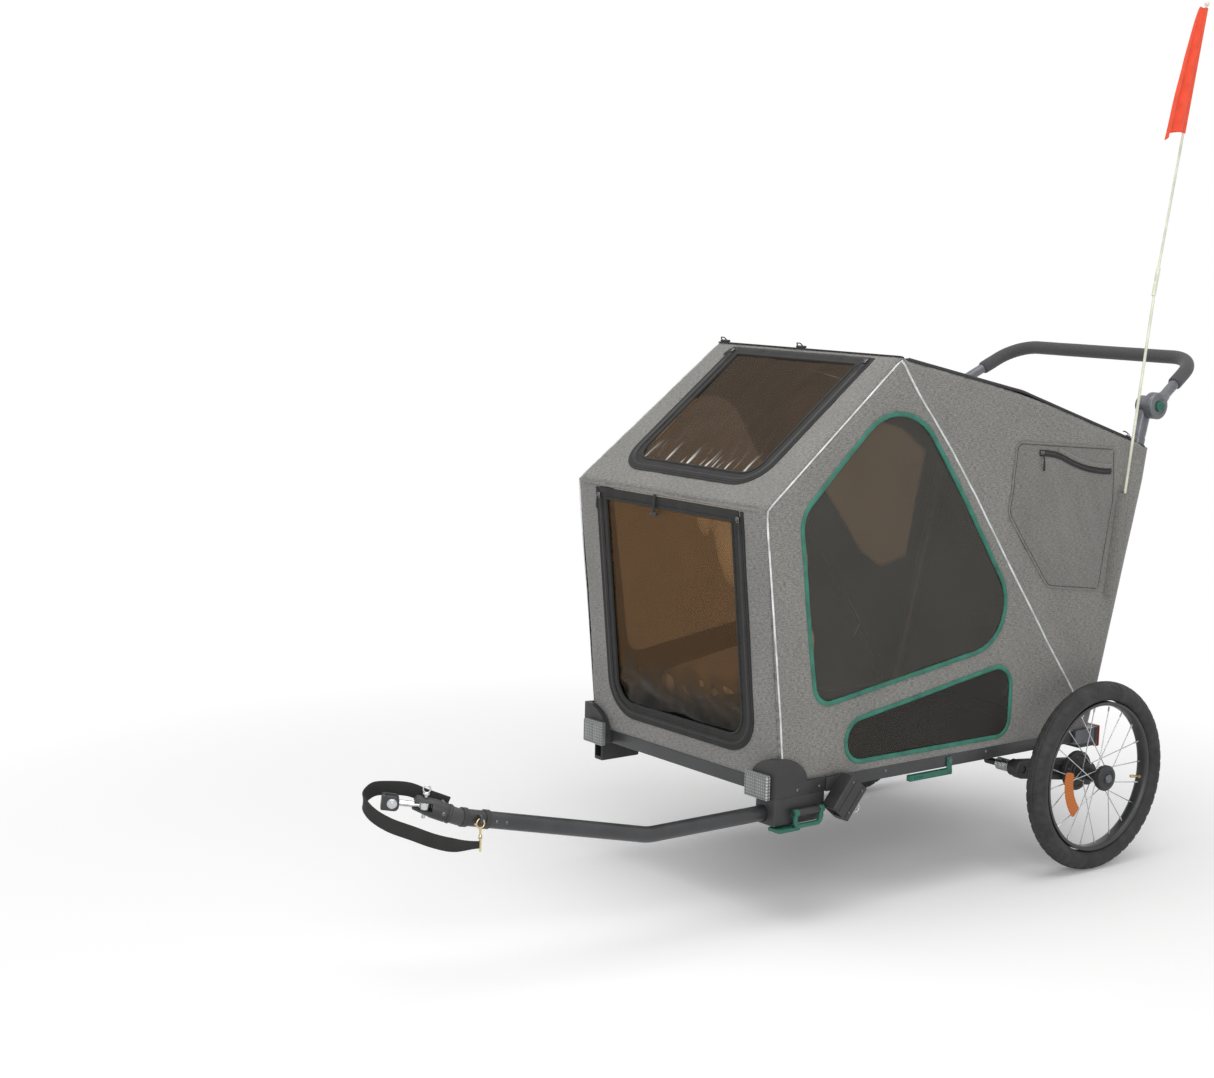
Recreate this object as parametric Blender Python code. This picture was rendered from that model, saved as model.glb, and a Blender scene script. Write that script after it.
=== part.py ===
"""Two-wheeled pet trailer for a bicycle: fabric cabin, drawbar, push handle, safety flag.

Metres, +Z up. The drawbar points to -Y, the trailer's left side is +X, the floor is z = 0 and
the origin is under the middle of the whole part. Every "y" below is a distance behind the
cabin's front top edge, which at() turns into the part's own Y.
"""
import math

import bmesh
import bpy
from mathutils import Matrix, Vector

# General clearances
GAP = 0.0003                 # between solids that touch
CUT = 0.002                  # how far a cutter reaches past the face it opens

# Place of the cabin's front top edge in the part's frame
CABIN_FRONT_Y = -0.26205

# Cabin outline seen from the side, as (distance behind the front top edge, height)
CABIN_HALF_WIDTH = 0.294
RIDGE_INSET = 0.017          # each side leans in by this much up to the ridge
RIDGE_HALF_WIDTH = CABIN_HALF_WIDTH - RIDGE_INSET
FRONT_TOP_Z = 0.805
FRONT_SETBACK = 0.056        # the front panel leans forward by this much at its top
RIDGE_Y = 0.351
RIDGE_Z = 1.079
KNEE_Y = 0.700
KNEE_Z = 1.003
REAR_TOP_Y = 1.092
REAR_TOP_Z = 0.876
REAR_BOTTOM_Y = 0.938
PANEL = 0.004                # thickness of the fabric walls
FILM = 0.0016                # thickness of the window films

# Base frame
RAIL_TOP_Z = 0.281
RAIL_HEIGHT = 0.027
RAIL_WIDTH = 0.030
RAIL_INSET = 0.001           # rail's outer face inside the cabin's outer face
FLOOR_THICKNESS = 0.008
CROSSBAR_DEPTH = 0.022

# Front corner castings with their domes and the drawbar socket
CORNER_FRONT_Y = 0.038
CORNER_LENGTH = 0.127
CORNER_PROUD = 0.008         # castings outside the cabin's sides
CORNER_OUTER_X = CABIN_HALF_WIDTH + CORNER_PROUD
CORNER_WIDTH = 0.073
DOME_HEIGHT = 0.050
DOME_START = 0.007           # front edge to where the dome's arc begins
DOME_REACH = 0.074
SOCKET_WIDTH = 0.0565
SOCKET_BOTTOM_Z = 0.201
SOCKET_DEPTH = 0.109
FOOT_WIDTH = 0.0275          # the right casting has a plain foot in place of the socket
FOOT_FRONT_Y = 0.066
FOOT_BOTTOM_Z = 0.204
FOOT_WALL = 0.004
FOOT_RECESS = 0.060

# Rear beam
REAR_BEAM_Y = 0.905
REAR_BEAM_LENGTH = 0.058
REAR_BLOCK_WIDTH = 0.052
REAR_BLOCK_BOTTOM_Z = 0.240

# Reflectors
REFLECTOR_WIDTH = 0.064
REFLECTOR_HEIGHT = 0.048
REFLECTOR_DEPTH = 0.012
REFLECTOR_INSET = 0.013      # from the casting's outer face
REAR_REFLECTOR_WIDTH = 0.034
REAR_REFLECTOR_HEIGHT = 0.046

# Cabin hoops
HOOP_RADIUS = 0.009
HOOP_BEND = 0.045
DIAGONAL_FOOT_Y = 0.880

# Rear posts and push handle
POST_RADIUS = 0.0135
POST_INSET = 0.024           # post's middle inside the cabin's side
POST_X = CABIN_HALF_WIDTH - POST_INSET
POST_FOOT_Y = 0.9170
POST_SLOPE = 0.258           # metres back for each metre up
PIVOT_Z = 0.964
POST_HEAD_RADIUS = 0.020
COLLAR_RADIUS = 0.0147
COLLAR_Z = 0.8810
COLLAR_HEIGHT = 0.014
REAR_TIE_RADIUS = 0.010
REAR_TIE_Z = 0.852
KNUCKLE_RADIUS = 0.0285
KNUCKLE_WIDTH = 0.023
HANDLE_RADIUS = 0.011
HANDLE_ARM_X = POST_X + 0.5 * KNUCKLE_WIDTH + POST_RADIUS   # arm's centre line at the knuckle
HANDLE_TAPER = 0.037         # each arm leans in by this much at the crossbar's corner
HANDLE_BAR_X = HANDLE_ARM_X - HANDLE_TAPER
HANDLE_REACH = 0.178         # crossbar behind the pivot
HANDLE_RISE = 0.095          # and above it
HANDLE_BEND = 0.075
GRIP_RADIUS = 0.0150
GRIP_START = 0.093           # along the arm from the pivot
BUTTON_RADIUS = 0.0115
BUTTON_DEPTH = 0.010
BUTTON_PROUD = 0.004

# Windows, door and roof flaps, as outlines with corner radii
SIDE_WINDOW = ((0.081, 0.790, 0.070), (0.137, 0.412, 0.046), (0.736, 0.499, 0.100), (0.361, 1.036, 0.125))
LOW_WINDOW = ((0.220, 0.383, 0.048), (0.215, 0.293, 0.048), (0.687, 0.293, 0.040), (0.690, 0.458, 0.050))
LOW_WINDOW_RECESS = 0.0008
DOOR_SIDE_MARGIN = 0.0745
DOOR_HALF_WIDTH = CABIN_HALF_WIDTH - DOOR_SIDE_MARGIN
DOOR_TOP = 0.007             # below the cabin's front top edge, along the panel
DOOR_SILL = 0.0467           # above the panel's lower edge, along the panel
DOOR_CORNER = 0.070
ROOF_FLAP_SIDE_MARGIN = 0.091
ROOF_FLAP_HALF_WIDTH = CABIN_HALF_WIDTH - ROOF_FLAP_SIDE_MARGIN
ROOF_FLAP_BOTTOM = 0.057     # above the cabin's front top edge, along the slope
ROOF_FLAP_TOP = 0.0083       # below the ridge, along the slope
ROOF_FLAP_CORNER = 0.060
FLAP_BORDER = 0.026
FLAP_TOP_CORNER = 0.006
REAR_FLAP_START = 0.012      # behind the ridge, along the roof
REAR_FLAP_END_Y = 1.044

# Pocket and pole pocket on the left side
POCKET_OUTLINE = ((0.672, 0.905, 0.020), (0.648, 0.758, 0.030), (0.778, 0.597, 0.030),
                  (0.940, 0.577, 0.010), (0.974, 0.760, 0.010), (0.974, 0.880, 0.010))
POCKET_THICKNESS = 0.006
POLE_STANDOFF = 0.010        # pole's middle outside the cabin's side
POLE_X = CABIN_HALF_WIDTH + POLE_STANDOFF
POLE_FOOT_Y = 0.970
POLE_FOOT_Z = 0.578
POLE_SLOPE = 0.140
POLE_LOWER_LENGTH = 0.655
POLE_UPPER_SLOPE = 0.197
POLE_UPPER_LENGTH = 0.590
POLE_RADIUS = 0.0030
FERRULE_RADIUS = 0.0046
FERRULE_LENGTH = 0.060
FERRULE_OVERLAP = 0.030
POLE_TIP_RADIUS = 0.0055
POLE_POCKET_LENGTH = 0.206
POLE_POCKET_WIDTH = 0.022
FLAG_TOP = 0.012             # below the pole's tip
FLAG_LENGTH = 0.262
FLAG_SAG = 0.030             # its free corner hangs lower by this much
FLAG_FOLDS = 2.5
FLAG_FOLD_DEPTH = 0.009
FLAG_THICKNESS = 0.0016
FLAG_TOP_WIDTH = 0.016
FLAG_BOTTOM_WIDTH = 0.060

# Wheels
WHEEL_STANDOFF = 0.069       # wheel's middle plane outside the cabin's side
WHEEL_X = CABIN_HALF_WIDTH + WHEEL_STANDOFF
AXLE_Y = 0.880
WHEEL_RADIUS = 0.200
TYRE_WIDTH = 0.045
TYRE_HEIGHT = 0.0415
RIM_OUTER_RADIUS = WHEEL_RADIUS - TYRE_HEIGHT
RIM_HEIGHT = 0.0095
RIM_INNER_RADIUS = RIM_OUTER_RADIUS - RIM_HEIGHT
RIM_WIDTH = 0.028
RIM_SEGMENTS = 36
SPOKE_COUNT = 20
SPOKE_RADIUS = 0.0012
SPOKE_LEAN = 52.0             # degrees round the hub, from a spoke's tip to its foot
HUB_FLANGE_RADIUS = 0.024
HUB_FLANGE_OFFSET = 0.018
HUB_CORE_RADIUS = 0.013
HUB_BORE_RADIUS = 0.0064
BRAKE_DISC_RADIUS = 0.042
BRAKE_DISC_INSET = 0.055     # disc's inner face from the wheel's middle plane
BRAKE_DISC_X = WHEEL_X - BRAKE_DISC_INSET
BRAKE_DISC_WIDTH = 0.010
HUB_CAP_RADIUS = 0.027
HUB_CAP_OFFSET = 0.023
HUB_CAP_X = WHEEL_X + HUB_CAP_OFFSET
HUB_CAP_WIDTH = 0.011
AXLE_RADIUS = 0.0060
AXLE_END_CLEARANCE = 0.0025  # inside the cap
AXLE_END_X = HUB_CAP_X - AXLE_END_CLEARANCE
RELEASE_RADIUS = 0.0090
RELEASE_PROUD = 0.0045
SPOKE_REFLECTOR_RADIUS = 0.098
SPOKE_REFLECTOR_WIDTH = 0.036
SPOKE_REFLECTOR_ARC = 62.0   # degrees
SPOKE_REFLECTOR_ANGLE = 195.5  # from the rear, over the top
SPOKE_REFLECTOR_THICKNESS = 0.004

# Suspension
PIVOT_Y = 0.722
ARM_PIVOT_Z = 0.221
SHAFT_RADIUS = 0.0070
SHAFT_CLEARANCE = 0.0004
BRACKET_REACH = 0.094        # inwards from the cabin's side
BRACKET_INNER_X = CABIN_HALF_WIDTH - BRACKET_REACH
BRACKET_EAR = 0.033
BRACKET_LENGTH = 0.070
BRACKET_PLATE = 0.005
BRACKET_BOTTOM_Z = 0.199
SLEEVE_RADIUS = 0.0175
SLEEVE_INSET = 0.019         # inwards from the cabin's side
SLEEVE_X = CABIN_HALF_WIDTH - SLEEVE_INSET
ARM_WIDTH = 0.021
ARM_PIVOT_RADIUS = 0.0195
ARM_AXLE_RADIUS = 0.0230
SPRING_TURNS = 9
SPRING_RADIUS = 0.0118
SPRING_WIRE = 0.0024
SPRING_POINTS = 8            # for each turn

# Receiver for a walking wheel on the left rail, with its pull pin
RECEIVER_Y = 0.199
RECEIVER_Z = 0.2425
RECEIVER_TILT = 50.0         # degrees below the horizontal, towards the front
RECEIVER_LENGTH = 0.076
RECEIVER_DEPTH = 0.050
RECEIVER_WIDTH = 0.036
RECEIVER_CORE = 0.004        # left between the pin's bore and the socket's middle
PULL_PIN_RADIUS = 0.0040
PULL_PIN_TRAVEL = 0.008
PULL_RING_RADIUS = 0.0085
PULL_RING_WIRE = 0.0014

# Green lever under the left rail
LEVER_FRONT_Y = 0.400
LEVER_REAR_Y = 0.515
LEVER_PIVOT_Y = 0.511
LEVER_PIVOT_Z = 0.2665
LEVER_WIDTH = 0.012
LEVER_HEIGHT = 0.012
LEVER_DROP = 0.0040          # between the rail and the lever
LEVER_EAR = 0.004
LEVER_PIN_RADIUS = 0.0030

# Latch of the drawbar socket
LATCH_STANDOFF = 0.0105      # outside the casting
LATCH_PIVOT_X = CORNER_OUTER_X + LATCH_STANDOFF
LATCH_PIVOT_Z = 0.2260
LATCH_ROD_RADIUS = 0.0040
LATCH_EAR_RADIUS = 0.0075
LATCH_FRONT_Y = 0.081
LATCH_REAR_Y = 0.145
LATCH_EAR = 0.011
LATCH_DROP = 0.026
LATCH_WIRE = 0.0048
LATCH_FOOT_LENGTH = 0.040
LATCH_FOOT_Z = 0.1905
LATCH_FOOT_HEIGHT = 0.0075

# Drawbar and hitch
DRAWBAR_RADIUS = 0.0150
DRAWBAR_INSET = 0.037        # inside the casting's outer face
DRAWBAR_X = CORNER_OUTER_X - DRAWBAR_INSET
DRAWBAR_Z = 0.222
DRAWBAR_BEND_Y = -0.236
DRAWBAR_BEND_RADIUS = 0.110
DRAWBAR_REACH = (-0.0410, -0.3870, 0.0830)   # from its bend to its end
HITCH_PIN_REACH = (-0.0235, -0.0505, 0.0215) # from the drawbar's end
CLEVIS_REACH = (-0.0275, -0.0490, 0.0070)    # from the hitch pin to the clevis bolt
DRAWBAR_TAIL = 0.012         # last stretch, already in line with the coupler
COUPLER_RADIUS = 0.0170
COUPLER_NOSE_RADIUS = 0.0130
COUPLER_NOSE = 0.020         # past the hitch pin
FORK_SLOT = 0.0140
TONGUE_HEIGHT = 0.0134
TONGUE_RADIUS = 0.0110
HITCH_PIN_RADIUS = 0.0035
HITCH_PIN_BORE = 0.0040
HITCH_PIN_HEAD = 0.0062
HITCH_PIN_SEAT = 0.0188      # from the pin's middle up to its head
HITCH_ROD_RADIUS = 0.0055
ROD_EYE_RADIUS = 0.0095
ROD_EYE_WIDTH = 0.0120
CLEVIS_WIDTH = 0.0240
CLEVIS_CHEEK = 0.0035
CLEVIS_HEIGHT = 0.0260
CLEVIS_LENGTH = 0.0360
CLEVIS_NOSE = 0.0060
BOLT_RADIUS = 0.0040
BOLT_HEAD_RADIUS = 0.0078
BOLT_HEAD = 0.0050
LUG_AT = 0.364               # along the second stretch of the drawbar, from the bend
LUG_SIZE = (0.005, 0.014, 0.014)
LUG_HOLE = 0.0036
HOOK_WIRE = 0.0016
HOOK_RING = 0.0078
HOOK_BALL = 0.0038
HOOK_BALL_Z = 0.2700
HOOK_END_Z = 0.2440
STRAP_WIDTH = 0.025
STRAP_END_WIDTH = 0.013      # folded together where it meets the snap hook
STRAP_TAPER = 0.055
STRAP_THICKNESS = 0.0022
STRAP_ROUTE = ((0.0375, 0.0405, -0.0678), (0.0255, 0.0053, -0.0579), (0.0075, -0.0294, -0.0427),
               (-0.0125, -0.0640, -0.0270), (-0.0395, -0.0825, -0.0105), (-0.0635, -0.0830, 0.0070),
               (-0.0715, -0.0605, 0.0200), (-0.0560, -0.0405, 0.0240), (-0.0360, -0.0095, 0.0215),
               (-0.0145, 0.0145, 0.0105), (0.0010, 0.0465, -0.0035))

# Colours, linear RGB
FABRIC_GREY = (0.270, 0.262, 0.245)
FABRIC_DARK = (0.150, 0.148, 0.140)
FRAME_BLACK = (0.030, 0.030, 0.032)
TRIM_BLACK = (0.022, 0.021, 0.020)
SMOKED = (0.060, 0.055, 0.048)
GREEN = (0.020, 0.130, 0.090)
SILVER = (0.420, 0.430, 0.450)
ARM_GREY = (0.160, 0.165, 0.180)
FOAM = (0.075, 0.075, 0.078)
ORANGE = (0.900, 0.260, 0.010)
FLAG_RED = (1.000, 0.110, 0.030)
RED = (0.600, 0.010, 0.010)
CLEAR = (0.620, 0.640, 0.660)
BRASS = (0.550, 0.430, 0.220)
POLE_WHITE = (0.680, 0.690, 0.560)


def clear_scene():
    for item in list(bpy.data.objects):
        bpy.data.objects.remove(item, do_unlink=True)


def material(name, colour, roughness, metallic=0.0):
    found = bpy.data.materials.get(name)
    if found:
        return found
    made = bpy.data.materials.new(name)
    made.use_nodes = True
    shader = made.node_tree.nodes["Principled BSDF"]
    shader.inputs["Base Color"].default_value = (*colour, 1.0)
    shader.inputs["Roughness"].default_value = roughness
    shader.inputs["Metallic"].default_value = metallic
    made.diffuse_color = (*colour, 1.0)
    return made


def looks(key):
    """The materials, by a short name."""
    table = {
        "fabric": ("grey_fabric", FABRIC_GREY, 0.9, 0.0),
        "dark_fabric": ("dark_fabric", FABRIC_DARK, 0.9, 0.0),
        "webbing": ("black_webbing", TRIM_BLACK, 0.85, 0.0),
        "film": ("window_film", SMOKED, 0.25, 0.0),
        "frame": ("black_frame", FRAME_BLACK, 0.45, 0.6),
        "plastic": ("black_plastic", FRAME_BLACK, 0.55, 0.0),
        "green": ("green_plastic", GREEN, 0.45, 0.0),
        "steel": ("bright_steel", SILVER, 0.3, 1.0),
        "arm": ("grey_arm", ARM_GREY, 0.4, 0.6),
        "foam": ("grip_foam", FOAM, 0.9, 0.0),
        "tyre": ("tyre_rubber", TRIM_BLACK, 0.8, 0.0),
        "orange": ("orange_reflector", ORANGE, 0.3, 0.0),
        "flag": ("flag_cloth", FLAG_RED, 0.7, 0.0),
        "red": ("red_reflector", RED, 0.3, 0.0),
        "clear": ("clear_reflector", CLEAR, 0.2, 0.0),
        "brass": ("brass", BRASS, 0.35, 1.0),
        "pole": ("pole_fibreglass", POLE_WHITE, 0.45, 0.0),
    }
    return material(*table[key])


def at(x, y, z):
    return Vector((x, CABIN_FRONT_Y + y, z))


def finish(name, bm, look, origin=(0.0, 0.0, 0.0), smooth=0.0):
    """Turn a bmesh in part coordinates into the named object, with its origin where asked."""
    bmesh.ops.remove_doubles(bm, verts=bm.verts, dist=1e-7)
    bmesh.ops.recalc_face_normals(bm, faces=bm.faces)
    bmesh.ops.translate(bm, verts=bm.verts, vec=-Vector(origin))
    mesh = bpy.data.meshes.new(name)
    bm.to_mesh(mesh)
    bm.free()
    if smooth:
        mesh.shade_smooth()
        mesh.set_sharp_from_angle(angle=math.radians(smooth))
    made = bpy.data.objects.new(name, mesh)
    made.location = origin
    bpy.context.scene.collection.objects.link(made)
    mesh.materials.append(looks(look))
    return made


def combine(base, tools, operation="UNION"):
    """Join or cut base with the tools, keep the result as its mesh and drop the tools."""
    for tool in tools:
        step = base.modifiers.new("combine", "BOOLEAN")
        step.operation = operation
        step.solver = "EXACT"
        step.object = tool
        bpy.context.view_layer.update()
        graph = bpy.context.evaluated_depsgraph_get()
        done = bpy.data.meshes.new_from_object(base.evaluated_get(graph))
        base.modifiers.clear()
        base.data = done
        bpy.data.objects.remove(tool, do_unlink=True)
    return base


def soften(piece, width, segments=1, angle=35.0):
    """Round the sharp edges of a finished piece."""
    step = piece.modifiers.new("soften", "BEVEL")
    step.width = width
    step.segments = segments
    step.limit_method = "ANGLE"
    step.angle_limit = math.radians(angle)
    return piece


def block(name, low, high, look, origin=(0.0, 0.0, 0.0)):
    bm = bmesh.new()
    bmesh.ops.create_cube(bm, size=1.0)
    low, high = Vector(low), Vector(high)
    size = high - low
    bmesh.ops.scale(bm, verts=bm.verts, vec=size)
    bmesh.ops.translate(bm, verts=bm.verts, vec=(low + high) / 2)
    return finish(name, bm, look, origin)


def mirrored(side, low, high):
    """A box's corners for the left side, or mirrored for the right one."""
    if side > 0:
        return low, high
    return Vector((-high[0], low[1], low[2])), Vector((-low[0], high[1], high[2]))


def rounded(corners, steps=5):
    """A closed outline with each corner (u, v, radius) turned into an arc."""
    points = []
    count = len(corners)
    for i, (u, v, radius) in enumerate(corners):
        here = Vector((u, v))
        back = (Vector(corners[i - 1][:2]) - here).normalized()
        ahead = (Vector(corners[(i + 1) % count][:2]) - here).normalized()
        half = back.angle(ahead) / 2
        centre = here + (back + ahead).normalized() * radius / math.sin(half)
        first = here + back * radius / math.tan(half) - centre
        turn = first.angle_signed(here + ahead * radius / math.tan(half) - centre)
        for k in range(steps + 1):
            spun = first.copy()
            spun.rotate(Matrix.Rotation(-turn * k / steps, 2))
            points.append(centre + spun)
    return points


def grown(points, margin):
    """An outline moved outwards by margin, or inwards where it is negative."""
    area = sum(a.x * b.y - b.x * a.y for a, b in zip(points, points[1:] + points[:1]))
    sign = 1.0 if area > 0 else -1.0
    moved = []
    for i, here in enumerate(points):
        back = (here - points[i - 1]).normalized()
        ahead = (points[(i + 1) % len(points)] - here).normalized()
        out_a = Vector((back.y, -back.x)) * sign
        out_b = Vector((ahead.y, -ahead.x)) * sign
        mean = (out_a + out_b).normalized()
        moved.append(here + mean * margin / max(0.3, mean.dot(out_a)))
    return moved


def plate(name, outlines, place, depths, look, folds=(), origin=(0.0, 0.0, 0.0)):
    """A sheet with holes: outlines in (u, v), mapped to the part by place(u, v, depth).

    The first outline is the edge and the others are holes. A fold is a value of v along
    which the sheet gets an edge, so that it can bend there.
    """
    bm = bmesh.new()
    for outline in outlines:
        ring = [bm.verts.new((p[0], p[1], 0.0)) for p in outline]
        for i, vert in enumerate(ring):
            bm.edges.new((ring[i - 1], vert))
    bmesh.ops.triangle_fill(bm, edges=bm.edges[:], use_beauty=True)
    for fold in folds:
        everything = bm.verts[:] + bm.edges[:] + bm.faces[:]
        bmesh.ops.bisect_plane(bm, geom=everything, plane_co=(0, fold, 0), plane_no=(0, 1, 0), dist=1e-6)
    grown_part = bmesh.ops.extrude_face_region(bm, geom=bm.faces[:], use_keep_orig=True)["geom"]
    upper = {item for item in grown_part if isinstance(item, bmesh.types.BMVert)}
    for vert in bm.verts:
        vert.co = place(vert.co.x, vert.co.y, depths[1] if vert in upper else depths[0])
    return finish(name, bm, look, origin)


def turned(name, profile, frame, look, segments=32, origin=(0.0, 0.0, 0.0), smooth=35.0):
    """A profile of (along, radius) points spun about the frame's X axis.

    A profile that starts and ends on the axis makes a full body, and any other one is closed
    on itself and makes a ring.
    """
    bm = bmesh.new()
    line = [bm.verts.new((a, r, 0.0)) for a, r in profile]
    edges = [bm.edges.new(pair) for pair in zip(line, line[1:])]
    if profile[0][1] > 0:
        edges.append(bm.edges.new((line[-1], line[0])))
    bmesh.ops.spin(bm, geom=line + edges, axis=(1, 0, 0), cent=(0, 0, 0), steps=segments,
                   angle=math.tau, use_merge=True)
    bmesh.ops.remove_doubles(bm, verts=bm.verts, dist=1e-7)
    bmesh.ops.transform(bm, matrix=frame, verts=bm.verts)
    return finish(name, bm, look, origin, smooth)


def along(direction, place, roll_to=(0.0, 0.0, 1.0)):
    """A frame at place whose X axis is the direction and whose Z leans towards roll_to."""
    x = Vector(direction).normalized()
    z = Vector(roll_to) - x * x.dot(Vector(roll_to))
    if z.length < 1e-6:
        z = x.orthogonal()
    z.normalize()
    y = z.cross(x)
    made = Matrix((x, y, z)).transposed().to_4x4()
    made.translation = Vector(place)
    return made


def rod(name, start, end, radius, look, segments=16, origin=(0.0, 0.0, 0.0)):
    start, end = Vector(start), Vector(end)
    length = (end - start).length
    profile = [(0.0, 0.0), (0.0, radius), (length, radius), (length, 0.0)]
    return turned(name, profile, along(end - start, start), look, segments, origin)


def bent(points, radius, steps=6):
    """A path through the points, with each inner corner rounded to the radius."""
    points = [Vector(p) for p in points]
    path = [points[0]]
    for before, here, after in zip(points, points[1:], points[2:]):
        back = (before - here).normalized()
        ahead = (after - here).normalized()
        half = back.angle(ahead) / 2
        reach = min(radius / math.tan(half), 0.48 * (before - here).length, 0.48 * (after - here).length)
        arc_radius = reach * math.tan(half)
        centre = here + (back + ahead).normalized() * arc_radius / math.sin(half)
        spoke = here + back * reach - centre
        axis = back.cross(ahead)
        for k in range(steps + 1):
            turn = Matrix.Rotation(-(math.pi - 2 * half) * k / steps, 3, axis)
            path.append(centre + turn @ spoke)
    path.append(points[-1])
    return path


def frames_along(path):
    """Frames that follow the path without twisting, mitred at its corners."""
    tangents = []
    for i, here in enumerate(path):
        back = (here - path[i - 1]).normalized() if i else None
        ahead = (path[i + 1] - here).normalized() if i + 1 < len(path) else None
        tangents.append(((back or ahead) + (ahead or back)).normalized())
    normal = tangents[0].orthogonal().normalized()
    if abs(tangents[0].z) < 0.9:
        normal = (Vector((0, 0, 1)) - tangents[0] * tangents[0].z).normalized()
    frames = []
    for tangent in tangents:
        normal = (normal - tangent * normal.dot(tangent)).normalized()
        frames.append((tangent, normal, tangent.cross(normal)))
    return frames


def swept(name, path, section, look, origin=(0.0, 0.0, 0.0), bore=None, smooth=35.0):
    """A section of (side, up) points carried along a path. A bore makes it a sleeve."""
    bm = bmesh.new()
    frames = frames_along(path)

    def skin(outline):
        rings = []
        for here, (_, up, side) in zip(path, frames):
            rings.append([bm.verts.new(here + side * a + up * b) for a, b in outline])
        for low, high in zip(rings, rings[1:]):
            for i in range(len(outline)):
                bm.faces.new((low[i - 1], low[i], high[i], high[i - 1]))
        return rings

    outer = skin(section)
    if bore is None:
        bm.faces.new(outer[0])
        bm.faces.new(outer[-1])
    else:
        inner = skin(bore)
        for a, b in ((outer[0], inner[0]), (outer[-1], inner[-1])):
            for i in range(len(a)):
                bm.faces.new((a[i - 1], a[i], b[i], b[i - 1]))
    return finish(name, bm, look, origin, smooth)


def circle(radius, sides=12):
    turns = [math.tau * k / sides for k in range(sides)]
    return [(radius * math.cos(t), radius * math.sin(t)) for t in turns]


def around(radius, sides):
    """The radius of a regular bore whose flat sides clear the radius."""
    return radius / math.cos(math.pi / sides)


def smooth_route(points, steps):
    """A Catmull-Rom curve through the points."""
    points = [Vector(p) for p in points]
    ends = [points[0] * 2 - points[1]] + points + [points[-1] * 2 - points[-2]]
    route = []
    for i in range(1, len(ends) - 2):
        a, b, c, d = ends[i - 1:i + 3]
        for k in range(steps):
            t = k / steps
            route.append(0.5 * ((2 * b) + (c - a) * t + (2 * a - 5 * b + 4 * c - d) * t * t
                                + (3 * b - a - 3 * c + d) * t ** 3))
    route.append(points[-1])
    return route


# The cabin's outline, and the same outline moved inwards by the walls' thickness
OUTLINE = [Vector(p) for p in (
    (FRONT_SETBACK, RAIL_TOP_Z + GAP), (0.0, FRONT_TOP_Z), (RIDGE_Y, RIDGE_Z), (KNEE_Y, KNEE_Z),
    (REAR_TOP_Y, REAR_TOP_Z), (REAR_BOTTOM_Y, RAIL_TOP_Z + GAP))]
FRONT, ROOF, BACK_ROOF, TAIL_ROOF, REAR = range(5)


def half_width(z):
    """Half the cabin's outer width at a height: it narrows above the front top edge."""
    share = max(0.0, (z - FRONT_TOP_Z) / (RIDGE_Z - FRONT_TOP_Z))
    return CABIN_HALF_WIDTH - (CABIN_HALF_WIDTH - RIDGE_HALF_WIDTH) * share


def inset_outline(depth):
    """The cabin's outline moved inwards by depth, with its two feet kept at the rail."""
    inner = []
    for i, here in enumerate(OUTLINE):
        if i in (0, len(OUTLINE) - 1):
            other = OUTLINE[1] if i == 0 else OUTLINE[-2]
            run = (other - here).normalized()
            shift = depth / abs(run.y)
            inner.append(here + Vector((shift if i == 0 else -shift, 0.0)))
            continue
        back = (here - OUTLINE[i - 1]).normalized()
        ahead = (OUTLINE[i + 1] - here).normalized()
        in_a = Vector((back.y, -back.x))
        in_b = Vector((ahead.y, -ahead.x))
        mean = (in_a + in_b).normalized()
        inner.append(here + mean * depth / mean.dot(in_a))
    return inner


def wall_length(index):
    return (OUTLINE[index + 1] - OUTLINE[index]).length


def wall(index):
    """Maps (x, distance along the wall, depth inwards) to the part, mitred at both ends."""
    inner = inset_outline(PANEL)

    def place(u, v, depth):
        share = v / wall_length(index)
        outer_point = OUTLINE[index].lerp(OUTLINE[index + 1], share)
        inner_point = inner[index].lerp(inner[index + 1], share)
        here = outer_point.lerp(inner_point, depth / PANEL)
        return at(u, here.x, here.y)

    return place


def side_wall(side):
    """Maps (y, z, depth inwards) to the left or right side of the cabin."""
    def place(u, v, depth):
        return at(side * (half_width(v) - depth), u, v)
    return place


def wall_edges(index, low, high):
    """A wall's outline between two distances, clear of both side walls."""
    corners = []
    for v in (low, high):
        z = OUTLINE[index].lerp(OUTLINE[index + 1], v / wall_length(index)).y
        corners.append((half_width(z) - PANEL - GAP, v))
    (wide_low, low), (wide_high, high) = corners
    return [Vector(p) for p in ((-wide_low, low), (wide_low, low), (wide_high, high), (-wide_high, high))]


def flap_outline(half, low, high, radius, margin):
    """A flap's outline with two large corners at its foot, moved outwards by margin."""
    half, low, high = half + margin, low - margin, high + margin
    foot, top = max(radius + margin, 0.01), max(FLAP_TOP_CORNER + margin, 0.003)
    return rounded(((-half, low, foot), (half, low, foot), (half, high, top), (-half, high, top)))


def door_outline(margin=0.0):
    length = wall_length(FRONT)
    return flap_outline(DOOR_HALF_WIDTH, DOOR_SILL, length - DOOR_TOP, DOOR_CORNER, margin)


def roof_flap_outline(margin=0.0):
    high = wall_length(ROOF) - ROOF_FLAP_TOP
    return flap_outline(ROOF_FLAP_HALF_WIDTH, ROOF_FLAP_BOTTOM, high, ROOF_FLAP_CORNER, margin)


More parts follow.
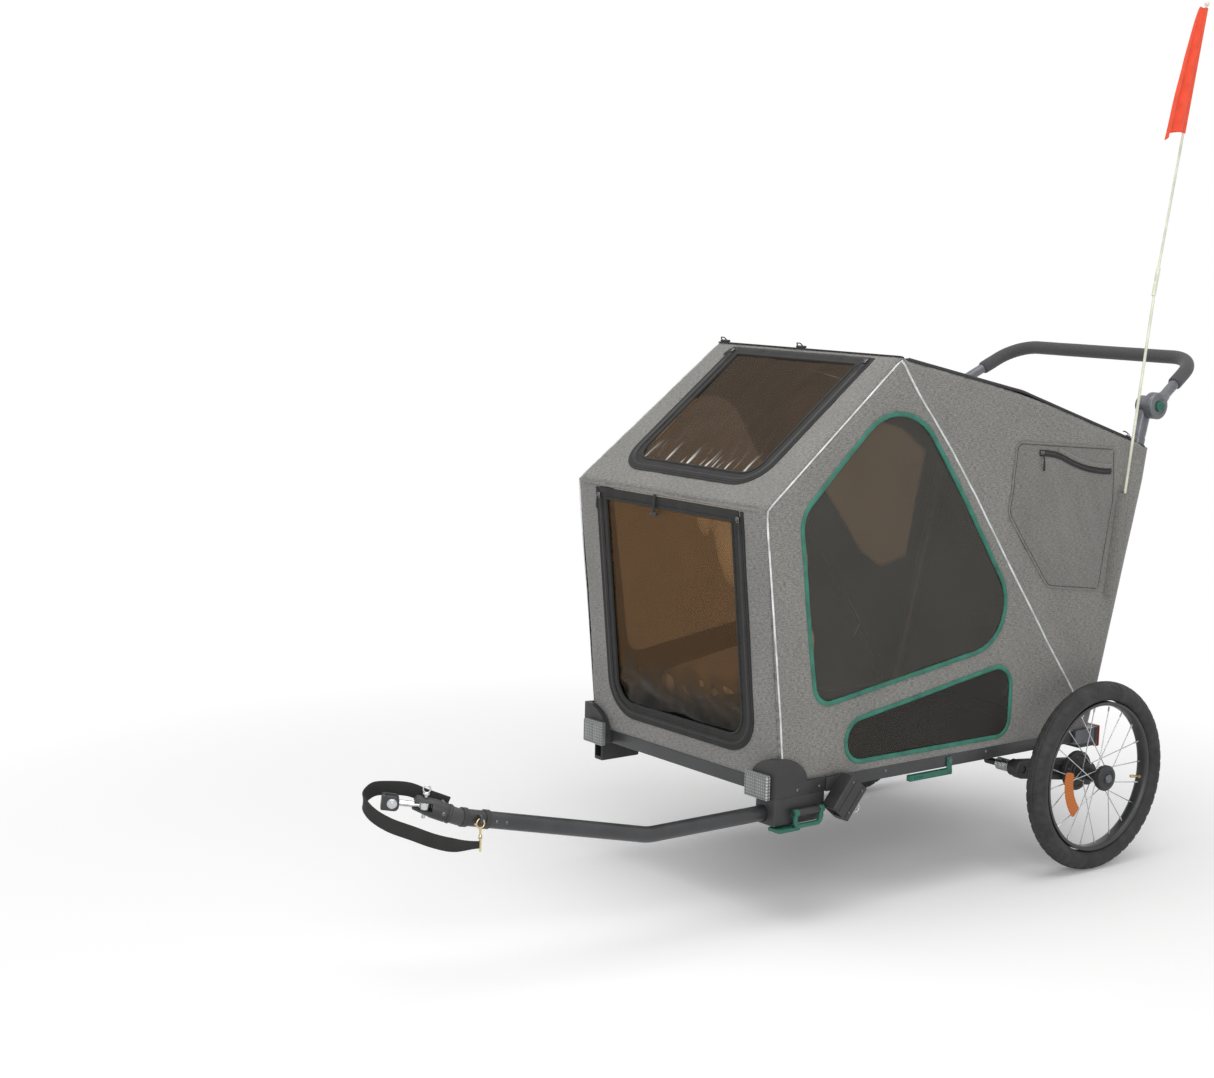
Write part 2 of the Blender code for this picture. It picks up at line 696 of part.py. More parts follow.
def make_cabin_walls():
    folds = (FRONT_TOP_Z,)
    for side, hand in ((1, "left"), (-1, "right")):
        place = side_wall(side)
        window = rounded(SIDE_WINDOW)
        made = plate(f"side_panel_{hand}", [OUTLINE, window], place, (0.0, PANEL), "fabric", folds)
        recess = plate("recess", [rounded(LOW_WINDOW)], place, (-CUT, LOW_WINDOW_RECESS), "film")
        combine(made, [recess], "DIFFERENCE")
        middle = (PANEL - FILM) / 2
        plate(f"side_window_{hand}", [grown(window, -GAP)], place, (middle, middle + FILM), "film", folds)
    front = wall_edges(FRONT, 0.0, wall_length(FRONT) - GAP)
    plate("front_panel", [front, door_outline()], wall(FRONT), (0.0, PANEL), "dark_fabric")
    roof = wall_edges(ROOF, GAP, wall_length(ROOF) - GAP)
    plate("roof_panel", [roof, roof_flap_outline()], wall(ROOF), (0.0, PANEL), "fabric")
    rear = wall_edges(REAR, GAP, wall_length(REAR))
    plate("rear_panel", [rear], wall(REAR), (0.0, PANEL), "fabric")


def flap(name, outline, place, hinge):
    """A zipped flap: a fabric border with a film welded into it, turning on its top edge."""
    made = plate(name, [outline(-GAP), outline(-FLAP_BORDER)], place, (0.0, PANEL), "webbing", origin=hinge)
    middle = (PANEL - FILM) / 2
    film = plate("film", [outline(CUT - FLAP_BORDER)], place, (middle, middle + FILM), "film", origin=hinge)
    return combine(made, [film])


def make_flaps():
    door_hinge = wall(FRONT)(0.0, wall_length(FRONT) - DOOR_TOP - GAP, 0.0)
    flap("door", door_outline, wall(FRONT), door_hinge)
    roof_hinge = wall(ROOF)(0.0, wall_length(ROOF) - ROOF_FLAP_TOP - GAP, 0.0)
    flap("roof_flap", roof_flap_outline, wall(ROOF), roof_hinge)
    tail_share = (REAR_FLAP_END_Y - KNEE_Y) / (REAR_TOP_Y - KNEE_Y)
    front_part = wall_edges(BACK_ROOF, REAR_FLAP_START, wall_length(BACK_ROOF))
    rear_part = wall_edges(TAIL_ROOF, 0.0, wall_length(TAIL_ROOF) * tail_share)
    knee = wall_length(BACK_ROOF)
    outline = front_part[:3] + [p + Vector((0.0, knee)) for p in rear_part[2:]] + [front_part[3]]

    def place(u, v, depth):
        if v <= knee:
            return wall(BACK_ROOF)(u, v, depth)
        return wall(TAIL_ROOF)(u, v - knee, depth)

    hinge = place(0.0, REAR_FLAP_START, 0.0)
    plate("rear_roof_flap", [outline], place, (0.0, PANEL), "fabric", folds=(knee,), origin=hinge)


def rail_outer_x():
    return CABIN_HALF_WIDTH - RAIL_INSET


def rail_inner_x():
    return rail_outer_x() - RAIL_WIDTH


def make_base_frame():
    bottom = RAIL_TOP_Z - RAIL_HEIGHT
    front_end = CORNER_FRONT_Y + CORNER_LENGTH
    for side, hand in ((1, "left"), (-1, "right")):
        low = at(rail_inner_x(), front_end + GAP, bottom)
        high = at(rail_outer_x(), REAR_BEAM_Y - GAP, RAIL_TOP_Z)
        rail = block(f"rail_{hand}", *mirrored(side, low, high), "frame")
        if side > 0:
            pin_start = at(rail_outer_x() - CUT, LEVER_PIVOT_Y, LEVER_PIVOT_Z)
            pin_end = pin_start + Vector((CUT + GAP + LEVER_EAR + GAP, 0, 0))
            pin = rod("pin", pin_start, pin_end, LEVER_PIN_RADIUS, "frame", 12)
            head_end = pin_end + Vector((0.0015, 0, 0))
            head = rod("head", pin_end, head_end, 1.7 * LEVER_PIN_RADIUS, "frame", 12)
            combine(rail, [pin, head])
    corner_inner = CORNER_OUTER_X - CORNER_WIDTH
    crossbar_front = FRONT_SETBACK - CUT
    block("crossbar_front", at(-corner_inner + GAP, crossbar_front, bottom),
          at(corner_inner - GAP, crossbar_front + CROSSBAR_DEPTH, RAIL_TOP_Z), "frame")
    floor_bottom = bottom + (RAIL_HEIGHT - FLOOR_THICKNESS) / 2
    wide, narrow = rail_inner_x() - GAP, corner_inner - GAP
    start, rear = crossbar_front + CROSSBAR_DEPTH + GAP, REAR_BEAM_Y - GAP
    outline = [(-wide, rear), (wide, rear), (wide, front_end + GAP), (narrow, front_end + GAP),
               (narrow, start), (-narrow, start), (-narrow, front_end + GAP), (-wide, front_end + GAP)]
    plate("floor_panel", [outline], at, (floor_bottom, floor_bottom + FLOOR_THICKNESS), "webbing")


def make_rear_beam():
    bottom = RAIL_TOP_Z - RAIL_HEIGHT
    rear = REAR_BEAM_Y + REAR_BEAM_LENGTH
    beam = block("rear_beam", at(-rail_outer_x(), rear - CROSSBAR_DEPTH, bottom),
                 at(rail_outer_x(), rear, RAIL_TOP_Z), "frame")
    ends = []
    for side in (1, -1):
        low = at(rail_outer_x() - REAR_BLOCK_WIDTH, REAR_BEAM_Y, REAR_BLOCK_BOTTOM_Z)
        high = at(rail_outer_x() + CUT, rear + CUT, RAIL_TOP_Z)
        ends.append(block("end", *mirrored(side, low, high), "frame"))
    combine(beam, ends)
    for side, hand in ((1, "left"), (-1, "right")):
        outer = rail_outer_x() - CUT
        middle = (REAR_BLOCK_BOTTOM_Z + RAIL_TOP_Z) / 2 - CUT
        low = at(outer - REAR_REFLECTOR_WIDTH, rear + CUT + GAP, middle - REAR_REFLECTOR_HEIGHT / 2)
        high = at(outer, rear + CUT + GAP + REFLECTOR_DEPTH, middle + REAR_REFLECTOR_HEIGHT / 2)
        soften(block(f"rear_reflector_{hand}", *mirrored(side, low, high), "red"), 0.002)


def dome_corner(side, hand):
    """The dome over the cabin's corner, with the block between rail and crossbar under it."""
    inner = CORNER_OUTER_X - CORNER_WIDTH
    rear = CORNER_FRONT_Y + CORNER_LENGTH
    bottom = RAIL_TOP_Z - RAIL_HEIGHT
    top = RAIL_TOP_Z + DOME_HEIGHT
    arc = [math.pi / 2 * k / 7 for k in range(8)]
    seen_from_side = [(CORNER_FRONT_Y, bottom), (rear, bottom), (rear, RAIL_TOP_Z)]
    seen_from_side += [(CORNER_FRONT_Y + DOME_START + DOME_REACH * math.cos(t),
                        RAIL_TOP_Z + DOME_HEIGHT * math.sin(t)) for t in arc]
    seen_from_side.append((CORNER_FRONT_Y, top))
    seen_from_front = [(CORNER_OUTER_X + CUT, bottom - CUT), (inner, bottom - CUT), (inner, RAIL_TOP_Z)]
    seen_from_front += [(CORNER_OUTER_X - CORNER_WIDTH * math.cos(t), RAIL_TOP_Z + DOME_HEIGHT * math.sin(t))
                        for t in arc[1:]]
    seen_from_front.append((CORNER_OUTER_X + CUT, top))

    def from_side(u, v, depth):
        return at(side * (CORNER_OUTER_X - depth), u, v)

    def from_front(u, v, depth):
        return at(side * u, CORNER_FRONT_Y + depth, v)

    made = plate(f"corner_front_{hand}", [seen_from_side], from_side, (0.0, CORNER_WIDTH), "plastic")
    front_view = plate("front_view", [seen_from_front], from_front, (-CUT, CORNER_LENGTH + CUT), "plastic")
    combine(made, [front_view], "INTERSECT")
    share = DOME_HEIGHT / (FRONT_TOP_Z - RAIL_TOP_Z)
    room_low = at(inner - CUT, FRONT_SETBACK * (1 - share) - 2 * GAP, RAIL_TOP_Z)
    room_high = at(CABIN_HALF_WIDTH + GAP, rear + CUT, top + CUT)
    room = block("room", *mirrored(side, room_low, room_high), "plastic")
    return combine(made, [room], "DIFFERENCE")


def make_front_corners():
    """The left casting holds the drawbar's socket and the right one a hollow foot."""
    rear = CORNER_FRONT_Y + CORNER_LENGTH
    joint = RAIL_TOP_Z - RAIL_HEIGHT + CUT
    left = dome_corner(1, "left")
    socket = block("socket", at(CORNER_OUTER_X - SOCKET_WIDTH, CORNER_FRONT_Y, SOCKET_BOTTOM_Z),
                   at(CORNER_OUTER_X, rear, joint), "plastic")
    combine(left, [socket])
    bore = rod("bore", at(DRAWBAR_X, CORNER_FRONT_Y - CUT, DRAWBAR_Z),
               at(DRAWBAR_X, CORNER_FRONT_Y + SOCKET_DEPTH, DRAWBAR_Z),
               around(DRAWBAR_RADIUS + GAP, 20), "plastic", 20)
    combine(left, [bore], "DIFFERENCE")
    right = dome_corner(-1, "right")
    inner = CORNER_OUTER_X - FOOT_WIDTH
    foot = block("foot", at(-CORNER_OUTER_X, FOOT_FRONT_Y, FOOT_BOTTOM_Z), at(-inner, rear, joint), "plastic")
    combine(right, [foot])
    recess = block("recess", at(FOOT_WALL - CORNER_OUTER_X, FOOT_FRONT_Y - CUT, FOOT_BOTTOM_Z + 2 * FOOT_WALL),
                   at(-inner - FOOT_WALL, FOOT_FRONT_Y + FOOT_RECESS, joint - 4 * FOOT_WALL), "plastic")
    combine(right, [recess], "DIFFERENCE")
    rod_start = at(LATCH_PIVOT_X, LATCH_FRONT_Y - LATCH_EAR / 2 - GAP, LATCH_PIVOT_Z)
    rod_end = at(LATCH_PIVOT_X, LATCH_REAR_Y + LATCH_EAR / 2 + GAP, LATCH_PIVOT_Z)
    shaft = rod("shaft", rod_start, rod_end, LATCH_ROD_RADIUS, "plastic", 12)
    inner_front = LATCH_FRONT_Y + LATCH_EAR / 2 + GAP
    inner_rear = LATCH_REAR_Y - LATCH_EAR / 2 - GAP
    barrel = rod("barrel", at(LATCH_PIVOT_X, inner_front, LATCH_PIVOT_Z),
                 at(LATCH_PIVOT_X, inner_rear, LATCH_PIVOT_Z), 0.9 * LATCH_EAR_RADIUS, "plastic", 12)
    web = block("web", at(CORNER_OUTER_X - CUT, inner_front + CUT, LATCH_PIVOT_Z - LATCH_ROD_RADIUS),
                at(LATCH_PIVOT_X, inner_rear - CUT, LATCH_PIVOT_Z + LATCH_ROD_RADIUS), "plastic")
    combine(left, [shaft, barrel, web])
    for side, hand in ((1, "left"), (-1, "right")):
        outer = CORNER_OUTER_X - REFLECTOR_INSET
        bottom = RAIL_TOP_Z + 0.018 - REFLECTOR_HEIGHT
        low = at(outer - REFLECTOR_WIDTH, CORNER_FRONT_Y - GAP - REFLECTOR_DEPTH, bottom)
        high = at(outer, CORNER_FRONT_Y - GAP, bottom + REFLECTOR_HEIGHT)
        soften(block(f"front_reflector_{hand}", *mirrored(side, low, high), "clear"), 0.003)


def make_hoops():
    """The two hoops inside the fabric: one along the front edges, one down to the rear."""
    clear = PANEL + 2 * GAP + HOOP_RADIUS
    inner = inset_outline(clear)

    def legs(points):
        left = [at(half_width(p.y) - clear, p.x, p.y) for p in points]
        right = [at(clear - half_width(p.y), p.x, p.y) for p in reversed(points)]
        return left + right

    def foot(y, towards):
        """A leg's lower end, high enough for its square-cut edge to clear the rail."""
        run = (towards - Vector((y, RAIL_TOP_Z))).normalized()
        return Vector((y, RAIL_TOP_Z + 3 * GAP + HOOP_RADIUS * abs(run.x)))

    front_points = [foot(inner[0].x, inner[1]), inner[1], inner[2]]
    swept("front_hoop", bent(legs(front_points), HOOP_BEND, 4), circle(HOOP_RADIUS, 8), "frame")
    behind = (inner[3] - inner[2]).normalized()
    top = inner[2] + behind * (2.6 * HOOP_RADIUS)
    rear_points = [foot(DIAGONAL_FOOT_Y, top), top]
    swept("diagonal_hoop", bent(legs(rear_points), HOOP_BEND, 4), circle(HOOP_RADIUS, 8), "frame")


def post_at(z):
    return POST_FOOT_Y + POST_SLOPE * (z - RAIL_TOP_Z)


def pivot_point(x):
    return at(x, post_at(PIVOT_Z), PIVOT_Z)


def make_handle_posts():
    """The two rear posts with their tie bar, collars and pivot heads, welded together."""
    foot = RAIL_TOP_Z + GAP
    tie_y = post_at(REAR_TIE_Z)
    frame = rod("handle_posts", at(-POST_X, tie_y, REAR_TIE_Z), at(POST_X, tie_y, REAR_TIE_Z),
                REAR_TIE_RADIUS, "arm", 10)
    pieces = []
    for side in (1, -1):
        rise = (pivot_point(0) - at(0, post_at(foot), foot)).normalized()
        low = at(side * POST_X, post_at(foot), foot) - rise * POST_RADIUS
        pieces.append(rod("post", low, pivot_point(side * POST_X) - rise * CUT, POST_RADIUS, "arm", 12))
        collar_low = at(side * POST_X, post_at(COLLAR_Z), COLLAR_Z)
        pieces.append(rod("collar", collar_low, collar_low + rise * COLLAR_HEIGHT, COLLAR_RADIUS, "arm", 14))
        pieces.append(rod("head", pivot_point(side * (POST_X - POST_RADIUS)),
                          pivot_point(side * (POST_X + POST_RADIUS)), POST_HEAD_RADIUS, "arm", 20))
    combine(frame, pieces)
    level = block("level", at(-POST_X - 2 * POST_RADIUS, POST_FOOT_Y - 2 * POST_RADIUS, foot - 2 * POST_RADIUS),
                  at(POST_X + 2 * POST_RADIUS, POST_FOOT_Y + 2 * POST_RADIUS, foot), "arm")
    combine(frame, [level], "DIFFERENCE")


def handle_path(start):
    """The push bar's centre line from one side to the other, its ends at start from the pivots."""
    corner = pivot_point(HANDLE_BAR_X) + Vector((0, HANDLE_REACH, HANDLE_RISE))
    flip = Vector((-1, 1, 1))
    centre = pivot_point(HANDLE_ARM_X)
    path = bent([centre, corner, corner * flip, centre * flip], HANDLE_BEND, 6)
    near = centre + (corner - centre).normalized() * start
    path[0], path[-1] = near, near * flip
    return path


def make_handle():
    origin = pivot_point(0)
    inner = POST_X + POST_RADIUS + GAP
    bar = swept("handle_bar", handle_path(0.9 * KNUCKLE_RADIUS), circle(HANDLE_RADIUS, 10), "arm", origin)
    knuckles, wells = [], []
    for side in (1, -1):
        knuckles.append(rod("knuckle", pivot_point(side * inner), pivot_point(side * (inner + KNUCKLE_WIDTH)),
                            KNUCKLE_RADIUS, "arm", 24))
        outer = inner + KNUCKLE_WIDTH
        wells.append(rod("well", pivot_point(side * (outer - BUTTON_DEPTH)), pivot_point(side * (outer + CUT)),
                         around(BUTTON_RADIUS + GAP, 24), "arm", 24))
    combine(bar, knuckles)
    combine(bar, wells, "DIFFERENCE")
    path = handle_path(GRIP_START)
    swept("handle_grip", path, circle(GRIP_RADIUS, 10), "foam", origin,
          bore=circle(around(HANDLE_RADIUS + GAP, 10), 10))
    for side, hand in ((1, "left"), (-1, "right")):
        face = inner + KNUCKLE_WIDTH + BUTTON_PROUD
        back = face - BUTTON_DEPTH
        rod(f"handle_button_{hand}", pivot_point(side * back), pivot_point(side * face), BUTTON_RADIUS,
            "green", 24, pivot_point(side * back))


def make_pockets():
    def outside(u, v, depth):
        return at(half_width(v) + GAP + depth, u, v)

    plate("side_pocket", [rounded(POCKET_OUTLINE, 3)], outside, (0.0, POCKET_THICKNESS), "fabric",
          folds=(FRONT_TOP_Z,))
    pole = Vector((0, POLE_SLOPE, 1)).normalized()
    foot = at(POLE_X, POLE_FOOT_Y, POLE_FOOT_Z)
    side = pole.cross(Vector((1, 0, 0)))
    inner = half_width(POLE_FOOT_Z) + GAP - POLE_X
    outer = 2 * POLE_RADIUS
    corners = [(inner, -POLE_POCKET_WIDTH / 2), (outer, -0.3 * POLE_POCKET_WIDTH),
               (outer, 0.3 * POLE_POCKET_WIDTH), (inner, POLE_POCKET_WIDTH / 2)]
    low, high = foot - pole * (4 * POLE_RADIUS), foot + pole * POLE_POCKET_LENGTH
    bm = bmesh.new()
    rings = [[bm.verts.new(end + Vector((1, 0, 0)) * a + side * b) for a, b in corners] for end in (low, high)]
    for i in range(len(corners)):
        bm.faces.new((rings[0][i - 1], rings[0][i], rings[1][i], rings[1][i - 1]))
    bm.faces.new(rings[0])
    bm.faces.new(rings[1])
    pocket = finish("pole_pocket", bm, "fabric")
    well = rod("well", foot, high + pole * CUT, around(POLE_RADIUS + GAP, 12), "fabric", 12)
    combine(pocket, [well], "DIFFERENCE")


def pole_joint():
    """The point where the two halves of the pole meet, and both their directions."""
    lower = Vector((0, POLE_SLOPE, 1)).normalized()
    upper = Vector((0, POLE_UPPER_SLOPE, 1)).normalized()
    return at(POLE_X, POLE_FOOT_Y, POLE_FOOT_Z) + lower * POLE_LOWER_LENGTH, lower, upper


def make_pole():
    meet, lower, upper = pole_joint()
    foot = meet - lower * (POLE_LOWER_LENGTH - GAP)
    stick = rod("pole_lower", foot, meet, POLE_RADIUS, "pole", 12, foot)
    cup = turned("cup", [(-FERRULE_OVERLAP, 0.0), (-FERRULE_OVERLAP, FERRULE_RADIUS),
                         (FERRULE_LENGTH - FERRULE_OVERLAP, FERRULE_RADIUS),
                         (FERRULE_LENGTH - FERRULE_OVERLAP, 0.0)], along(upper, meet), "pole", 16)
    combine(stick, [cup])
    seat = meet + upper * GAP
    well = rod("well", seat, meet + upper * FERRULE_LENGTH, around(POLE_RADIUS + GAP, 12), "pole", 12)
    combine(stick, [well], "DIFFERENCE")
    start = seat + upper * GAP
    end = meet + upper * POLE_UPPER_LENGTH
    whip = rod("pole_upper", start, end, POLE_RADIUS * 0.9, "pole", 12, start)
    arc = [math.pi * k / 8 for k in range(9)]
    ball = turned("ball", [(POLE_TIP_RADIUS * (1 - math.cos(t)), POLE_TIP_RADIUS * math.sin(t)) for t in arc],
                  along(upper, end - upper * POLE_TIP_RADIUS), "pole", 16)
    combine(whip, [ball])


def make_flag():
    """A pennant that hangs down the pole in folds, sewn round the pole along its rear edge."""
    meet, _, upper = pole_joint()
    tip = meet + upper * POLE_UPPER_LENGTH
    forward = upper.cross(Vector((1, 0, 0))) * -1.0
    if forward.y > 0:
        forward.negate()
    rows, columns = 11, 14
    sleeve = POLE_RADIUS + GAP

    def middle(down, across):
        """A point of the cloth's middle surface, as its offset from the pole's line."""
        width = FLAG_TOP_WIDTH + (FLAG_BOTTOM_WIDTH - FLAG_TOP_WIDTH) * down ** 0.6
        fold = FLAG_FOLD_DEPTH * math.sqrt(down) * math.sin(math.tau * FLAG_FOLDS * across / 2 + 0.4)
        fade = min(1.0, across * 4)
        reach = sleeve + width * across
        sag = FLAG_SAG * down * across * across
        along_pole = FLAG_TOP + FLAG_LENGTH * down + sag
        return tip - upper * along_pole + forward * reach + Vector((1, 0, 0)) * fold * fade

    bm = bmesh.new()
    grid = [[middle(r / rows, c / columns) for c in range(columns + 1)] for r in range(rows + 1)]
    normals = []
    for r in range(rows + 1):
        line = []
        for c in range(columns + 1):
            left = grid[r][max(c - 1, 0)]
            right = grid[r][min(c + 1, columns)]
            above = grid[max(r - 1, 0)][c]
            below = grid[min(r + 1, rows)][c]
            line.append((right - left).cross(below - above).normalized())
        normals.append(line)
    half = FLAG_THICKNESS / 2
    front = [[bm.verts.new(p + n * half) for p, n in zip(*pair)] for pair in zip(grid, normals)]
    back = [[bm.verts.new(p - n * half) for p, n in zip(*pair)] for pair in zip(grid, normals)]
    for sheet in (front, back):
        for r in range(rows):
            for c in range(columns):
                bm.faces.new((sheet[r][c], sheet[r + 1][c], sheet[r + 1][c + 1], sheet[r][c + 1]))
    rim = [(r, 0) for r in range(rows + 1)] + [(rows, c) for c in range(1, columns + 1)]
    rim += [(r, columns) for r in range(rows - 1, -1, -1)] + [(0, c) for c in range(columns - 1, 0, -1)]
    for (r0, c0), (r1, c1) in zip(rim, rim[1:] + rim[:1]):
        bm.faces.new((front[r0][c0], front[r1][c1], back[r1][c1], back[r0][c0]))
    finish("flag", bm, "flag", tip, 60.0)


def wheel_frame(side):
    """Spins about the axle: X outwards, and the zero angle towards the rear."""
    return along((side, 0, 0), at(0, AXLE_Y, WHEEL_RADIUS))


def make_tyre(side, hand):
    half = TYRE_WIDTH / 2
    bead = RIM_OUTER_RADIUS + GAP
    middle = (WHEEL_RADIUS + bead) / 2
    rise = (WHEEL_RADIUS - bead) / 2
    turns = [-math.pi / 2 + math.pi * 2 * k / 10 for k in range(1, 10)]
    profile = [(WHEEL_X - 0.45 * half, bead), (WHEEL_X + 0.45 * half, bead)]
    profile += [(WHEEL_X + half * math.cos(t), middle + rise * math.sin(t)) for t in turns[1:-1]]
    turned(f"tyre_{hand}", profile, wheel_frame(side), "tyre", RIM_SEGMENTS, at(side * WHEEL_X, AXLE_Y, WHEEL_RADIUS))


def spoke_ends(k):
    """A crossed spoke's ends in the wheel's axes: at a hub flange and inside the rim."""
    angle = math.tau * (k + 0.25) / SPOKE_COUNT
    foot_angle = angle + math.radians(SPOKE_LEAN if k % 4 < 2 else -SPOKE_LEAN)
    foot_x = WHEEL_X + HUB_FLANGE_OFFSET * (-1 if k % 2 else 1)
    foot_radius = HUB_FLANGE_RADIUS - 2 * SPOKE_RADIUS
    tip_radius = RIM_INNER_RADIUS * math.cos(math.pi / RIM_SEGMENTS) - 2 * GAP
    foot = Vector((foot_x, foot_radius * math.cos(foot_angle), foot_radius * math.sin(foot_angle)))
    return foot, Vector((WHEEL_X, tip_radius * math.cos(angle), tip_radius * math.sin(angle)))


def outer_spoke_x(radius):
    """Where the outer spokes' middle lines cross the given radius."""
    foot, tip = spoke_ends(0)
    start, run = foot.yz, tip.yz - foot.yz
    mixed = start.dot(run)
    share = (math.sqrt(mixed * mixed - run.dot(run) * (start.dot(start) - radius * radius)) - mixed) / run.dot(run)
    return foot.x + (tip.x - foot.x) * share


def make_spoked_wheel(side, hand):
    """Hub, brake disc and cap turned in one, with the spokes run into the rim."""
    frame = wheel_frame(side)
    centre = at(side * WHEEL_X, AXLE_Y, WHEEL_RADIUS)
    disc_outer = BRAKE_DISC_X + BRAKE_DISC_WIDTH
    bore = around(HUB_BORE_RADIUS, 18)
    well = around(RELEASE_RADIUS + GAP, 18)
    flange = 0.002
    inner_flange, outer_flange = WHEEL_X - HUB_FLANGE_OFFSET, WHEEL_X + HUB_FLANGE_OFFSET
    profile = [(BRAKE_DISC_X, bore), (BRAKE_DISC_X, BRAKE_DISC_RADIUS), (disc_outer, BRAKE_DISC_RADIUS),
               (disc_outer, HUB_CORE_RADIUS)]
    for place in (inner_flange, outer_flange):
        profile += [(place - flange, HUB_CORE_RADIUS), (place - flange, HUB_FLANGE_RADIUS),
                    (place + flange, HUB_FLANGE_RADIUS), (place + flange, HUB_CORE_RADIUS)]
    profile += [(HUB_CAP_X, HUB_CORE_RADIUS), (HUB_CAP_X, HUB_CAP_RADIUS),
                (HUB_CAP_X + HUB_CAP_WIDTH, HUB_CAP_RADIUS), (HUB_CAP_X + HUB_CAP_WIDTH, well),
                (HUB_CAP_X, well), (HUB_CAP_X, bore)]
    hub = turned(f"hub_{hand}", profile, frame, "plastic", 18, centre)
    half = RIM_WIDTH / 2
    rim_profile = [(WHEEL_X - half, RIM_OUTER_RADIUS), (WHEEL_X - half, RIM_INNER_RADIUS + 0.003),
                   (WHEEL_X - 0.4 * half, RIM_INNER_RADIUS), (WHEEL_X + 0.4 * half, RIM_INNER_RADIUS),
                   (WHEEL_X + half, RIM_INNER_RADIUS + 0.003), (WHEEL_X + half, RIM_OUTER_RADIUS)]
    turned(f"rim_{hand}", rim_profile, frame, "frame", RIM_SEGMENTS, centre)
    spokes = []
    for k in range(SPOKE_COUNT):
        foot, tip = spoke_ends(k)
        spokes.append(rod("spoke", frame @ foot, frame @ tip, SPOKE_RADIUS, "steel", 5))
    combine(hub, spokes)


def make_spoke_reflector(side, hand):
    """A curved orange reflector, clipped onto the outer layer of spokes."""
    frame = wheel_frame(side)
    steps = 8
    inner = SPOKE_REFLECTOR_RADIUS - SPOKE_REFLECTOR_WIDTH / 2
    outer = SPOKE_REFLECTOR_RADIUS + SPOKE_REFLECTOR_WIDTH / 2
    middle = SPOKE_REFLECTOR_ANGLE if side > 0 else 180.0 - SPOKE_REFLECTOR_ANGLE
    start = math.radians(middle - SPOKE_REFLECTOR_ARC / 2)
    turns = [start + math.radians(SPOKE_REFLECTOR_ARC) * k / steps for k in range(steps + 1)]
    outline = [Vector((outer * math.cos(t), outer * math.sin(t))) for t in turns]
    outline += [Vector((inner * math.cos(t), inner * math.sin(t))) for t in reversed(turns)]

    back = outer_spoke_x(inner) + SPOKE_RADIUS + 2 * GAP

    def place(u, v, depth):
        return frame @ Vector((back + depth, u, v))

    plate(f"spoke_reflector_{hand}", [outline], place, (0.0, SPOKE_REFLECTOR_THICKNESS), "orange",
          origin=at(side * WHEEL_X, AXLE_Y, WHEEL_RADIUS))


def make_release_button(side, hand):
    face = HUB_CAP_X + HUB_CAP_WIDTH + RELEASE_PROUD
    back = HUB_CAP_X + 0.0035
    centre = at(0, AXLE_Y, WHEEL_RADIUS)
    start, end = centre + Vector((side * back, 0, 0)), centre + Vector((side * face, 0, 0))
    rod(f"release_button_{hand}", start, end, RELEASE_RADIUS, "arm", 18, start)


def arm_outer_x():
    return BRAKE_DISC_X - 2 * GAP - 0.001


def make_swing_arm(side, hand):
    """Sleeve on the pivot shaft, arm back to the wheel, and the stub axle."""
    outer = arm_outer_x()
    inner = outer - ARM_WIDTH
    pivot = Vector((PIVOT_Y, ARM_PIVOT_Z))
    axle = Vector((AXLE_Y, WHEEL_RADIUS))
    run = (axle - pivot).normalized()
    tilt = math.atan2(run.y, run.x)
    steps = 10
    outline = []
    for centre, radius, begin in ((pivot, ARM_PIVOT_RADIUS, tilt + math.pi / 2),
                                  (axle, ARM_AXLE_RADIUS, tilt - math.pi / 2)):
        for k in range(steps + 1):
            t = begin + math.pi * k / steps
            outline.append(centre + Vector((math.cos(t), math.sin(t))) * radius)

    def place(u, v, depth):
        return at(side * (outer - depth), u, v)

    origin = at(0, PIVOT_Y, ARM_PIVOT_Z)
    arm = plate(f"swing_arm_{hand}", [outline], place, (0.0, ARM_WIDTH), "frame", origin=origin)
    shift = Vector((side, 0, 0))
    sleeve = rod("sleeve", origin + shift * SLEEVE_X, origin + shift * (inner + CUT), SLEEVE_RADIUS,
                 "frame", 24)
    stub_start = at(side * (outer - CUT), AXLE_Y, WHEEL_RADIUS)
    stub = rod("stub", stub_start, at(side * AXLE_END_X, AXLE_Y, WHEEL_RADIUS), AXLE_RADIUS, "frame", 16)
    combine(arm, [sleeve, stub])
    bore = rod("bore", origin + shift * (SLEEVE_X - CUT), origin + shift * (outer + CUT),
               around(SHAFT_RADIUS + SHAFT_CLEARANCE, 24), "frame", 24)
    combine(arm, [bore], "DIFFERENCE")


def make_suspension_bracket(side, hand):
    """The ear under the rail that holds the pivot shaft, with the shaft pressed in."""
    top = RAIL_TOP_Z - RAIL_HEIGHT - GAP
    front = PIVOT_Y - BRACKET_LENGTH / 2
    rear = PIVOT_Y + BRACKET_LENGTH / 2
    low = at(BRACKET_INNER_X, front, top - BRACKET_PLATE)
    high = at(rail_outer_x() - CUT, rear, top)
    made = block(f"suspension_bracket_{hand}", *mirrored(side, low, high), "plastic")
    ear_low = at(BRACKET_INNER_X, front + CUT, BRACKET_BOTTOM_Z)
    ear_high = at(BRACKET_INNER_X + BRACKET_EAR, rear - CUT, top - BRACKET_PLATE / 2)
    ear = block("ear", *mirrored(side, ear_low, ear_high), "plastic")
    shaft = rod("shaft", at(side * (BRACKET_INNER_X + CUT), PIVOT_Y, ARM_PIVOT_Z),
                at(side * (arm_outer_x() - CUT), PIVOT_Y, ARM_PIVOT_Z), SHAFT_RADIUS, "plastic", 16)
    combine(made, [ear, shaft])


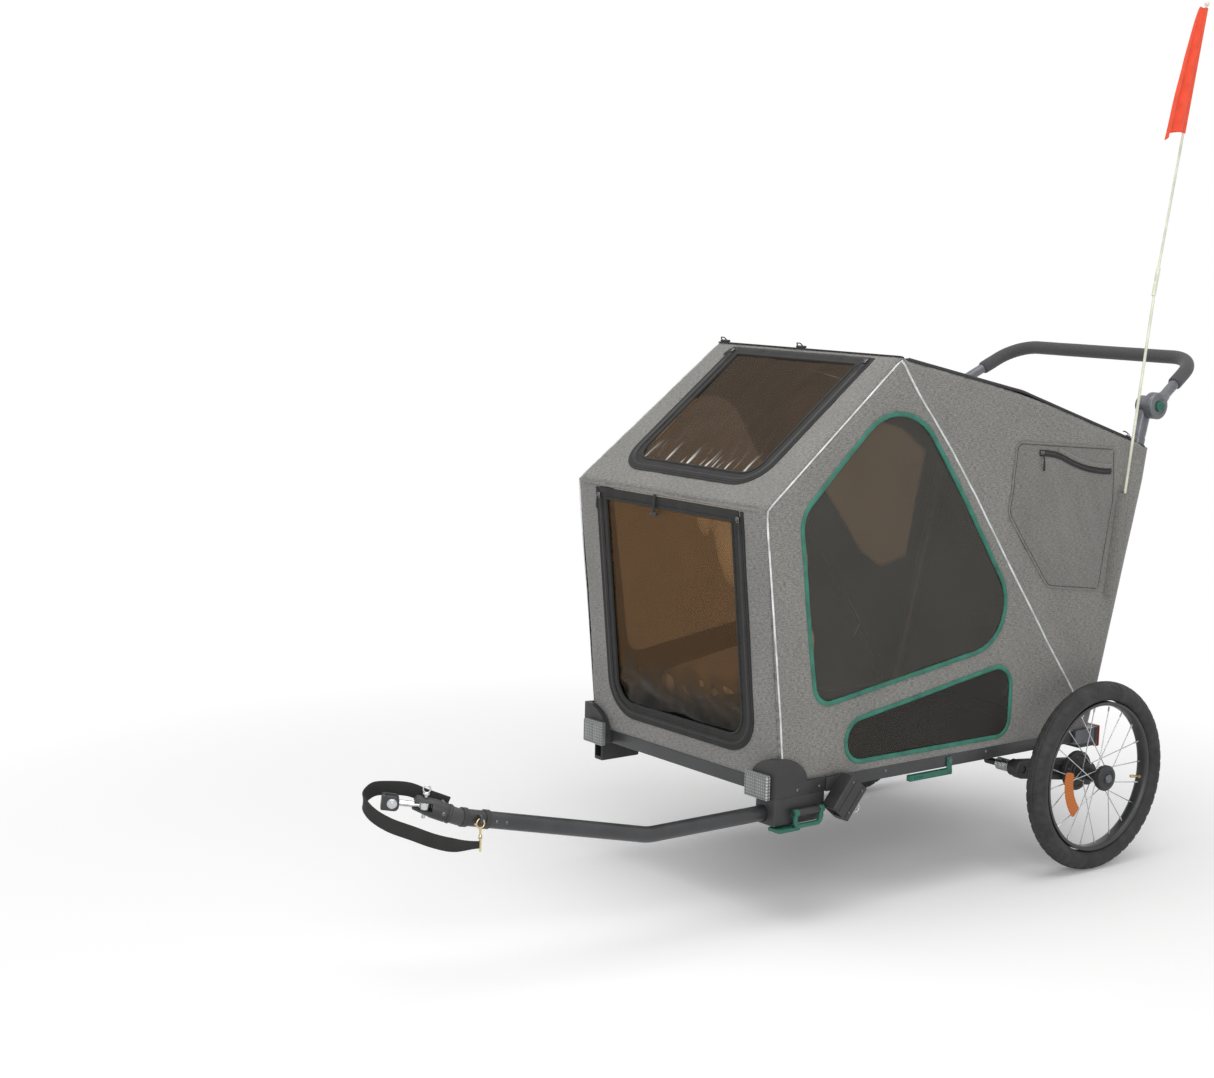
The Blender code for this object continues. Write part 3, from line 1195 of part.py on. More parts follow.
def spring_path(side):
    """One wire: a straight end out of the ear, the turns, and a straight end to the sleeve."""
    start = BRACKET_INNER_X + BRACKET_EAR + GAP
    end = SLEEVE_X - GAP
    straight = SPRING_WIRE * 1.2
    first, last = start + straight, end - straight
    count = SPRING_TURNS * SPRING_POINTS
    points = []
    for k in range(count + 1):
        turn = math.tau * k / SPRING_POINTS
        x = first + (last - first) * k / count
        points.append(at(side * x, PIVOT_Y + SPRING_RADIUS * math.cos(turn),
                         ARM_PIVOT_Z + SPRING_RADIUS * math.sin(turn)))
    shift = Vector((side, 0, 0))
    return [points[0] - shift * straight] + points + [points[-1] + shift * straight]


def least_self_gap(path, diameter, reach):
    """The least distance between surfaces of stretches at least reach points apart."""
    least = math.inf
    for i, a in enumerate(path):
        for b in path[i + reach:]:
            least = min(least, (a - b).length - diameter)
    return least


def make_spring(side, hand):
    path = spring_path(side)
    name = f"spring_{hand}"
    section = [(y, z) for y, z in circle(SPRING_WIRE / 2, 6)]
    swept(name, path, section, "steel", at(side * SLEEVE_X, PIVOT_Y, ARM_PIVOT_Z), smooth=70.0)
    gap = least_self_gap(path, SPRING_WIRE, SPRING_POINTS // 2 + 1)
    print(f"{name}: least gap to itself {gap * 1000:.2f} mm")


def make_wheels():
    for side, hand in ((1, "left"), (-1, "right")):
        make_tyre(side, hand)
        make_spoked_wheel(side, hand)
        make_spoke_reflector(side, hand)
        make_release_button(side, hand)
        make_swing_arm(side, hand)
        make_suspension_bracket(side, hand)
        make_spring(side, hand)


def receiver_axes():
    tilt = math.radians(RECEIVER_TILT)
    run = Vector((0, -math.cos(tilt), -math.sin(tilt)))
    across = Vector((0, math.sin(tilt), -math.cos(tilt)))
    return run, across


def make_receiver():
    """A tilted square socket on the left rail, with a spring pin pulled by a ring."""
    run, across = receiver_axes()
    inner = CORNER_OUTER_X + GAP
    centre = at(inner + RECEIVER_WIDTH / 2, RECEIVER_Y, RECEIVER_Z)
    frame = Matrix((Vector((1, 0, 0)), run, across)).transposed().to_4x4()
    frame.translation = centre

    def box(name, size):
        bm = bmesh.new()
        bmesh.ops.create_cube(bm, size=1.0)
        bmesh.ops.scale(bm, verts=bm.verts, vec=size)
        bmesh.ops.transform(bm, matrix=frame, verts=bm.verts)
        return finish(name, bm, "plastic")

    made = box("wheel_receiver", (RECEIVER_WIDTH, RECEIVER_LENGTH, RECEIVER_DEPTH))
    corner_rear = CORNER_FRONT_Y + CORNER_LENGTH
    foot = block("foot", at(rail_outer_x() + GAP, corner_rear + 4 * GAP, RAIL_TOP_Z - RAIL_HEIGHT),
                 at(inner + CUT, RECEIVER_Y + 0.36 * RECEIVER_LENGTH, RAIL_TOP_Z - GAP), "plastic")
    combine(made, [foot])
    face = centre + across * (RECEIVER_DEPTH / 2)
    seat = centre + across * RECEIVER_CORE
    bore = rod("bore", seat, face + across * CUT, around(PULL_PIN_RADIUS + GAP, 12), "plastic", 12)
    combine(made, [bore], "DIFFERENCE")
    tip = seat + across * GAP
    end = face + across * (2.2 * PULL_PIN_RADIUS)
    pin = rod("pull_pin", tip, end, PULL_PIN_RADIUS, "steel", 12, tip)
    collar = rod("collar", face + across * GAP, face + across * (GAP + 1.2 * PULL_PIN_RADIUS),
                 1.6 * PULL_PIN_RADIUS, "steel", 16)
    combine(pin, [collar])
    loop = ring("loop", end + across * (PULL_RING_RADIUS - 1.5 * PULL_RING_WIRE), (1, 0, 0), PULL_RING_RADIUS,
                PULL_RING_WIRE, "steel", 15, 7)
    combine(pin, [loop])


def make_rail_lever():
    top = RAIL_TOP_Z - RAIL_HEIGHT - LEVER_DROP
    outer = rail_outer_x() + GAP + LEVER_EAR
    origin = at(rail_outer_x(), LEVER_PIVOT_Y, LEVER_PIVOT_Z)
    lever = block("rail_lever", at(outer - LEVER_WIDTH, LEVER_FRONT_Y, top - LEVER_HEIGHT),
                  at(outer, LEVER_REAR_Y, top), "green", origin)
    ear_half = 2.6 * LEVER_PIN_RADIUS
    ear = block("ear", at(outer - LEVER_EAR, LEVER_PIVOT_Y - ear_half, top - LEVER_HEIGHT / 2),
                at(outer, LEVER_PIVOT_Y + ear_half, LEVER_PIVOT_Z + ear_half), "green")
    combine(lever, [ear])
    bore = rod("bore", at(outer - LEVER_WIDTH, LEVER_PIVOT_Y, LEVER_PIVOT_Z),
               at(outer + CUT, LEVER_PIVOT_Y, LEVER_PIVOT_Z), around(LEVER_PIN_RADIUS + GAP, 12), "green", 12)
    combine(lever, [bore], "DIFFERENCE")


def make_drawbar_latch():
    """A bail that swings on the rod beside the socket, with a foot that hooks under it."""
    origin = at(LATCH_PIVOT_X, LATCH_FRONT_Y, LATCH_PIVOT_Z)
    low = LATCH_PIVOT_Z - LATCH_DROP
    path = bent([at(LATCH_PIVOT_X, LATCH_FRONT_Y, LATCH_PIVOT_Z), at(LATCH_PIVOT_X, LATCH_FRONT_Y, low),
                 at(LATCH_PIVOT_X, LATCH_REAR_Y, low), at(LATCH_PIVOT_X, LATCH_REAR_Y, LATCH_PIVOT_Z)], 0.009, 3)
    bail = swept("drawbar_latch", path, circle(LATCH_WIRE, 8), "green", origin)
    pieces = []
    for y in (LATCH_FRONT_Y, LATCH_REAR_Y):
        pieces.append(rod("ear", at(LATCH_PIVOT_X, y - LATCH_EAR / 2, LATCH_PIVOT_Z),
                          at(LATCH_PIVOT_X, y + LATCH_EAR / 2, LATCH_PIVOT_Z), LATCH_EAR_RADIUS, "green", 16))
    foot_top = LATCH_FOOT_Z + LATCH_FOOT_HEIGHT
    pieces.append(block("foot", at(DRAWBAR_X + DRAWBAR_RADIUS, LATCH_FRONT_Y - LATCH_FOOT_LENGTH, LATCH_FOOT_Z),
                        at(LATCH_PIVOT_X, LATCH_FRONT_Y + 3 * LATCH_WIRE, foot_top), "green"))
    combine(bail, pieces)
    bore = rod("bore", at(LATCH_PIVOT_X, LATCH_FRONT_Y - LATCH_EAR, LATCH_PIVOT_Z),
               at(LATCH_PIVOT_X, LATCH_REAR_Y + LATCH_EAR, LATCH_PIVOT_Z),
               around(LATCH_ROD_RADIUS + GAP, 12), "green", 12)
    combine(bail, [bore], "DIFFERENCE")


def hitch_line():
    """The drawbar's end, the hitch pin and the clevis bolt, and the coupler's direction."""
    end = drawbar_bend() + Vector(DRAWBAR_REACH)
    pin = end + Vector(HITCH_PIN_REACH)
    bolt = pin + Vector(CLEVIS_REACH)
    return end, pin, bolt, (pin - end).normalized()


def hitch_axes():
    """Along the hitch rod, across it and up the hitch pin."""
    _, pin, bolt, _ = hitch_line()
    run = (bolt - pin).normalized()
    up = (Vector((0, 0, 1)) - run * run.z).normalized()
    return run, up.cross(run), up


def drawbar_bend():
    return at(DRAWBAR_X, DRAWBAR_BEND_Y, DRAWBAR_Z)


def make_drawbar():
    end, _, _, coupler_run = hitch_line()
    start = at(DRAWBAR_X, CORNER_FRONT_Y + SOCKET_DEPTH - GAP, DRAWBAR_Z)
    path = bent([start, drawbar_bend(), end], DRAWBAR_BEND_RADIUS, 6)
    path.append(end + coupler_run * DRAWBAR_TAIL)
    bar = swept("drawbar", path, circle(DRAWBAR_RADIUS, 14), "frame", start)
    frame, hole = lug_frame()
    lug = framed_box("lug", frame, (-LUG_SIZE[0] / 2, -LUG_SIZE[1] / 2, 0.0),
                     (LUG_SIZE[0] / 2, LUG_SIZE[1] / 2, DRAWBAR_RADIUS + LUG_SIZE[2]), "frame")
    combine(bar, [lug])
    run = frame.to_3x3() @ Vector((1, 0, 0))
    combine(bar, [rod("hole", hole - run * LUG_SIZE[0], hole + run * LUG_SIZE[0], LUG_HOLE, "frame", 12)],
            "DIFFERENCE")


def lug_frame():
    """The lug on the drawbar's outer side: X along the tube and Z outwards; and its hole."""
    run = Vector(DRAWBAR_REACH).normalized()
    frame = along(run, drawbar_bend() + run * LUG_AT, (1.0, 0.0, 0.15))
    return frame, frame @ Vector((0, 0, DRAWBAR_RADIUS + LUG_SIZE[2] - 1.8 * LUG_HOLE))


def framed_box(name, frame, low, high, look, origin=(0.0, 0.0, 0.0)):
    bm = bmesh.new()
    bmesh.ops.create_cube(bm, size=1.0)
    low, high = Vector(low), Vector(high)
    bmesh.ops.scale(bm, verts=bm.verts, vec=high - low)
    bmesh.ops.translate(bm, verts=bm.verts, vec=(low + high) / 2)
    bmesh.ops.transform(bm, matrix=frame, verts=bm.verts)
    return finish(name, bm, look, origin)


def ring(name, centre, normal, radius, wire, look, steps=14, sides=6, origin=(0.0, 0.0, 0.0)):
    turns = [math.tau * k / sides for k in range(sides)]
    profile = [(wire * math.cos(t), radius + wire * math.sin(t)) for t in turns]
    return turned(name, profile, along(normal, centre), look, steps, origin)


def make_coupler():
    """The piece at the drawbar's end, forked in front round the rod's tongue."""
    end, pin, _, run = hitch_line()
    start = end + run * (DRAWBAR_TAIL + GAP)
    length = (pin - start).length + COUPLER_NOSE
    shoulder = length - 1.6 * COUPLER_NOSE
    coupler = turned("coupler", [(0.0, 0.0), (0.0, COUPLER_RADIUS), (shoulder, COUPLER_RADIUS),
                                 (length, COUPLER_NOSE_RADIUS), (length, 0.0)], along(run, start),
                     "plastic", 20, start)
    _, _, up = hitch_axes()
    across = up.cross(run).normalized()
    frame = Matrix((across.cross(up), across, up)).transposed().to_4x4()
    frame.translation = pin
    slot = framed_box("slot", frame, (-TONGUE_RADIUS - 3 * GAP, -2 * COUPLER_RADIUS, -FORK_SLOT / 2),
                      (2 * COUPLER_NOSE, 2 * COUPLER_RADIUS, FORK_SLOT / 2), "plastic")
    bore = rod("bore", pin - up * 2 * COUPLER_RADIUS, pin + up * 2 * COUPLER_RADIUS,
               around(HITCH_PIN_BORE, 12), "plastic", 12)
    combine(coupler, [slot, bore], "DIFFERENCE")


def make_hitch_pin():
    _, pin, _, _ = hitch_line()
    _, side, up = hitch_axes()
    seat = pin + up * HITCH_PIN_SEAT
    foot = pin - up * (HITCH_PIN_SEAT + HITCH_PIN_RADIUS)
    body = rod("hitch_pin", foot, seat + up * HITCH_PIN_RADIUS, HITCH_PIN_RADIUS, "steel", 12, pin)
    head = rod("head", seat, seat + up * HITCH_PIN_RADIUS, HITCH_PIN_HEAD, "steel", 16)
    loop = ring("loop", seat + up * (HITCH_PIN_RADIUS + HITCH_PIN_HEAD), side, HITCH_PIN_HEAD,
                PULL_RING_WIRE, "steel", 12)
    combine(body, [head, loop])


def make_hitch_rod():
    """Tongue on the hitch pin, steel rod, and an eye on the clevis bolt."""
    _, pin, bolt, _ = hitch_line()
    _, side, up = hitch_axes()
    tongue = rod("hitch_rod", pin - up * TONGUE_HEIGHT / 2, pin + up * TONGUE_HEIGHT / 2, TONGUE_RADIUS,
                 "steel", 20, pin)
    eye = rod("eye", bolt - side * ROD_EYE_WIDTH / 2, bolt + side * ROD_EYE_WIDTH / 2, ROD_EYE_RADIUS,
              "steel", 18)
    shank = rod("shank", pin, bolt, HITCH_ROD_RADIUS, "steel", 10)
    combine(tongue, [eye, shank])
    bores = [rod("bore", pin - up * 2 * TONGUE_HEIGHT, pin + up * 2 * TONGUE_HEIGHT,
                 around(HITCH_PIN_BORE, 12), "steel", 12),
             rod("bore", bolt - side * 2 * ROD_EYE_WIDTH, bolt + side * 2 * ROD_EYE_WIDTH,
                 around(BOLT_RADIUS + GAP, 12), "steel", 12)]
    combine(tongue, bores, "DIFFERENCE")


def make_clevis():
    """Two cheeks, a nose plate and the bolt through them."""
    _, _, bolt, _ = hitch_line()
    run, side, up = hitch_axes()
    frame = Matrix((run, side, up)).transposed().to_4x4()
    frame.translation = bolt
    front, half, tall = CLEVIS_LENGTH / 2, CLEVIS_WIDTH / 2, CLEVIS_HEIGHT / 2
    clevis = framed_box("clevis", frame, (front - CLEVIS_NOSE, -half, -tall), (front, half, tall), "frame", bolt)
    pieces = []
    for sign in (1, -1):
        low, high = sorted((sign * half, sign * (half - CLEVIS_CHEEK)))
        pieces.append(framed_box("cheek", frame, (-0.35 * CLEVIS_LENGTH, low, -tall),
                                 (front - CUT, high, tall), "frame"))
    reach = half + BOLT_HEAD / 2
    pieces.append(rod("bolt", bolt - side * reach, bolt + side * reach, BOLT_RADIUS, "steel", 12))
    for sign in (1, -1):
        pieces.append(rod("head", bolt + side * sign * (half - CUT / 2),
                          bolt + side * sign * (half + BOLT_HEAD), BOLT_HEAD_RADIUS, "steel", 6))
    combine(clevis, pieces)


def hook_bar():
    """The upright bar at the snap hook's lower end, which holds the strap's end."""
    _, hole = lug_frame()
    return Vector((hole.x, hole.y, 0.0))


def make_snap_hook():
    """A swivel snap hook: ring through the lug, stem, ball and the strap's bar."""
    frame, hole = lug_frame()
    normal = frame.to_3x3() @ Vector((0, 0, 1))
    normal = Vector((normal.x, normal.y, 0.0)).normalized()
    centre = hole - Vector((0, 0, HOOK_RING))
    hook = ring("snap_hook", centre, normal, HOOK_RING, HOOK_WIRE, "brass", 16, 8, hole)
    foot = hook_bar() + Vector((0, 0, HOOK_END_Z))
    height = centre.z - HOOK_RING - HOOK_END_Z
    bar, stem = 1.3 * HOOK_WIRE, 1.2 * HOOK_WIRE
    first, last = math.asin(bar / HOOK_BALL), math.pi - math.asin(stem / HOOK_BALL)
    arc = [first + (last - first) * k / 5 for k in range(6)]
    ball = [(HOOK_BALL_Z - HOOK_END_Z - HOOK_BALL * math.cos(t), HOOK_BALL * math.sin(t)) for t in arc]
    shank = turned("shank", [(0.0, 0.0), (0.0, bar)] + ball + [(height, stem), (height, 0.0)],
                   along((0, 0, 1), foot), "brass", 10)
    combine(hook, [shank])


def strap_route():
    """Points of the strap's middle line, from the snap hook's bar to the coupler's far side."""
    pin = hitch_line()[1]
    points = [pin + Vector(p) for p in STRAP_ROUTE]
    first = points[0]
    bar = hook_bar() + Vector((0, 0, (HOOK_END_Z + HOOK_BALL_Z) / 2 - 2 * GAP))
    towards = Vector((first.x - bar.x, first.y - bar.y, 0.0)).normalized()
    start = bar + towards * (1.3 * HOOK_WIRE + GAP)
    return smooth_route([start] + points, 3)


def make_strap():
    """Flat webbing on edge, from the snap hook round in front of the clevis to the coupler."""
    route = strap_route()
    half_t = STRAP_THICKNESS / 2
    bm = bmesh.new()
    rings = []
    walked = 0.0
    for i, here in enumerate(route):
        before = route[max(i - 1, 0)]
        after = route[min(i + 1, len(route) - 1)]
        walked += (here - before).length
        half_w = (STRAP_END_WIDTH + (STRAP_WIDTH - STRAP_END_WIDTH) * min(1.0, walked / STRAP_TAPER)) / 2
        run = (after - before).normalized()
        up = (Vector((0, 0, 1)) - run * run.z).normalized()
        out = run.cross(up)
        corners = ((-half_t, -half_w), (half_t, -half_w), (half_t, half_w), (-half_t, half_w))
        rings.append([bm.verts.new(here + out * a + up * b) for a, b in corners])
    for low, high in zip(rings, rings[1:]):
        for i in range(4):
            bm.faces.new((low[i - 1], low[i], high[i], high[i - 1]))
    bm.faces.new(rings[0])
    bm.faces.new(rings[-1])
    finish("safety_strap", bm, "webbing", smooth=40.0)


def make_hitch():
    make_drawbar()
    make_coupler()
    make_hitch_pin()
    make_hitch_rod()
    make_clevis()
    make_snap_hook()
    make_strap()


def main():
    clear_scene()
    make_base_frame()
    make_rear_beam()
    make_front_corners()
    make_hoops()
    make_handle_posts()
    make_handle()
    make_cabin_walls()
    make_flaps()
    make_pockets()
    make_pole()
    make_flag()
    make_wheels()
    make_receiver()
    make_rail_lever()
    make_drawbar_latch()
    make_hitch()


main()
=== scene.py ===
"""Looks of a two-wheeled pet trailer for a bicycle, dressed round its CAD model.

Everything is in metres in the model's own frame: +Z up, the front towards -Y and the trailer's
left side, with the drawbar, towards +X. Lengths measured back from the cabin's front top edge
go through at().
"""

import math

import bmesh
import bpy
import numpy as np
from mathutils import Matrix, Vector, geometry, noise


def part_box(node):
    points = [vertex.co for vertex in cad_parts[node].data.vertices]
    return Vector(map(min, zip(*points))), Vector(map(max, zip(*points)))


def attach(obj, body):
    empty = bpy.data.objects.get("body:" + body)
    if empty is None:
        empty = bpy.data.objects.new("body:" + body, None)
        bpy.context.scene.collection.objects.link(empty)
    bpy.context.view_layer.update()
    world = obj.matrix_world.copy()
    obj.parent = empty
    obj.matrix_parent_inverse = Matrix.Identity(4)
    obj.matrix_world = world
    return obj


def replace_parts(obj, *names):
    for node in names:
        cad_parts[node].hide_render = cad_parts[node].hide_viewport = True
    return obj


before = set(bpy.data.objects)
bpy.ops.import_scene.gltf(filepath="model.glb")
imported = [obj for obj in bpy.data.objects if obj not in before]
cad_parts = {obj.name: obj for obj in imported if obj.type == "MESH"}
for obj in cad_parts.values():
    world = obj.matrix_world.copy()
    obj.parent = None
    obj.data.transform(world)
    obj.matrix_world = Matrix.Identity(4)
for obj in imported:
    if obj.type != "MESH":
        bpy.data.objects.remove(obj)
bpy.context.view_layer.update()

GAP = 0.0003                  # between pieces that seat on each other
CABIN_FRONT_Y = -0.26205

# The cabin's profile as (y, z), from the front foot over the roof to the rear foot
CABIN_HALF_WIDTH = 0.294
RIDGE_HALF_WIDTH = 0.277
FRONT_TOP_Z = 0.805
RIDGE_Z = 1.079
RAIL_TOP_Z = 0.281
OUTLINE = [Vector(p) for p in (
    (0.056, RAIL_TOP_Z + GAP), (0.0, FRONT_TOP_Z), (0.351, RIDGE_Z), (0.700, 1.003),
    (1.092, 0.876), (0.938, RAIL_TOP_Z + GAP))]
FRONT, ROOF, BACK_ROOF, TAIL_ROOF, REAR = range(5)
EDGE_ROLL = 0.013             # radius of the cabin's fabric edges
CLOTH = 0.0012                # thickness of the fabric
FILM = 0.0006

# Outlines on the side walls as (y, z, corner radius)
SIDE_WINDOW = ((0.081, 0.790, 0.070), (0.137, 0.412, 0.046), (0.736, 0.499, 0.100), (0.361, 1.036, 0.125))
LOW_WINDOW = ((0.220, 0.383, 0.048), (0.215, 0.293, 0.048), (0.687, 0.293, 0.040), (0.690, 0.458, 0.050))
POCKET_OUTLINE = ((0.672, 0.905, 0.020), (0.648, 0.758, 0.030), (0.778, 0.597, 0.030),
                  (0.940, 0.577, 0.010), (0.974, 0.760, 0.010), (0.974, 0.880, 0.010))


def at(x, y, z):
    return Vector((x, CABIN_FRONT_Y + y, z))


# Materials


class Look:
    """A node material being built: add() makes a node, and a socket given as a node is linked."""

    def __init__(self, name):
        self.material = bpy.data.materials.new(name)
        self.material.use_nodes = True
        self.tree = self.material.node_tree
        self.tree.nodes.clear()
        self.output = self.tree.nodes.new("ShaderNodeOutputMaterial")

    def add(self, kind, props=None, **inputs):
        node = self.tree.nodes.new("ShaderNode" + kind)
        for key, value in (props or {}).items():
            setattr(node, key, value)
        for key, value in inputs.items():
            key = key.replace("_", " ")
            socket = node.inputs[int(key[1:])] if key[0] == "i" and key[1:].isdigit() else node.inputs[key]
            self.put(socket, value)
        return node

    def put(self, socket, value):
        if isinstance(value, bpy.types.Node):
            value = value.outputs[0]
        if isinstance(value, bpy.types.NodeSocket):
            self.tree.links.new(value, socket)
        elif isinstance(value, tuple) and len(value) == 3 and socket.type == "RGBA":
            socket.default_value = (*value, 1.0)
        else:
            socket.default_value = value

    def place(self, scale=(1.0, 1.0, 1.0), use_uv=False, turn=(0.0, 0.0, 0.0)):
        """Texture coordinates in metres: on a sheet its own (u, v), and elsewhere the part's frame."""
        where = self.add("TexCoord").outputs["UV" if use_uv else "Object"]
        return self.add("Mapping", Vector=where, Scale=scale, Rotation=turn)

    def bands(self, direction, where, pitch):
        """Waves along the direction, each pi times the pitch long."""
        return self.add("TexWave", {"wave_type": "BANDS", "bands_direction": direction}, Vector=where,
                        Scale=0.1 / pitch)

    def noise(self, scale, where, detail=2.0, rough=0.5):
        return self.add("TexNoise", Vector=where, Scale=scale, Detail=detail, Roughness=rough)

    def ramp(self, value, stops):
        node = self.add("ValToRGB", Fac=value)
        points = node.color_ramp.elements
        while len(points) < len(stops):
            points.new(0.5)
        for point, (place, colour) in zip(points, stops):
            point.position = place
            point.color = (*colour, 1.0) if isinstance(colour, tuple) else (colour, colour, colour, 1.0)
        return node

    def math(self, operation, a, b=0.0):
        return self.add("Math", {"operation": operation}, i0=a, i1=b)

    def mix(self, share, a, b, blend="MIX"):
        node = self.add("Mix", {"data_type": "RGBA", "blend_type": blend})
        for index, value in ((0, share), (6, a), (7, b)):
            self.put(node.inputs[index], value)
        return node.outputs[2]

    def bump(self, height, distance, strength=1.0, normal=None):
        node = self.add("Bump", Height=height, Distance=distance, Strength=strength)
        if normal is not None:
            self.put(node.inputs["Normal"], normal)
        return node

    def surface(self, **inputs):
        made = self.add("BsdfPrincipled", **inputs)
        self.tree.links.new(made.outputs[0], self.output.inputs["Surface"])

    def blend(self, share, a, b):
        both = self.add("MixShader", i0=share, i1=a, i2=b)
        self.tree.links.new(both.outputs[0], self.output.inputs["Surface"])


def toned(colour, factor, lift=0.0):
    return tuple(factor * c + lift for c in colour)


def woven(name, light, dark, pitch=0.0011, fleck=1.0, roughness=0.92, sheen=0.25):
    """Melange cloth: threads of two greys crossing, with slubs and a faint cloudiness."""
    look = Look(name)
    across = look.noise(1.0, look.place((90.0, 900.0, 1.0), True), 3.0)
    down = look.noise(1.0, look.place((820.0, 120.0, 1.0), True), 3.0)
    slub = look.noise(1.0, look.place((130.0, 520.0, 1.0), True), 4.0, 0.65)
    cloud = look.noise(9.0, look.place(use_uv=True), 2.0)
    threads = look.math("ADD", look.math("MULTIPLY", across, 0.5), look.math("MULTIPLY", down, 0.5))
    threads = look.math("ADD", look.math("MULTIPLY", threads, 0.6), look.math("MULTIPLY", slub, 0.4))
    shade = look.ramp(threads, [(0.50 - 0.11 / fleck, dark), (0.50 + 0.11 / fleck, light)])
    tone = look.ramp(cloud, [(0.3, 0.93), (0.7, 1.05)])
    colour = look.mix(1.0, shade, tone, "MULTIPLY")
    warp, weft = (look.bands(direction, look.place(use_uv=True), pitch) for direction in "XY")
    height = look.math("ADD", look.math("MULTIPLY", warp, weft), threads)
    look.surface(Base_Color=colour, Roughness=roughness, Sheen_Weight=sheen, Sheen_Roughness=0.5,
                 Normal=look.bump(height, 0.0003, 0.6))
    return look.material


def tape_look(name, colour, rib=0.0010, roughness=0.8):
    """Ribbed black webbing and zip tape."""
    look = Look(name)
    wave = look.bands("X", look.place(use_uv=True), rib)
    fuzz = look.noise(600.0, look.place(use_uv=True), 2.0)
    cloud = look.noise(30.0, look.place(), 2.0)
    shade = look.ramp(look.math("ADD", look.math("MULTIPLY", fuzz, 0.5), look.math("MULTIPLY", cloud, 0.5)),
                      [(0.35, toned(colour, 0.6)), (0.65, toned(colour, 1.5))])
    height = look.math("ADD", look.math("MULTIPLY", wave, 0.6), look.math("MULTIPLY", fuzz, 0.5))
    look.surface(Base_Color=shade, Roughness=roughness, Sheen_Weight=0.04,
                 Normal=look.bump(height, 0.00016, 0.8))
    return look.material


def film_look(name, tint, haze_and_painted_reflection, cover, shine, wrinkle, streak, foot=None, painted_glare=None, polish=0.1):
    """Window film: a tinted see-through sheet, hazy, with a glossy skin over it. The skin's lit grey stands
    partly for the film's own haziness and partly for its reflection of the bright surroundings: a painted
    reflection.

    `foot` and `painted_glare` are heights (from, to): between them the film turns denser towards its lower
    edge, or thin streaks of painted highlight, nearly white, are laid over it.
    """
    look = Look(name)
    where = look.place(use_uv=True)
    creases = look.noise(1.0, look.place(streak, True), 2.0, 0.5)
    normal = look.bump(creases, wrinkle, 1.0)
    clear = look.add("BsdfTransparent", Color=tint)
    smudge = look.noise(7.0, where, 3.0, 0.6)
    # The skin's colour, lighter and darker at random: the film's haziness, partly a painted reflection of the
    # bright surroundings.
    dust = look.ramp(smudge, [(0.3, toned(haze_and_painted_reflection, 0.9)), (0.75, toned(haze_and_painted_reflection, 1.08))])
    gloss = look.add("LayerWeight", Blend=0.22)
    share = look.math("ADD", look.math("MULTIPLY", gloss.outputs["Fresnel"], 0.6), cover)

    def low_down(heights, most, height):
        return look.add("MapRange", {"interpolation_type": "SMOOTHSTEP"}, Value=height, From_Min=heights[1],
                        From_Max=heights[0], To_Max=most).outputs["Result"]

    height = look.add("SeparateXYZ", i0=look.add("TexCoord").outputs["UV"]).outputs["Y"]
    if foot:
        folds = look.math("MULTIPLY", look.noise(1.0, look.place((26.0, 9.0, 1.0), True), 2.0), 0.10)
        dense = low_down(foot, 1.0, look.math("ADD", height, folds))
        share = look.math("MINIMUM", look.math("ADD", share, look.math("MULTIPLY", dense, 0.8)), 0.92)
        dust = look.mix(dense, dust, (0.010, 0.010, 0.009))
    # Painted highlight: thin noise streaks where the skin turns nearly white and covers more of the film.
    if painted_glare:
        lines = look.ramp(look.noise(1.0, look.place((105.0, 8.0, 1.0), True, (0.0, 0.0, -0.35)), 2.0, 0.4),
                          [(0.56, 0.0), (0.68, 1.0)])
        lit = look.math("MULTIPLY", lines, low_down(painted_glare, 1.0, height))
        share = look.math("ADD", share, look.math("MULTIPLY", lit, 0.55))
        dust = look.mix(lit, dust, (0.86, 0.86, 0.84))
    skin = look.add("BsdfPrincipled", Base_Color=dust, Roughness=shine, Normal=normal,
                    Specular_IOR_Level=polish)
    look.blend(share, clear, skin)
    return look.material


def backlit(name, light, dark, through, share):
    """The woven cloth where it has no lining, so that light comes through it."""
    material = woven(name, light, dark)
    tree = material.node_tree
    output = next(n for n in tree.nodes if n.type == "OUTPUT_MATERIAL")
    cloth = next(n for n in tree.nodes if n.type == "BSDF_PRINCIPLED")
    glow = tree.nodes.new("ShaderNodeBsdfTranslucent")
    glow.inputs["Color"].default_value = (*through, 1.0)
    both = tree.nodes.new("ShaderNodeMixShader")
    both.inputs[0].default_value = share
    tree.links.new(cloth.outputs[0], both.inputs[1])
    tree.links.new(glow.outputs[0], both.inputs[2])
    tree.links.new(both.outputs[0], output.inputs["Surface"])
    return material


def moulded(name, colour, roughness=0.5, grain=0.00012, scale=900.0, metallic=0.0, coat=0.0):
    """Moulded plastic or painted metal: a fine grain, rubbed lighter patches and dust."""
    look = Look(name)
    where = look.place()
    pits = look.noise(scale, where, 3.0, 0.6)
    patch = look.noise(22.0, where, 4.0, 0.6)
    shade = look.ramp(patch, [(0.32, toned(colour, 0.82)), (0.72, toned(colour, 1.22, 0.004))])
    rough = look.ramp(patch, [(0.3, roughness * 0.85), (0.75, min(1.0, roughness * 1.2))])
    look.surface(Base_Color=shade, Roughness=rough, Metallic=metallic, Coat_Weight=coat, Coat_Roughness=0.25,
                 Normal=look.bump(pits, grain, 0.7))
    return look.material


def metal(name, colour, roughness=0.28):
    """Bare metal, brushed along the part's Z axis."""
    look = Look(name)
    lines = look.noise(1.0, look.place((40.0, 40.0, 1600.0)), 3.0)
    patch = look.noise(60.0, look.place(), 3.0)
    shade = look.ramp(patch, [(0.3, toned(colour, 0.75)), (0.7, colour)])
    rough = look.ramp(lines, [(0.3, roughness * 0.7), (0.7, roughness * 1.4)])
    look.surface(Base_Color=shade, Metallic=1.0, Roughness=rough, Normal=look.bump(lines, 0.00005, 0.5))
    return look.material


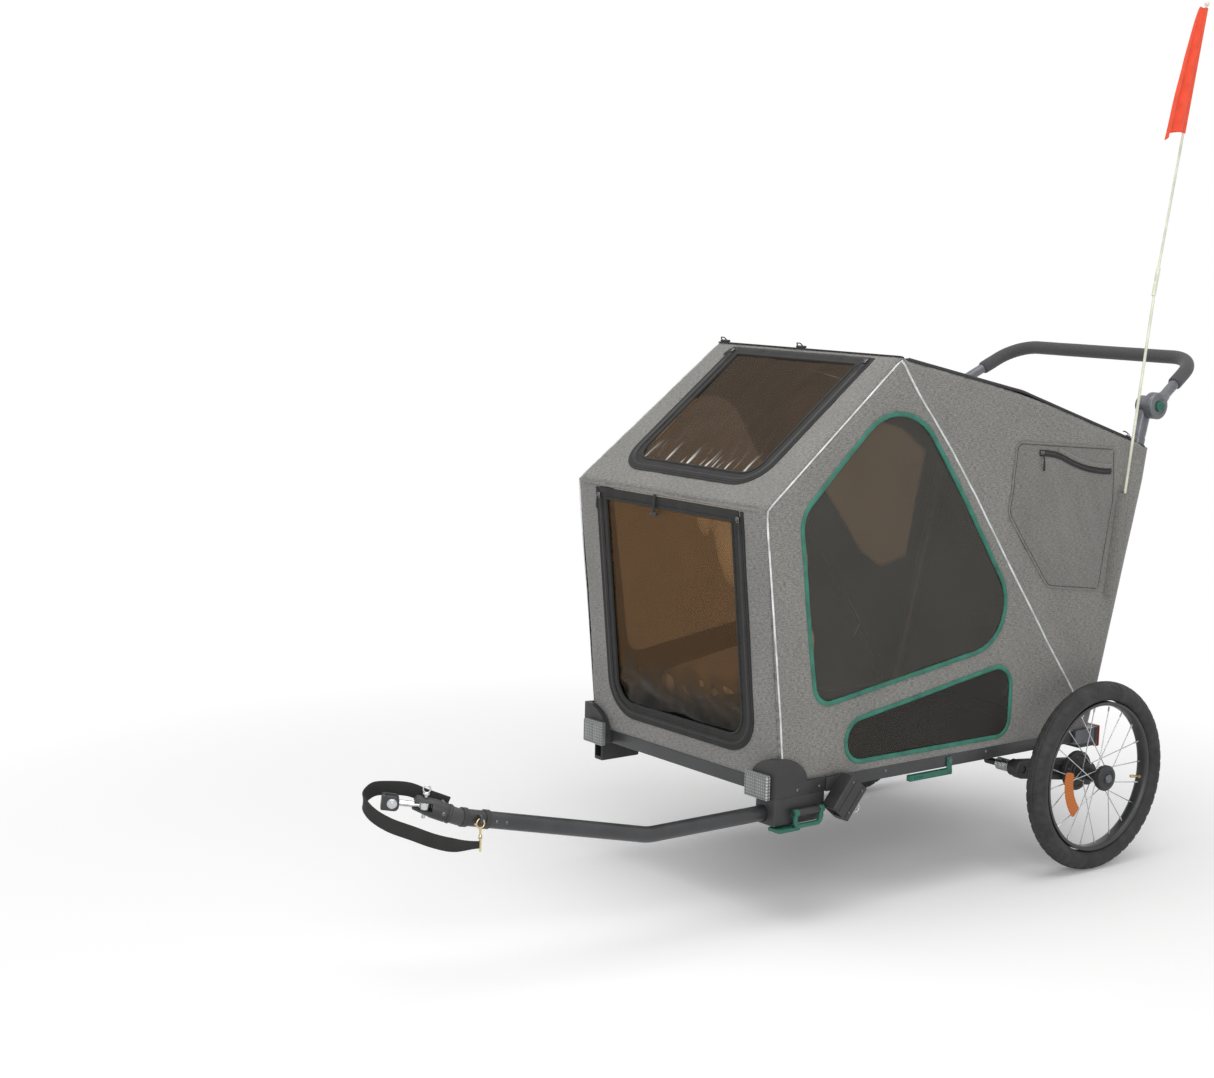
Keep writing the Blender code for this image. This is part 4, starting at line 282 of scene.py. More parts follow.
def prisms(name, colour, cell, roughness):
    """A reflector: glassy plastic over a field of corner prisms, with painted highlights and shade on their
    facets.
    """
    look = Look(name)
    cells = look.add("TexVoronoi", {"feature": "F1", "distance": "MANHATTAN"}, Vector=look.place(),
                     Scale=1.0 / cell, Randomness=0.0)
    # Painted facet light: the colour is brightest at each prism's middle and darkens to about a third at its
    # edges.
    shade = look.ramp(cells.outputs["Distance"],
                      [(0.12, colour), (0.5, toned(colour, 0.75)), (0.66, toned(colour, 0.30))])
    look.surface(Base_Color=shade, Roughness=roughness, Coat_Weight=0.15, Coat_Roughness=0.03,
                 Normal=look.bump(cells.outputs["Distance"], 0.0006, 0.35))
    return look.material


def sponge(name, colour):
    """Closed-cell foam: small round pores in two sizes, with painted shade in the large ones."""
    look = Look(name)
    where = look.place()
    big = look.add("TexVoronoi", {"feature": "F1"}, Vector=where, Scale=520.0)
    small = look.noise(1500.0, where, 2.0)
    # Painted shade: the colour darkens towards the middle of each large pore.
    shade = look.ramp(big.outputs["Distance"], [(0.1, toned(colour, 0.55)), (0.55, colour)])
    height = look.math("ADD", big.outputs["Distance"], look.math("MULTIPLY", small, 0.4))
    look.surface(Base_Color=shade, Roughness=0.95, Sheen_Weight=0.15, Normal=look.bump(height, 0.0004, 0.7))
    return look.material


RIPSTOP_PITCH = 0.005


def ripstop(name, colour):
    """Thin flag nylon: a small raised grid, and light that comes through it."""
    look = Look(name)
    where = look.place(use_uv=True)
    one, two = (look.bands(direction, where, RIPSTOP_PITCH) for direction in "XY")
    grid = look.ramp(look.math("MAXIMUM", one, two), [(0.86, 0.0), (0.97, 1.0)])
    cloud = look.noise(40.0, where, 2.0)
    shade = look.ramp(cloud, [(0.3, toned(colour, 0.86)), (0.7, colour)])
    normal = look.bump(grid, 0.0002, 0.5)
    front = look.add("BsdfPrincipled", Base_Color=shade, Roughness=0.55, Sheen_Weight=0.3, Normal=normal)
    through = look.add("BsdfTranslucent", Color=shade, Normal=normal)
    look.blend(0.30, front, through)
    return look.material


def rubber(name, colour):
    """Tyre rubber: matt, with a fine grain and paler dust."""
    look = Look(name)
    where = look.place()
    fine = look.noise(700.0, where, 3.0)
    dust = look.noise(35.0, where, 4.0, 0.65)
    shade = look.ramp(dust, [(0.35, toned(colour, 0.7)), (0.75, toned(colour, 1.6, 0.006))])
    look.surface(Base_Color=shade, Roughness=0.72, Normal=look.bump(fine, 0.0002, 0.6))
    return look.material


LOOKS = {
    "side_cloth": woven("side_cloth", (0.310, 0.305, 0.288), (0.092, 0.090, 0.084)),
    "front_cloth": woven("front_cloth", (0.290, 0.286, 0.274), (0.084, 0.082, 0.077)),
    "pocket_cloth": woven("pocket_cloth", (0.268, 0.263, 0.248), (0.082, 0.080, 0.074), 0.0013, 0.8),
    "lining": moulded("lining", (0.021, 0.0205, 0.0195), 0.9, 0.00001),
    "thin_cloth": backlit("thin_cloth", (0.540, 0.530, 0.500), (0.160, 0.157, 0.146), (0.68, 0.58, 0.47),
                          0.45),
    "tape": tape_look("tape", (0.011, 0.0107, 0.0102)),
    "zip_coil": tape_look("zip_coil", (0.012, 0.012, 0.012), 0.0022, 0.45),
    "binding": tape_look("binding", (0.022, 0.150, 0.105), 0.0018, 0.6),
    "reflex": tape_look("reflex", (0.62, 0.63, 0.63), 0.0011, 0.35),
    "webbing": tape_look("webbing", (0.011, 0.0107, 0.0102), 0.0021, 0.8),
    "side_film": film_look("side_film", (0.92, 0.83, 0.71), (0.150, 0.149, 0.141), 0.30, 0.30, 0.0002,
                           (16.0, 5.0, 1.0), polish=0.06),
    "low_film": film_look("low_film", (0.84, 0.77, 0.68), (0.092, 0.092, 0.088), 0.30, 0.25, 0.0004,
                          (9.0, 20.0, 1.0), polish=0.10),
    "roof_film": film_look("roof_film", (1.0, 0.86, 0.735), (0.080, 0.067, 0.054), 0.30, 0.20, 0.0003,
                           (26.0, 7.0, 1.0), painted_glare=(0.080, 0.150), polish=0.06),
    "door_film": film_look("door_film", (1.0, 0.836, 0.656), (0.110, 0.074, 0.044), 0.25, 0.20, 0.0004,
                           (9.0, 22.0, 1.0), (0.12, 0.24), polish=0.12),
    "paint": moulded("paint", (0.026, 0.027, 0.029), 0.42, 0.00008, 1400.0, 0.0, 0.15),
    "plastic": moulded("plastic", (0.024, 0.024, 0.025), 0.52),
    "grey_paint": moulded("grey_paint", (0.13, 0.135, 0.15), 0.38, 0.00006, 1400.0, 0.4, 0.2),
    "green": moulded("green", (0.012, 0.115, 0.078), 0.45),
    "steel": metal("steel", (0.62, 0.63, 0.64)),
    "dark_steel": metal("dark_steel", (0.18, 0.18, 0.19), 0.35),
    "brass": metal("brass", (0.70, 0.56, 0.31), 0.25),
    "foam": sponge("foam", (0.080, 0.080, 0.084)),
    "tyre": rubber("tyre", (0.024, 0.024, 0.0235)),
    "orange": prisms("orange", (1.0, 0.25, 0.0), 0.0034, 0.5),
    "red": prisms("red", (0.74, 0.010, 0.008), 0.0034, 0.2),
    "clear": prisms("clear", (0.56, 0.58, 0.58), 0.0060, 0.08),
    "flag": ripstop("flag", (1.0, 0.125, 0.045)),
    "pole": moulded("pole", (0.66, 0.67, 0.54), 0.35, 0.00004, 1800.0, 0.0, 0.3),
}


# Mesh tools


def placed(name, data):
    """A new object that holds the data, in the scene."""
    made = bpy.data.objects.new(name, data)
    bpy.context.scene.collection.objects.link(made)
    return made


def finish_mesh(name, bm, look, body=None, smooth=40.0, merge=1e-6):
    """Turn a bmesh in the model's frame into a piece that rides on a body."""
    if merge:
        bmesh.ops.remove_doubles(bm, verts=bm.verts, dist=merge)
    bmesh.ops.recalc_face_normals(bm, faces=bm.faces)
    mesh = bpy.data.meshes.new(name)
    bm.to_mesh(mesh)
    bm.free()
    mesh.shade_smooth()
    if smooth < 180.0:
        mesh.set_sharp_from_angle(angle=math.radians(smooth))
    piece = placed(name, mesh)
    for key in [look] if isinstance(look, str) else look:
        mesh.materials.append(LOOKS[key])
    if body:
        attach(piece, body)
    return piece


def rounded(corners, steps=8):
    """A closed outline with each corner (u, v, radius) turned into an arc."""
    points = []
    count = len(corners)
    for i, (u, v, radius) in enumerate(corners):
        here = Vector((u, v))
        back = (Vector(corners[i - 1][:2]) - here).normalized()
        ahead = (Vector(corners[(i + 1) % count][:2]) - here).normalized()
        half = back.angle(ahead) / 2
        centre = here + (back + ahead).normalized() * radius / math.sin(half)
        first = here + back * radius / math.tan(half) - centre
        turn = first.angle_signed(here + ahead * radius / math.tan(half) - centre)
        for k in range(steps + 1):
            spun = first.copy()
            spun.rotate(Matrix.Rotation(-turn * k / steps, 2))
            points.append(centre + spun)
    return points


def evenly(points, pitch, closed=True):
    """The same line with points no further apart than the pitch; its corners are kept."""
    points = [p.copy() for p in points]
    line = points + points[:1] if closed else points
    out = []
    for a, b in zip(line, line[1:]):
        count = max(1, math.ceil((b - a).length / pitch))
        out += [a.lerp(b, k / count) for k in range(count)]
    if not closed:
        out.append(points[-1])
    return out


def outward(points, closed=True):
    """Outward normals of a 2D line: to the right of its run where it turns left overall."""
    count = len(points)
    area = sum(a.x * b.y - b.x * a.y for a, b in zip(points, points[1:] + points[:1]))
    sign = 1.0 if area > 0 or not closed else -1.0
    normals = []
    for i, here in enumerate(points):
        before = points[i - 1] if closed or i else here
        after = points[(i + 1) % count] if closed or i + 1 < count else here
        run = (after - before).normalized()
        normals.append(Vector((run.y, -run.x)) * sign)
    return normals


def grown(points, margin):
    return [p + n * margin for p, n in zip(points, outward(points))]


def inside(points, outline):
    """Which of the (n, 2) points lie inside the outline."""
    x, y = points[:, 0], points[:, 1]
    found = np.zeros(len(points), bool)
    count = len(outline)
    for i in range(count):
        ax, ay = outline[i]
        bx, by = outline[(i + 1) % count]
        cross = (ay > y) != (by > y)
        edge = ax + (y - ay) * (bx - ax) / ((by - ay) or 1e-12)
        found ^= cross & (x < edge)
    return found


def distance_to(points, outline):
    """Distance from each of the (n, 2) points to the closed outline."""
    best = np.full(len(points), np.inf)
    for a, b in zip(outline, np.roll(outline, -1, 0)):
        run = b - a
        share = np.clip(((points - a) @ run) / max(run @ run, 1e-12), 0, 1)
        best = np.minimum(best, np.linalg.norm(points - (a + share[:, None] * run), axis=1))
    return best


def smooth_step(value, low, high):
    t = min(1.0, max(0.0, (value - low) / (high - low)))
    return t * t * (3.0 - 2.0 * t)


def ripples(u, v, size, seed, stretch=(1.0, 1.0)):
    """Smooth noise from -1 to 1 whose bumps are about size metres across."""
    return noise.noise(Vector((u * stretch[0] / size, v * stretch[1] / size, seed)))


def crease(u, v, start, end, width):
    """A fold's height from 0 to 1: highest along the line from start to end, fading at its ends."""
    run = Vector(end) - Vector(start)
    here = Vector((u, v)) - Vector(start)
    share = here.dot(run) / run.length_squared
    if not -0.2 < share < 1.2:
        return 0.0
    off = abs(here.x * run.y - here.y * run.x) / run.length
    fade = smooth_step(share, -0.2, 0.25) * (1.0 - smooth_step(share, 0.75, 1.2))
    return math.exp(-(off / width) ** 2) * fade


def sheet(name, outline, holes, place, look, body, pitch=0.010, relief=None, thick=CLOTH, inner=None):
    """Cloth over a flat outline with holes, in (u, v) metres; place(u, v, lift) puts it in the part.

    The relief is how far it stands out of that surface at a point.
    """
    outline = evenly(outline, pitch)
    holes = [evenly(hole, pitch) for hole in holes]
    rim = np.array([tuple(p) for p in outline])
    rings = [rim] + [np.array([tuple(p) for p in hole]) for hole in holes]
    low, high = rim.min(0), rim.max(0)
    across = np.arange(low[0] + pitch / 2, high[0], pitch)
    up = np.arange(low[1] + pitch / 2, high[1], pitch * 0.866)
    grid = np.array([(u + (pitch / 2 if row % 2 else 0.0), v) for row, v in enumerate(up) for u in across])
    keep = inside(grid, rim)
    for ring in rings[1:]:
        keep &= ~inside(grid, ring)
    grid = grid[keep]
    for ring in rings:
        grid = grid[distance_to(grid, ring) > 0.55 * pitch]
    flat, edges = [], []
    for ring in rings:
        first = len(flat)
        flat += [Vector(p) for p in ring]
        edges += [(first + i, first + (i + 1) % len(ring)) for i in range(len(ring))]
    flat += [Vector(p) for p in grid]
    verts, _, faces, *_ = geometry.delaunay_2d_cdt(flat, edges, [], 0, 1e-7)
    centres = np.array([tuple(sum((verts[i] for i in f), Vector((0, 0))) / len(f)) for f in faces])
    shown = inside(centres, rim)
    for ring in rings[1:]:
        shown &= ~inside(centres, ring)
    relief = relief or (lambda u, v: 0.0)
    bm = bmesh.new()
    layer = bm.loops.layers.uv.new("UVMap")
    made = [bm.verts.new(place(p.x, p.y, relief(p.x, p.y))) for p in verts]
    middle = sum(verts, Vector((0, 0))) / len(verts)
    out = place(middle.x, middle.y, 0.01) - place(middle.x, middle.y, 0.0)
    turn = (place(middle.x + 0.01, middle.y, 0) - place(middle.x, middle.y, 0)).cross(
        place(middle.x, middle.y + 0.01, 0) - place(middle.x, middle.y, 0))
    flip = turn.dot(out) < 0
    for face, visible in zip(faces, shown):
        if not visible:
            continue
        order = list(reversed(face)) if flip else list(face)
        poly = bm.faces.new([made[i] for i in order])
        for loop, i in zip(poly.loops, order):
            loop[layer].uv = verts[i]
    loose = [v for v in bm.verts if not v.link_faces]
    bmesh.ops.delete(bm, geom=loose, context="VERTS")
    area = sum(f.calc_area() for f in bm.faces)
    mesh = bpy.data.meshes.new(name)
    bm.to_mesh(mesh)
    bm.free()
    mesh.shade_smooth()
    piece = placed(name, mesh)
    mesh.materials.append(LOOKS[look])
    mesh.materials.append(LOOKS[inner or look])
    wall = piece.modifiers.new("thickness", "SOLIDIFY")
    wall.thickness = thick
    wall.offset = -1.0
    wall.use_even_offset = False
    wall.material_offset = 1
    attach(piece, body)
    return piece


def frames_along(path, closed=False, up=None):
    """(tangent, normal, side) at each point, without twisting."""
    count = len(path)
    tangents = []
    for i, here in enumerate(path):
        before = path[i - 1] if closed or i else here
        after = path[(i + 1) % count] if closed or i + 1 < count else here
        tangents.append((after - before).normalized())
    normal = Vector(up) if up else tangents[0].orthogonal()
    frames = []
    for tangent in tangents:
        normal = (normal - tangent * normal.dot(tangent)).normalized()
        frames.append((tangent, normal, tangent.cross(normal)))
    return frames


def run_lengths(points):
    """The distance walked to each point of a ring, and last all the way round it."""
    walked = [0.0]
    for a, b in zip(points, points[1:] + points[:1]):
        walked.append(walked[-1] + math.dist(a, b))
    return walked


def skin_rings(bm, layer, rings, walked, girth, closed):
    """Faces from ring to ring, with (walked, girth) as their texture coordinates, and end caps."""
    sides = len(rings[0])
    for i in range(len(rings) if closed else len(rings) - 1):
        low, high = rings[i], rings[(i + 1) % len(rings)]
        for k in range(sides):
            j = (k + 1) % sides
            face = bm.faces.new((low[k], low[j], high[j], high[k]))
            spots = ((walked[i], girth[k]), (walked[i], girth[k + 1]), (walked[i + 1], girth[k + 1]),
                     (walked[i + 1], girth[k]))
            for loop, spot in zip(face.loops, spots):
                loop[layer].uv = spot
    if not closed:
        bm.faces.new(rings[0])
        bm.faces.new(list(reversed(rings[-1])))


def sweep(name, path, section, look, body, closed=False, up=None, frames=None, smooth=40.0, scale=None):
    """A closed section of (side, up) points along a path.

    scale(share of the path) sizes it on the way, as one factor or as (side, up) factors.
    """
    path = [Vector(p) for p in path]
    frames = frames or frames_along(path, closed, up)
    bm = bmesh.new()
    layer = bm.loops.layers.uv.new("UVMap")
    rings, walked = [], run_lengths(path)
    total = walked[-1] if closed else walked[-2]
    for i, (here, (_, normal, side)) in enumerate(zip(path, frames)):
        size = scale(walked[i] / total) if scale else 1.0
        wide, tall = size if isinstance(size, tuple) else (size, size)
        rings.append([bm.verts.new(here + side * (a * wide) + normal * (b * tall)) for a, b in section])
    skin_rings(bm, layer, rings, walked, run_lengths(section), closed)
    return finish_mesh(name, bm, look, body, smooth)


def circle(radius, sides=16):
    return [(radius * math.cos(math.tau * k / sides), radius * math.sin(math.tau * k / sides))
            for k in range(sides)]


def box_section(width, height, edge):
    """A rectangle with rounded corners, as (side, up) points about its middle."""
    corners = [(width / 2, height / 2, edge), (-width / 2, height / 2, edge), (-width / 2, -height / 2, edge),
               (width / 2, -height / 2, edge)]
    return [tuple(p) for p in rounded(corners, 3)]


def tube(name, path, radius, look, body, sides=20, closed=False, scale=None, smooth=50.0):
    return sweep(name, path, circle(radius, sides), look, body, closed, smooth=smooth, scale=scale)


def bent(points, radius, steps=10):
    """A path through the points, with each inner corner rounded to the radius."""
    points = [Vector(p) for p in points]
    path = [points[0]]
    for before, here, after in zip(points, points[1:], points[2:]):
        back = (before - here).normalized()
        ahead = (after - here).normalized()
        half = back.angle(ahead) / 2
        reach = min(radius / math.tan(half), 0.48 * (before - here).length, 0.48 * (after - here).length)
        arc_radius = reach * math.tan(half)
        centre = here + (back + ahead).normalized() * arc_radius / math.sin(half)
        spoke = here + back * reach - centre
        axis = back.cross(ahead)
        for k in range(steps + 1):
            path.append(centre + Matrix.Rotation(-(math.pi - 2 * half) * k / steps, 3, axis) @ spoke)
    path.append(points[-1])
    return path


def smooth_route(points, steps, closed=False):
    """A Catmull-Rom curve through 2D or 3D points."""
    points = [Vector(p) for p in points]
    ring = points[-1:] + points + points[:2] if closed else \
        [points[0] * 2 - points[1]] + points + [points[-1] * 2 - points[-2]]
    route = []
    for i in range(1, len(ring) - 2):
        a, b, c, d = ring[i - 1:i + 3]
        for k in range(steps):
            t = k / steps
            route.append(0.5 * ((2 * b) + (c - a) * t + (2 * a - 5 * b + 4 * c - d) * t * t
                                + (3 * b - a - 3 * c + d) * t ** 3))
    if not closed:
        route.append(points[-1])
    return route


def along(direction, place, roll_to=(0.0, 0.0, 1.0)):
    """A frame at place whose X axis is the direction and whose Z leans towards roll_to."""
    x = Vector(direction).normalized()
    z = Vector(roll_to) - x * x.dot(Vector(roll_to))
    if z.length < 1e-6:
        z = x.orthogonal()
    z.normalize()
    made = Matrix((x, z.cross(x), z)).transposed().to_4x4()
    made.translation = Vector(place)
    return made


def lathe(name, profile, frame_at, look, body, segments=64, smooth=35.0, closed=False):
    """A profile of (along, radius) points spun about the frame's X axis."""
    bm = bmesh.new()
    layer = bm.loops.layers.uv.new("UVMap")
    rings = []
    for k in range(segments):
        angle = math.tau * k / segments
        rings.append([bm.verts.new(frame_at @ Vector((a, r * math.cos(angle), r * math.sin(angle))))
                      for a, r in profile])
    steps = len(profile) if closed else len(profile) - 1
    run = run_lengths(profile)
    widest = max(r for _, r in profile)
    for k in range(segments):
        low, high = rings[k], rings[(k + 1) % segments]
        for i in range(steps):
            j = (i + 1) % len(profile)
            corners = [low[i], low[j], high[j], high[i]]
            spots = [(k, run[i]), (k, run[i + 1]), (k + 1, run[i + 1]), (k + 1, run[i])]
            if profile[i][1] < 1e-9:
                corners, spots = corners[:3], spots[:3]
            elif profile[j][1] < 1e-9:
                corners, spots = [corners[0], corners[1], corners[3]], [spots[0], spots[1], spots[3]]
            face = bm.faces.new(corners)
            for loop, (turn, reach) in zip(face.loops, spots):
                loop[layer].uv = (math.tau * turn / segments * widest, reach)
    return finish_mesh(name, bm, look, body, smooth)


def join(name, pieces):
    """One piece from several that share a body, each keeping its own materials."""
    parent = pieces[0]
    with bpy.context.temp_override(active_object=parent, selected_editable_objects=pieces,
                                   selected_objects=pieces):
        bpy.ops.object.join()
    parent.name = name
    return parent


def slab(name, outlines, place, low, high, look, body, edge=0.001, steps=3, smooth=40.0):
    """A plate with rounded edges: outlines in (u, v), the first its rim and the others holes."""
    arc = [math.pi / 2 * k / steps for k in range(steps + 1)]
    levels = [(low + edge * (1.0 - math.sin(t)), edge * (1.0 - math.cos(t))) for t in reversed(arc)]
    levels += [(high - edge * (1.0 - math.sin(t)), edge * (1.0 - math.cos(t))) for t in arc]
    bm = bmesh.new()
    caps = ([], [])
    for index, outline in enumerate(outlines):
        sign = -1.0 if index == 0 else 1.0
        rings = []
        for depth, inset in levels:
            line = grown(outline, sign * inset) if inset > 1e-9 else outline
            rings.append([bm.verts.new(place(p.x, p.y, depth)) for p in line])
        for a, b in zip(rings, rings[1:]):
            for k in range(len(a)):
                bm.faces.new((a[k - 1], a[k], b[k], b[k - 1]))
        for cap, ring in zip(caps, (rings[0], rings[-1])):
            cap.extend(bm.edges.get((ring[k - 1], ring[k])) for k in range(len(ring)))
    for cap in caps:
        bmesh.ops.triangle_fill(bm, edges=cap, use_beauty=True)
    return finish_mesh(name, bm, look, body, smooth)


def bar(name, low, high, look, body, edge=0.0015, frame_at=None, segments=3):
    """A box with rounded edges, in the model's axes or in a frame's own."""
    low, high = Vector(low), Vector(high)
    bm = bmesh.new()
    bmesh.ops.create_cube(bm, size=1.0)
    bmesh.ops.scale(bm, verts=bm.verts, vec=high - low)
    bmesh.ops.translate(bm, verts=bm.verts, vec=(low + high) / 2)
    if edge:
        bmesh.ops.bevel(bm, geom=bm.edges[:], offset=edge, offset_type="OFFSET", segments=segments,
                        profile=0.5, affect="EDGES")
    if frame_at is not None:
        bmesh.ops.transform(bm, matrix=frame_at, verts=bm.verts)
    return finish_mesh(name, bm, look, body, 35.0)


def carve(piece, tools, operation="DIFFERENCE", smooth=40.0):
    """Cut the tools out of a piece, or join them onto it, and drop them."""
    for tool in tools:
        step = piece.modifiers.new("carve", "BOOLEAN")
        step.operation = operation
        step.solver = "EXACT"
        step.object = tool
        bpy.context.view_layer.update()
        graph = bpy.context.evaluated_depsgraph_get()
        done = bpy.data.meshes.new_from_object(piece.evaluated_get(graph))
        piece.modifiers.clear()
        piece.data = done
        bpy.data.objects.remove(tool, do_unlink=True)
    piece.data.shade_smooth()
    piece.data.set_sharp_from_angle(angle=math.radians(smooth))
    return piece


def cylinder(name, start, end, radius, look, body, edge=0.0006, segments=40):
    """A rod with rounded rims."""
    start, end = Vector(start), Vector(end)
    length = (end - start).length
    edge = min(edge, radius * 0.4, length * 0.4)
    arc = [math.pi / 2 * k / 3 for k in range(4)] if edge else [math.pi / 2]
    profile = [(0.0, 0.0)] + [(edge * (1 - math.cos(t)), radius - edge * (1 - math.sin(t))) for t in arc]
    profile += [(length - a, r) for a, r in reversed(profile)]
    return lathe(name, profile, along(end - start, start), look, body, segments)


def screw(name, place, out, radius, body, look="dark_steel", drive=6):
    """A domed screw head with a socket, standing out of a face at the place."""
    rise = 0.55 * radius
    dome = [(rise * math.sin(t), radius * math.cos(t) ** 0.6) for t in (0.0, 0.35, 0.7, 1.0)]
    profile = [(-0.0006, 0.0), (-0.0006, radius)] + dome + [(rise * 0.92, 0.45 * radius),
                                                            (0.3 * rise, 0.42 * radius), (0.25 * rise, 0.0)]
    return lathe(name, profile, along(out, place), look, body, 4 * drive, 30.0)


def hex_head(name, place, out, radius, height, body, look="steel"):
    """A hexagon bolt head or nut with a chamfered face, seated at the place."""
    profile = [(0.0, 0.0), (0.0, radius), (0.82 * height, radius), (height, 0.86 * radius), (height, 0.0)]
    return lathe(name, profile, along(out, place), look, body, 6, 20.0)


# The cabin's walls


def half_width(z):
    """Half the cabin's outer width at a height: it narrows above the front top edge."""
    share = max(0.0, (z - FRONT_TOP_Z) / (RIDGE_Z - FRONT_TOP_Z))
    return CABIN_HALF_WIDTH - (CABIN_HALF_WIDTH - RIDGE_HALF_WIDTH) * share


class Wall:
    """One side of the cabin. Called with (u, v, lift) it gives the point that far off its skin.

    Each roll is an edge (point, inward normal, half the angle that the cloth turns there): near
    it the skin bends away on a radius, so that two walls meet on the middle of a rounded edge.
    """

    def __init__(self, base, rolls):
        self.base = base
        self.rolls = [(Vector(p), Vector(n).normalized(), turn) for p, n, turn in rolls]

    def __call__(self, u, v, lift=0.0):
        here, shift, depth = Vector((u, v)), Vector((0.0, 0.0)), 0.0
        for point, inward, turn in self.rolls:
            reach = EDGE_ROLL * math.tan(turn)
            off = (here - point).dot(inward)
            if off < reach:
                angle = turn * min(1.0, 1.0 - off / reach)
                shift += inward * (reach - EDGE_ROLL * math.sin(angle) - max(off, 0.0))
                depth = max(depth, EDGE_ROLL * (1.0 - math.cos(angle)))
        here += shift
        return self.base(here.x, here.y, depth - lift)


def turn_between(index):
    """Half the angle between this profile edge's wall and the next one."""
    here = OUTLINE[index + 1] - OUTLINE[index]
    following = OUTLINE[index + 2] - OUTLINE[index + 1]
    return here.angle(following) / 2


def side_base(side):
    return lambda u, v, depth: at(side * (half_width(v) - depth), u, v)


def side_wall(side):
    rolls = []
    for index in range(5):
        run = (OUTLINE[index + 1] - OUTLINE[index]).normalized()
        rolls.append((OUTLINE[index], (run.y, -run.x), math.pi / 4))
    return Wall(side_base(side), rolls)


def wall_length(index):
    return (OUTLINE[index + 1] - OUTLINE[index]).length


def cross_base(index):
    start = OUTLINE[index]
    run = (OUTLINE[index + 1] - start).normalized()
    out = Vector((-run.y, run.x))

    def base(u, v, depth):
        here = start + run * v - out * depth
        return at(u, here.x, here.y)

    return base


def edge_x(index, v):
    """The wall's half width at a distance along it."""
    return half_width(OUTLINE[index].lerp(OUTLINE[index + 1], v / wall_length(index)).y)


def cross_wall(index):
    length = wall_length(index)
    rolls = []
    for side in (1, -1):
        low, high = Vector((side * edge_x(index, 0.0), 0.0)), Vector((side * edge_x(index, length), length))
        run = (high - low).normalized()
        rolls.append((low, (-side * run.y, side * run.x), math.pi / 4))
    if index > 0:
        rolls.append(((0.0, 0.0), (0.0, 1.0), turn_between(index - 1)))
    if index < 4:
        rolls.append(((0.0, length), (0.0, -1.0), turn_between(index)))
    return Wall(cross_base(index), rolls)


def wall_outline(index, low=0.0, high=None):
    high = wall_length(index) if high is None else high
    wide, narrow = edge_x(index, low), edge_x(index, high)
    return [Vector(p) for p in ((-wide, low), (wide, low), (narrow, high), (-narrow, high))]


SIDES = {1: side_wall(1), -1: side_wall(-1)}
WALLS = [cross_wall(index) for index in range(5)]
HANDS = ((1, "left"), (-1, "right"))


def band(name, line, wall, profile, look, body, closed=True, teeth=0.0, lift=0.0):
    """Trim along a line on a wall. The profile is a closed run of (outward offset, lift) points.

    The teeth are how far the profile's highest points dip at every other point of the line.
    """
    normals = outward(line, closed)
    peak = max(b for _, b in profile)
    bm = bmesh.new()
    layer = bm.loops.layers.uv.new("UVMap")
    rings = []
    for i, (here, out) in enumerate(zip(line, normals)):
        ring = []
        for a, b in profile:
            dip = teeth * (i % 2) if b > 0.6 * peak else 0.0
            spot = here + out * a
            ring.append(bm.verts.new(wall(spot.x, spot.y, lift + b - dip)))
        rings.append(ring)
    skin_rings(bm, layer, rings, run_lengths(line), run_lengths(profile), closed)
    return finish_mesh(name, bm, look, body, 50.0)


def bead(low, high, height, steps=7, under=-0.0008):
    """A half-round profile from one offset to another."""
    arc = []
    for k in range(steps + 1):
        t = math.pi * k / steps
        arc.append(((low + high) / 2 + (high - low) / 2 * math.cos(t),
                    under + (height - under) * math.sin(t) ** 0.7))
    return arc


def folded_tape(low, high, height=0.0014, under=-0.0008):
    """A flat tape with a stitched ridge near each edge."""
    ridge = 0.0022
    return [(high, under), (high, 0.6 * height), (high - 0.5 * ridge, height),
            (high - 1.3 * ridge, 0.65 * height), (high - 2.0 * ridge, 0.95 * height),
            (low + 2.0 * ridge, 0.95 * height), (low + 1.3 * ridge, 0.65 * height),
            (low + 0.5 * ridge, height), (low, 0.6 * height), (low, under)]


ZIP_PITCH = 0.0016
TOOTH_DIP = 0.0007
HINGE_ROOM = 0.010            # a zip ends this far short of the flap's hinge


def zip_line(name, line, wall, body, closed=False, half_tape=0.007, lift=0.0):
    """A coil zip: a flat tape with a toothed bead along its middle."""
    line = evenly(line, 0.010, closed)
    band(f"{name}_tape", line, wall, [(half_tape, -0.0006), (half_tape, 0.0006), (-half_tape, 0.0006),
                                       (-half_tape, -0.0006)], "tape", body, closed, lift=lift)
    fine = evenly(line, ZIP_PITCH, closed)
    band(f"{name}_coil", fine, wall, bead(-0.0026, 0.0026, 0.0021, 5, 0.0003), "zip_coil", body, closed,
         TOOTH_DIP, lift)


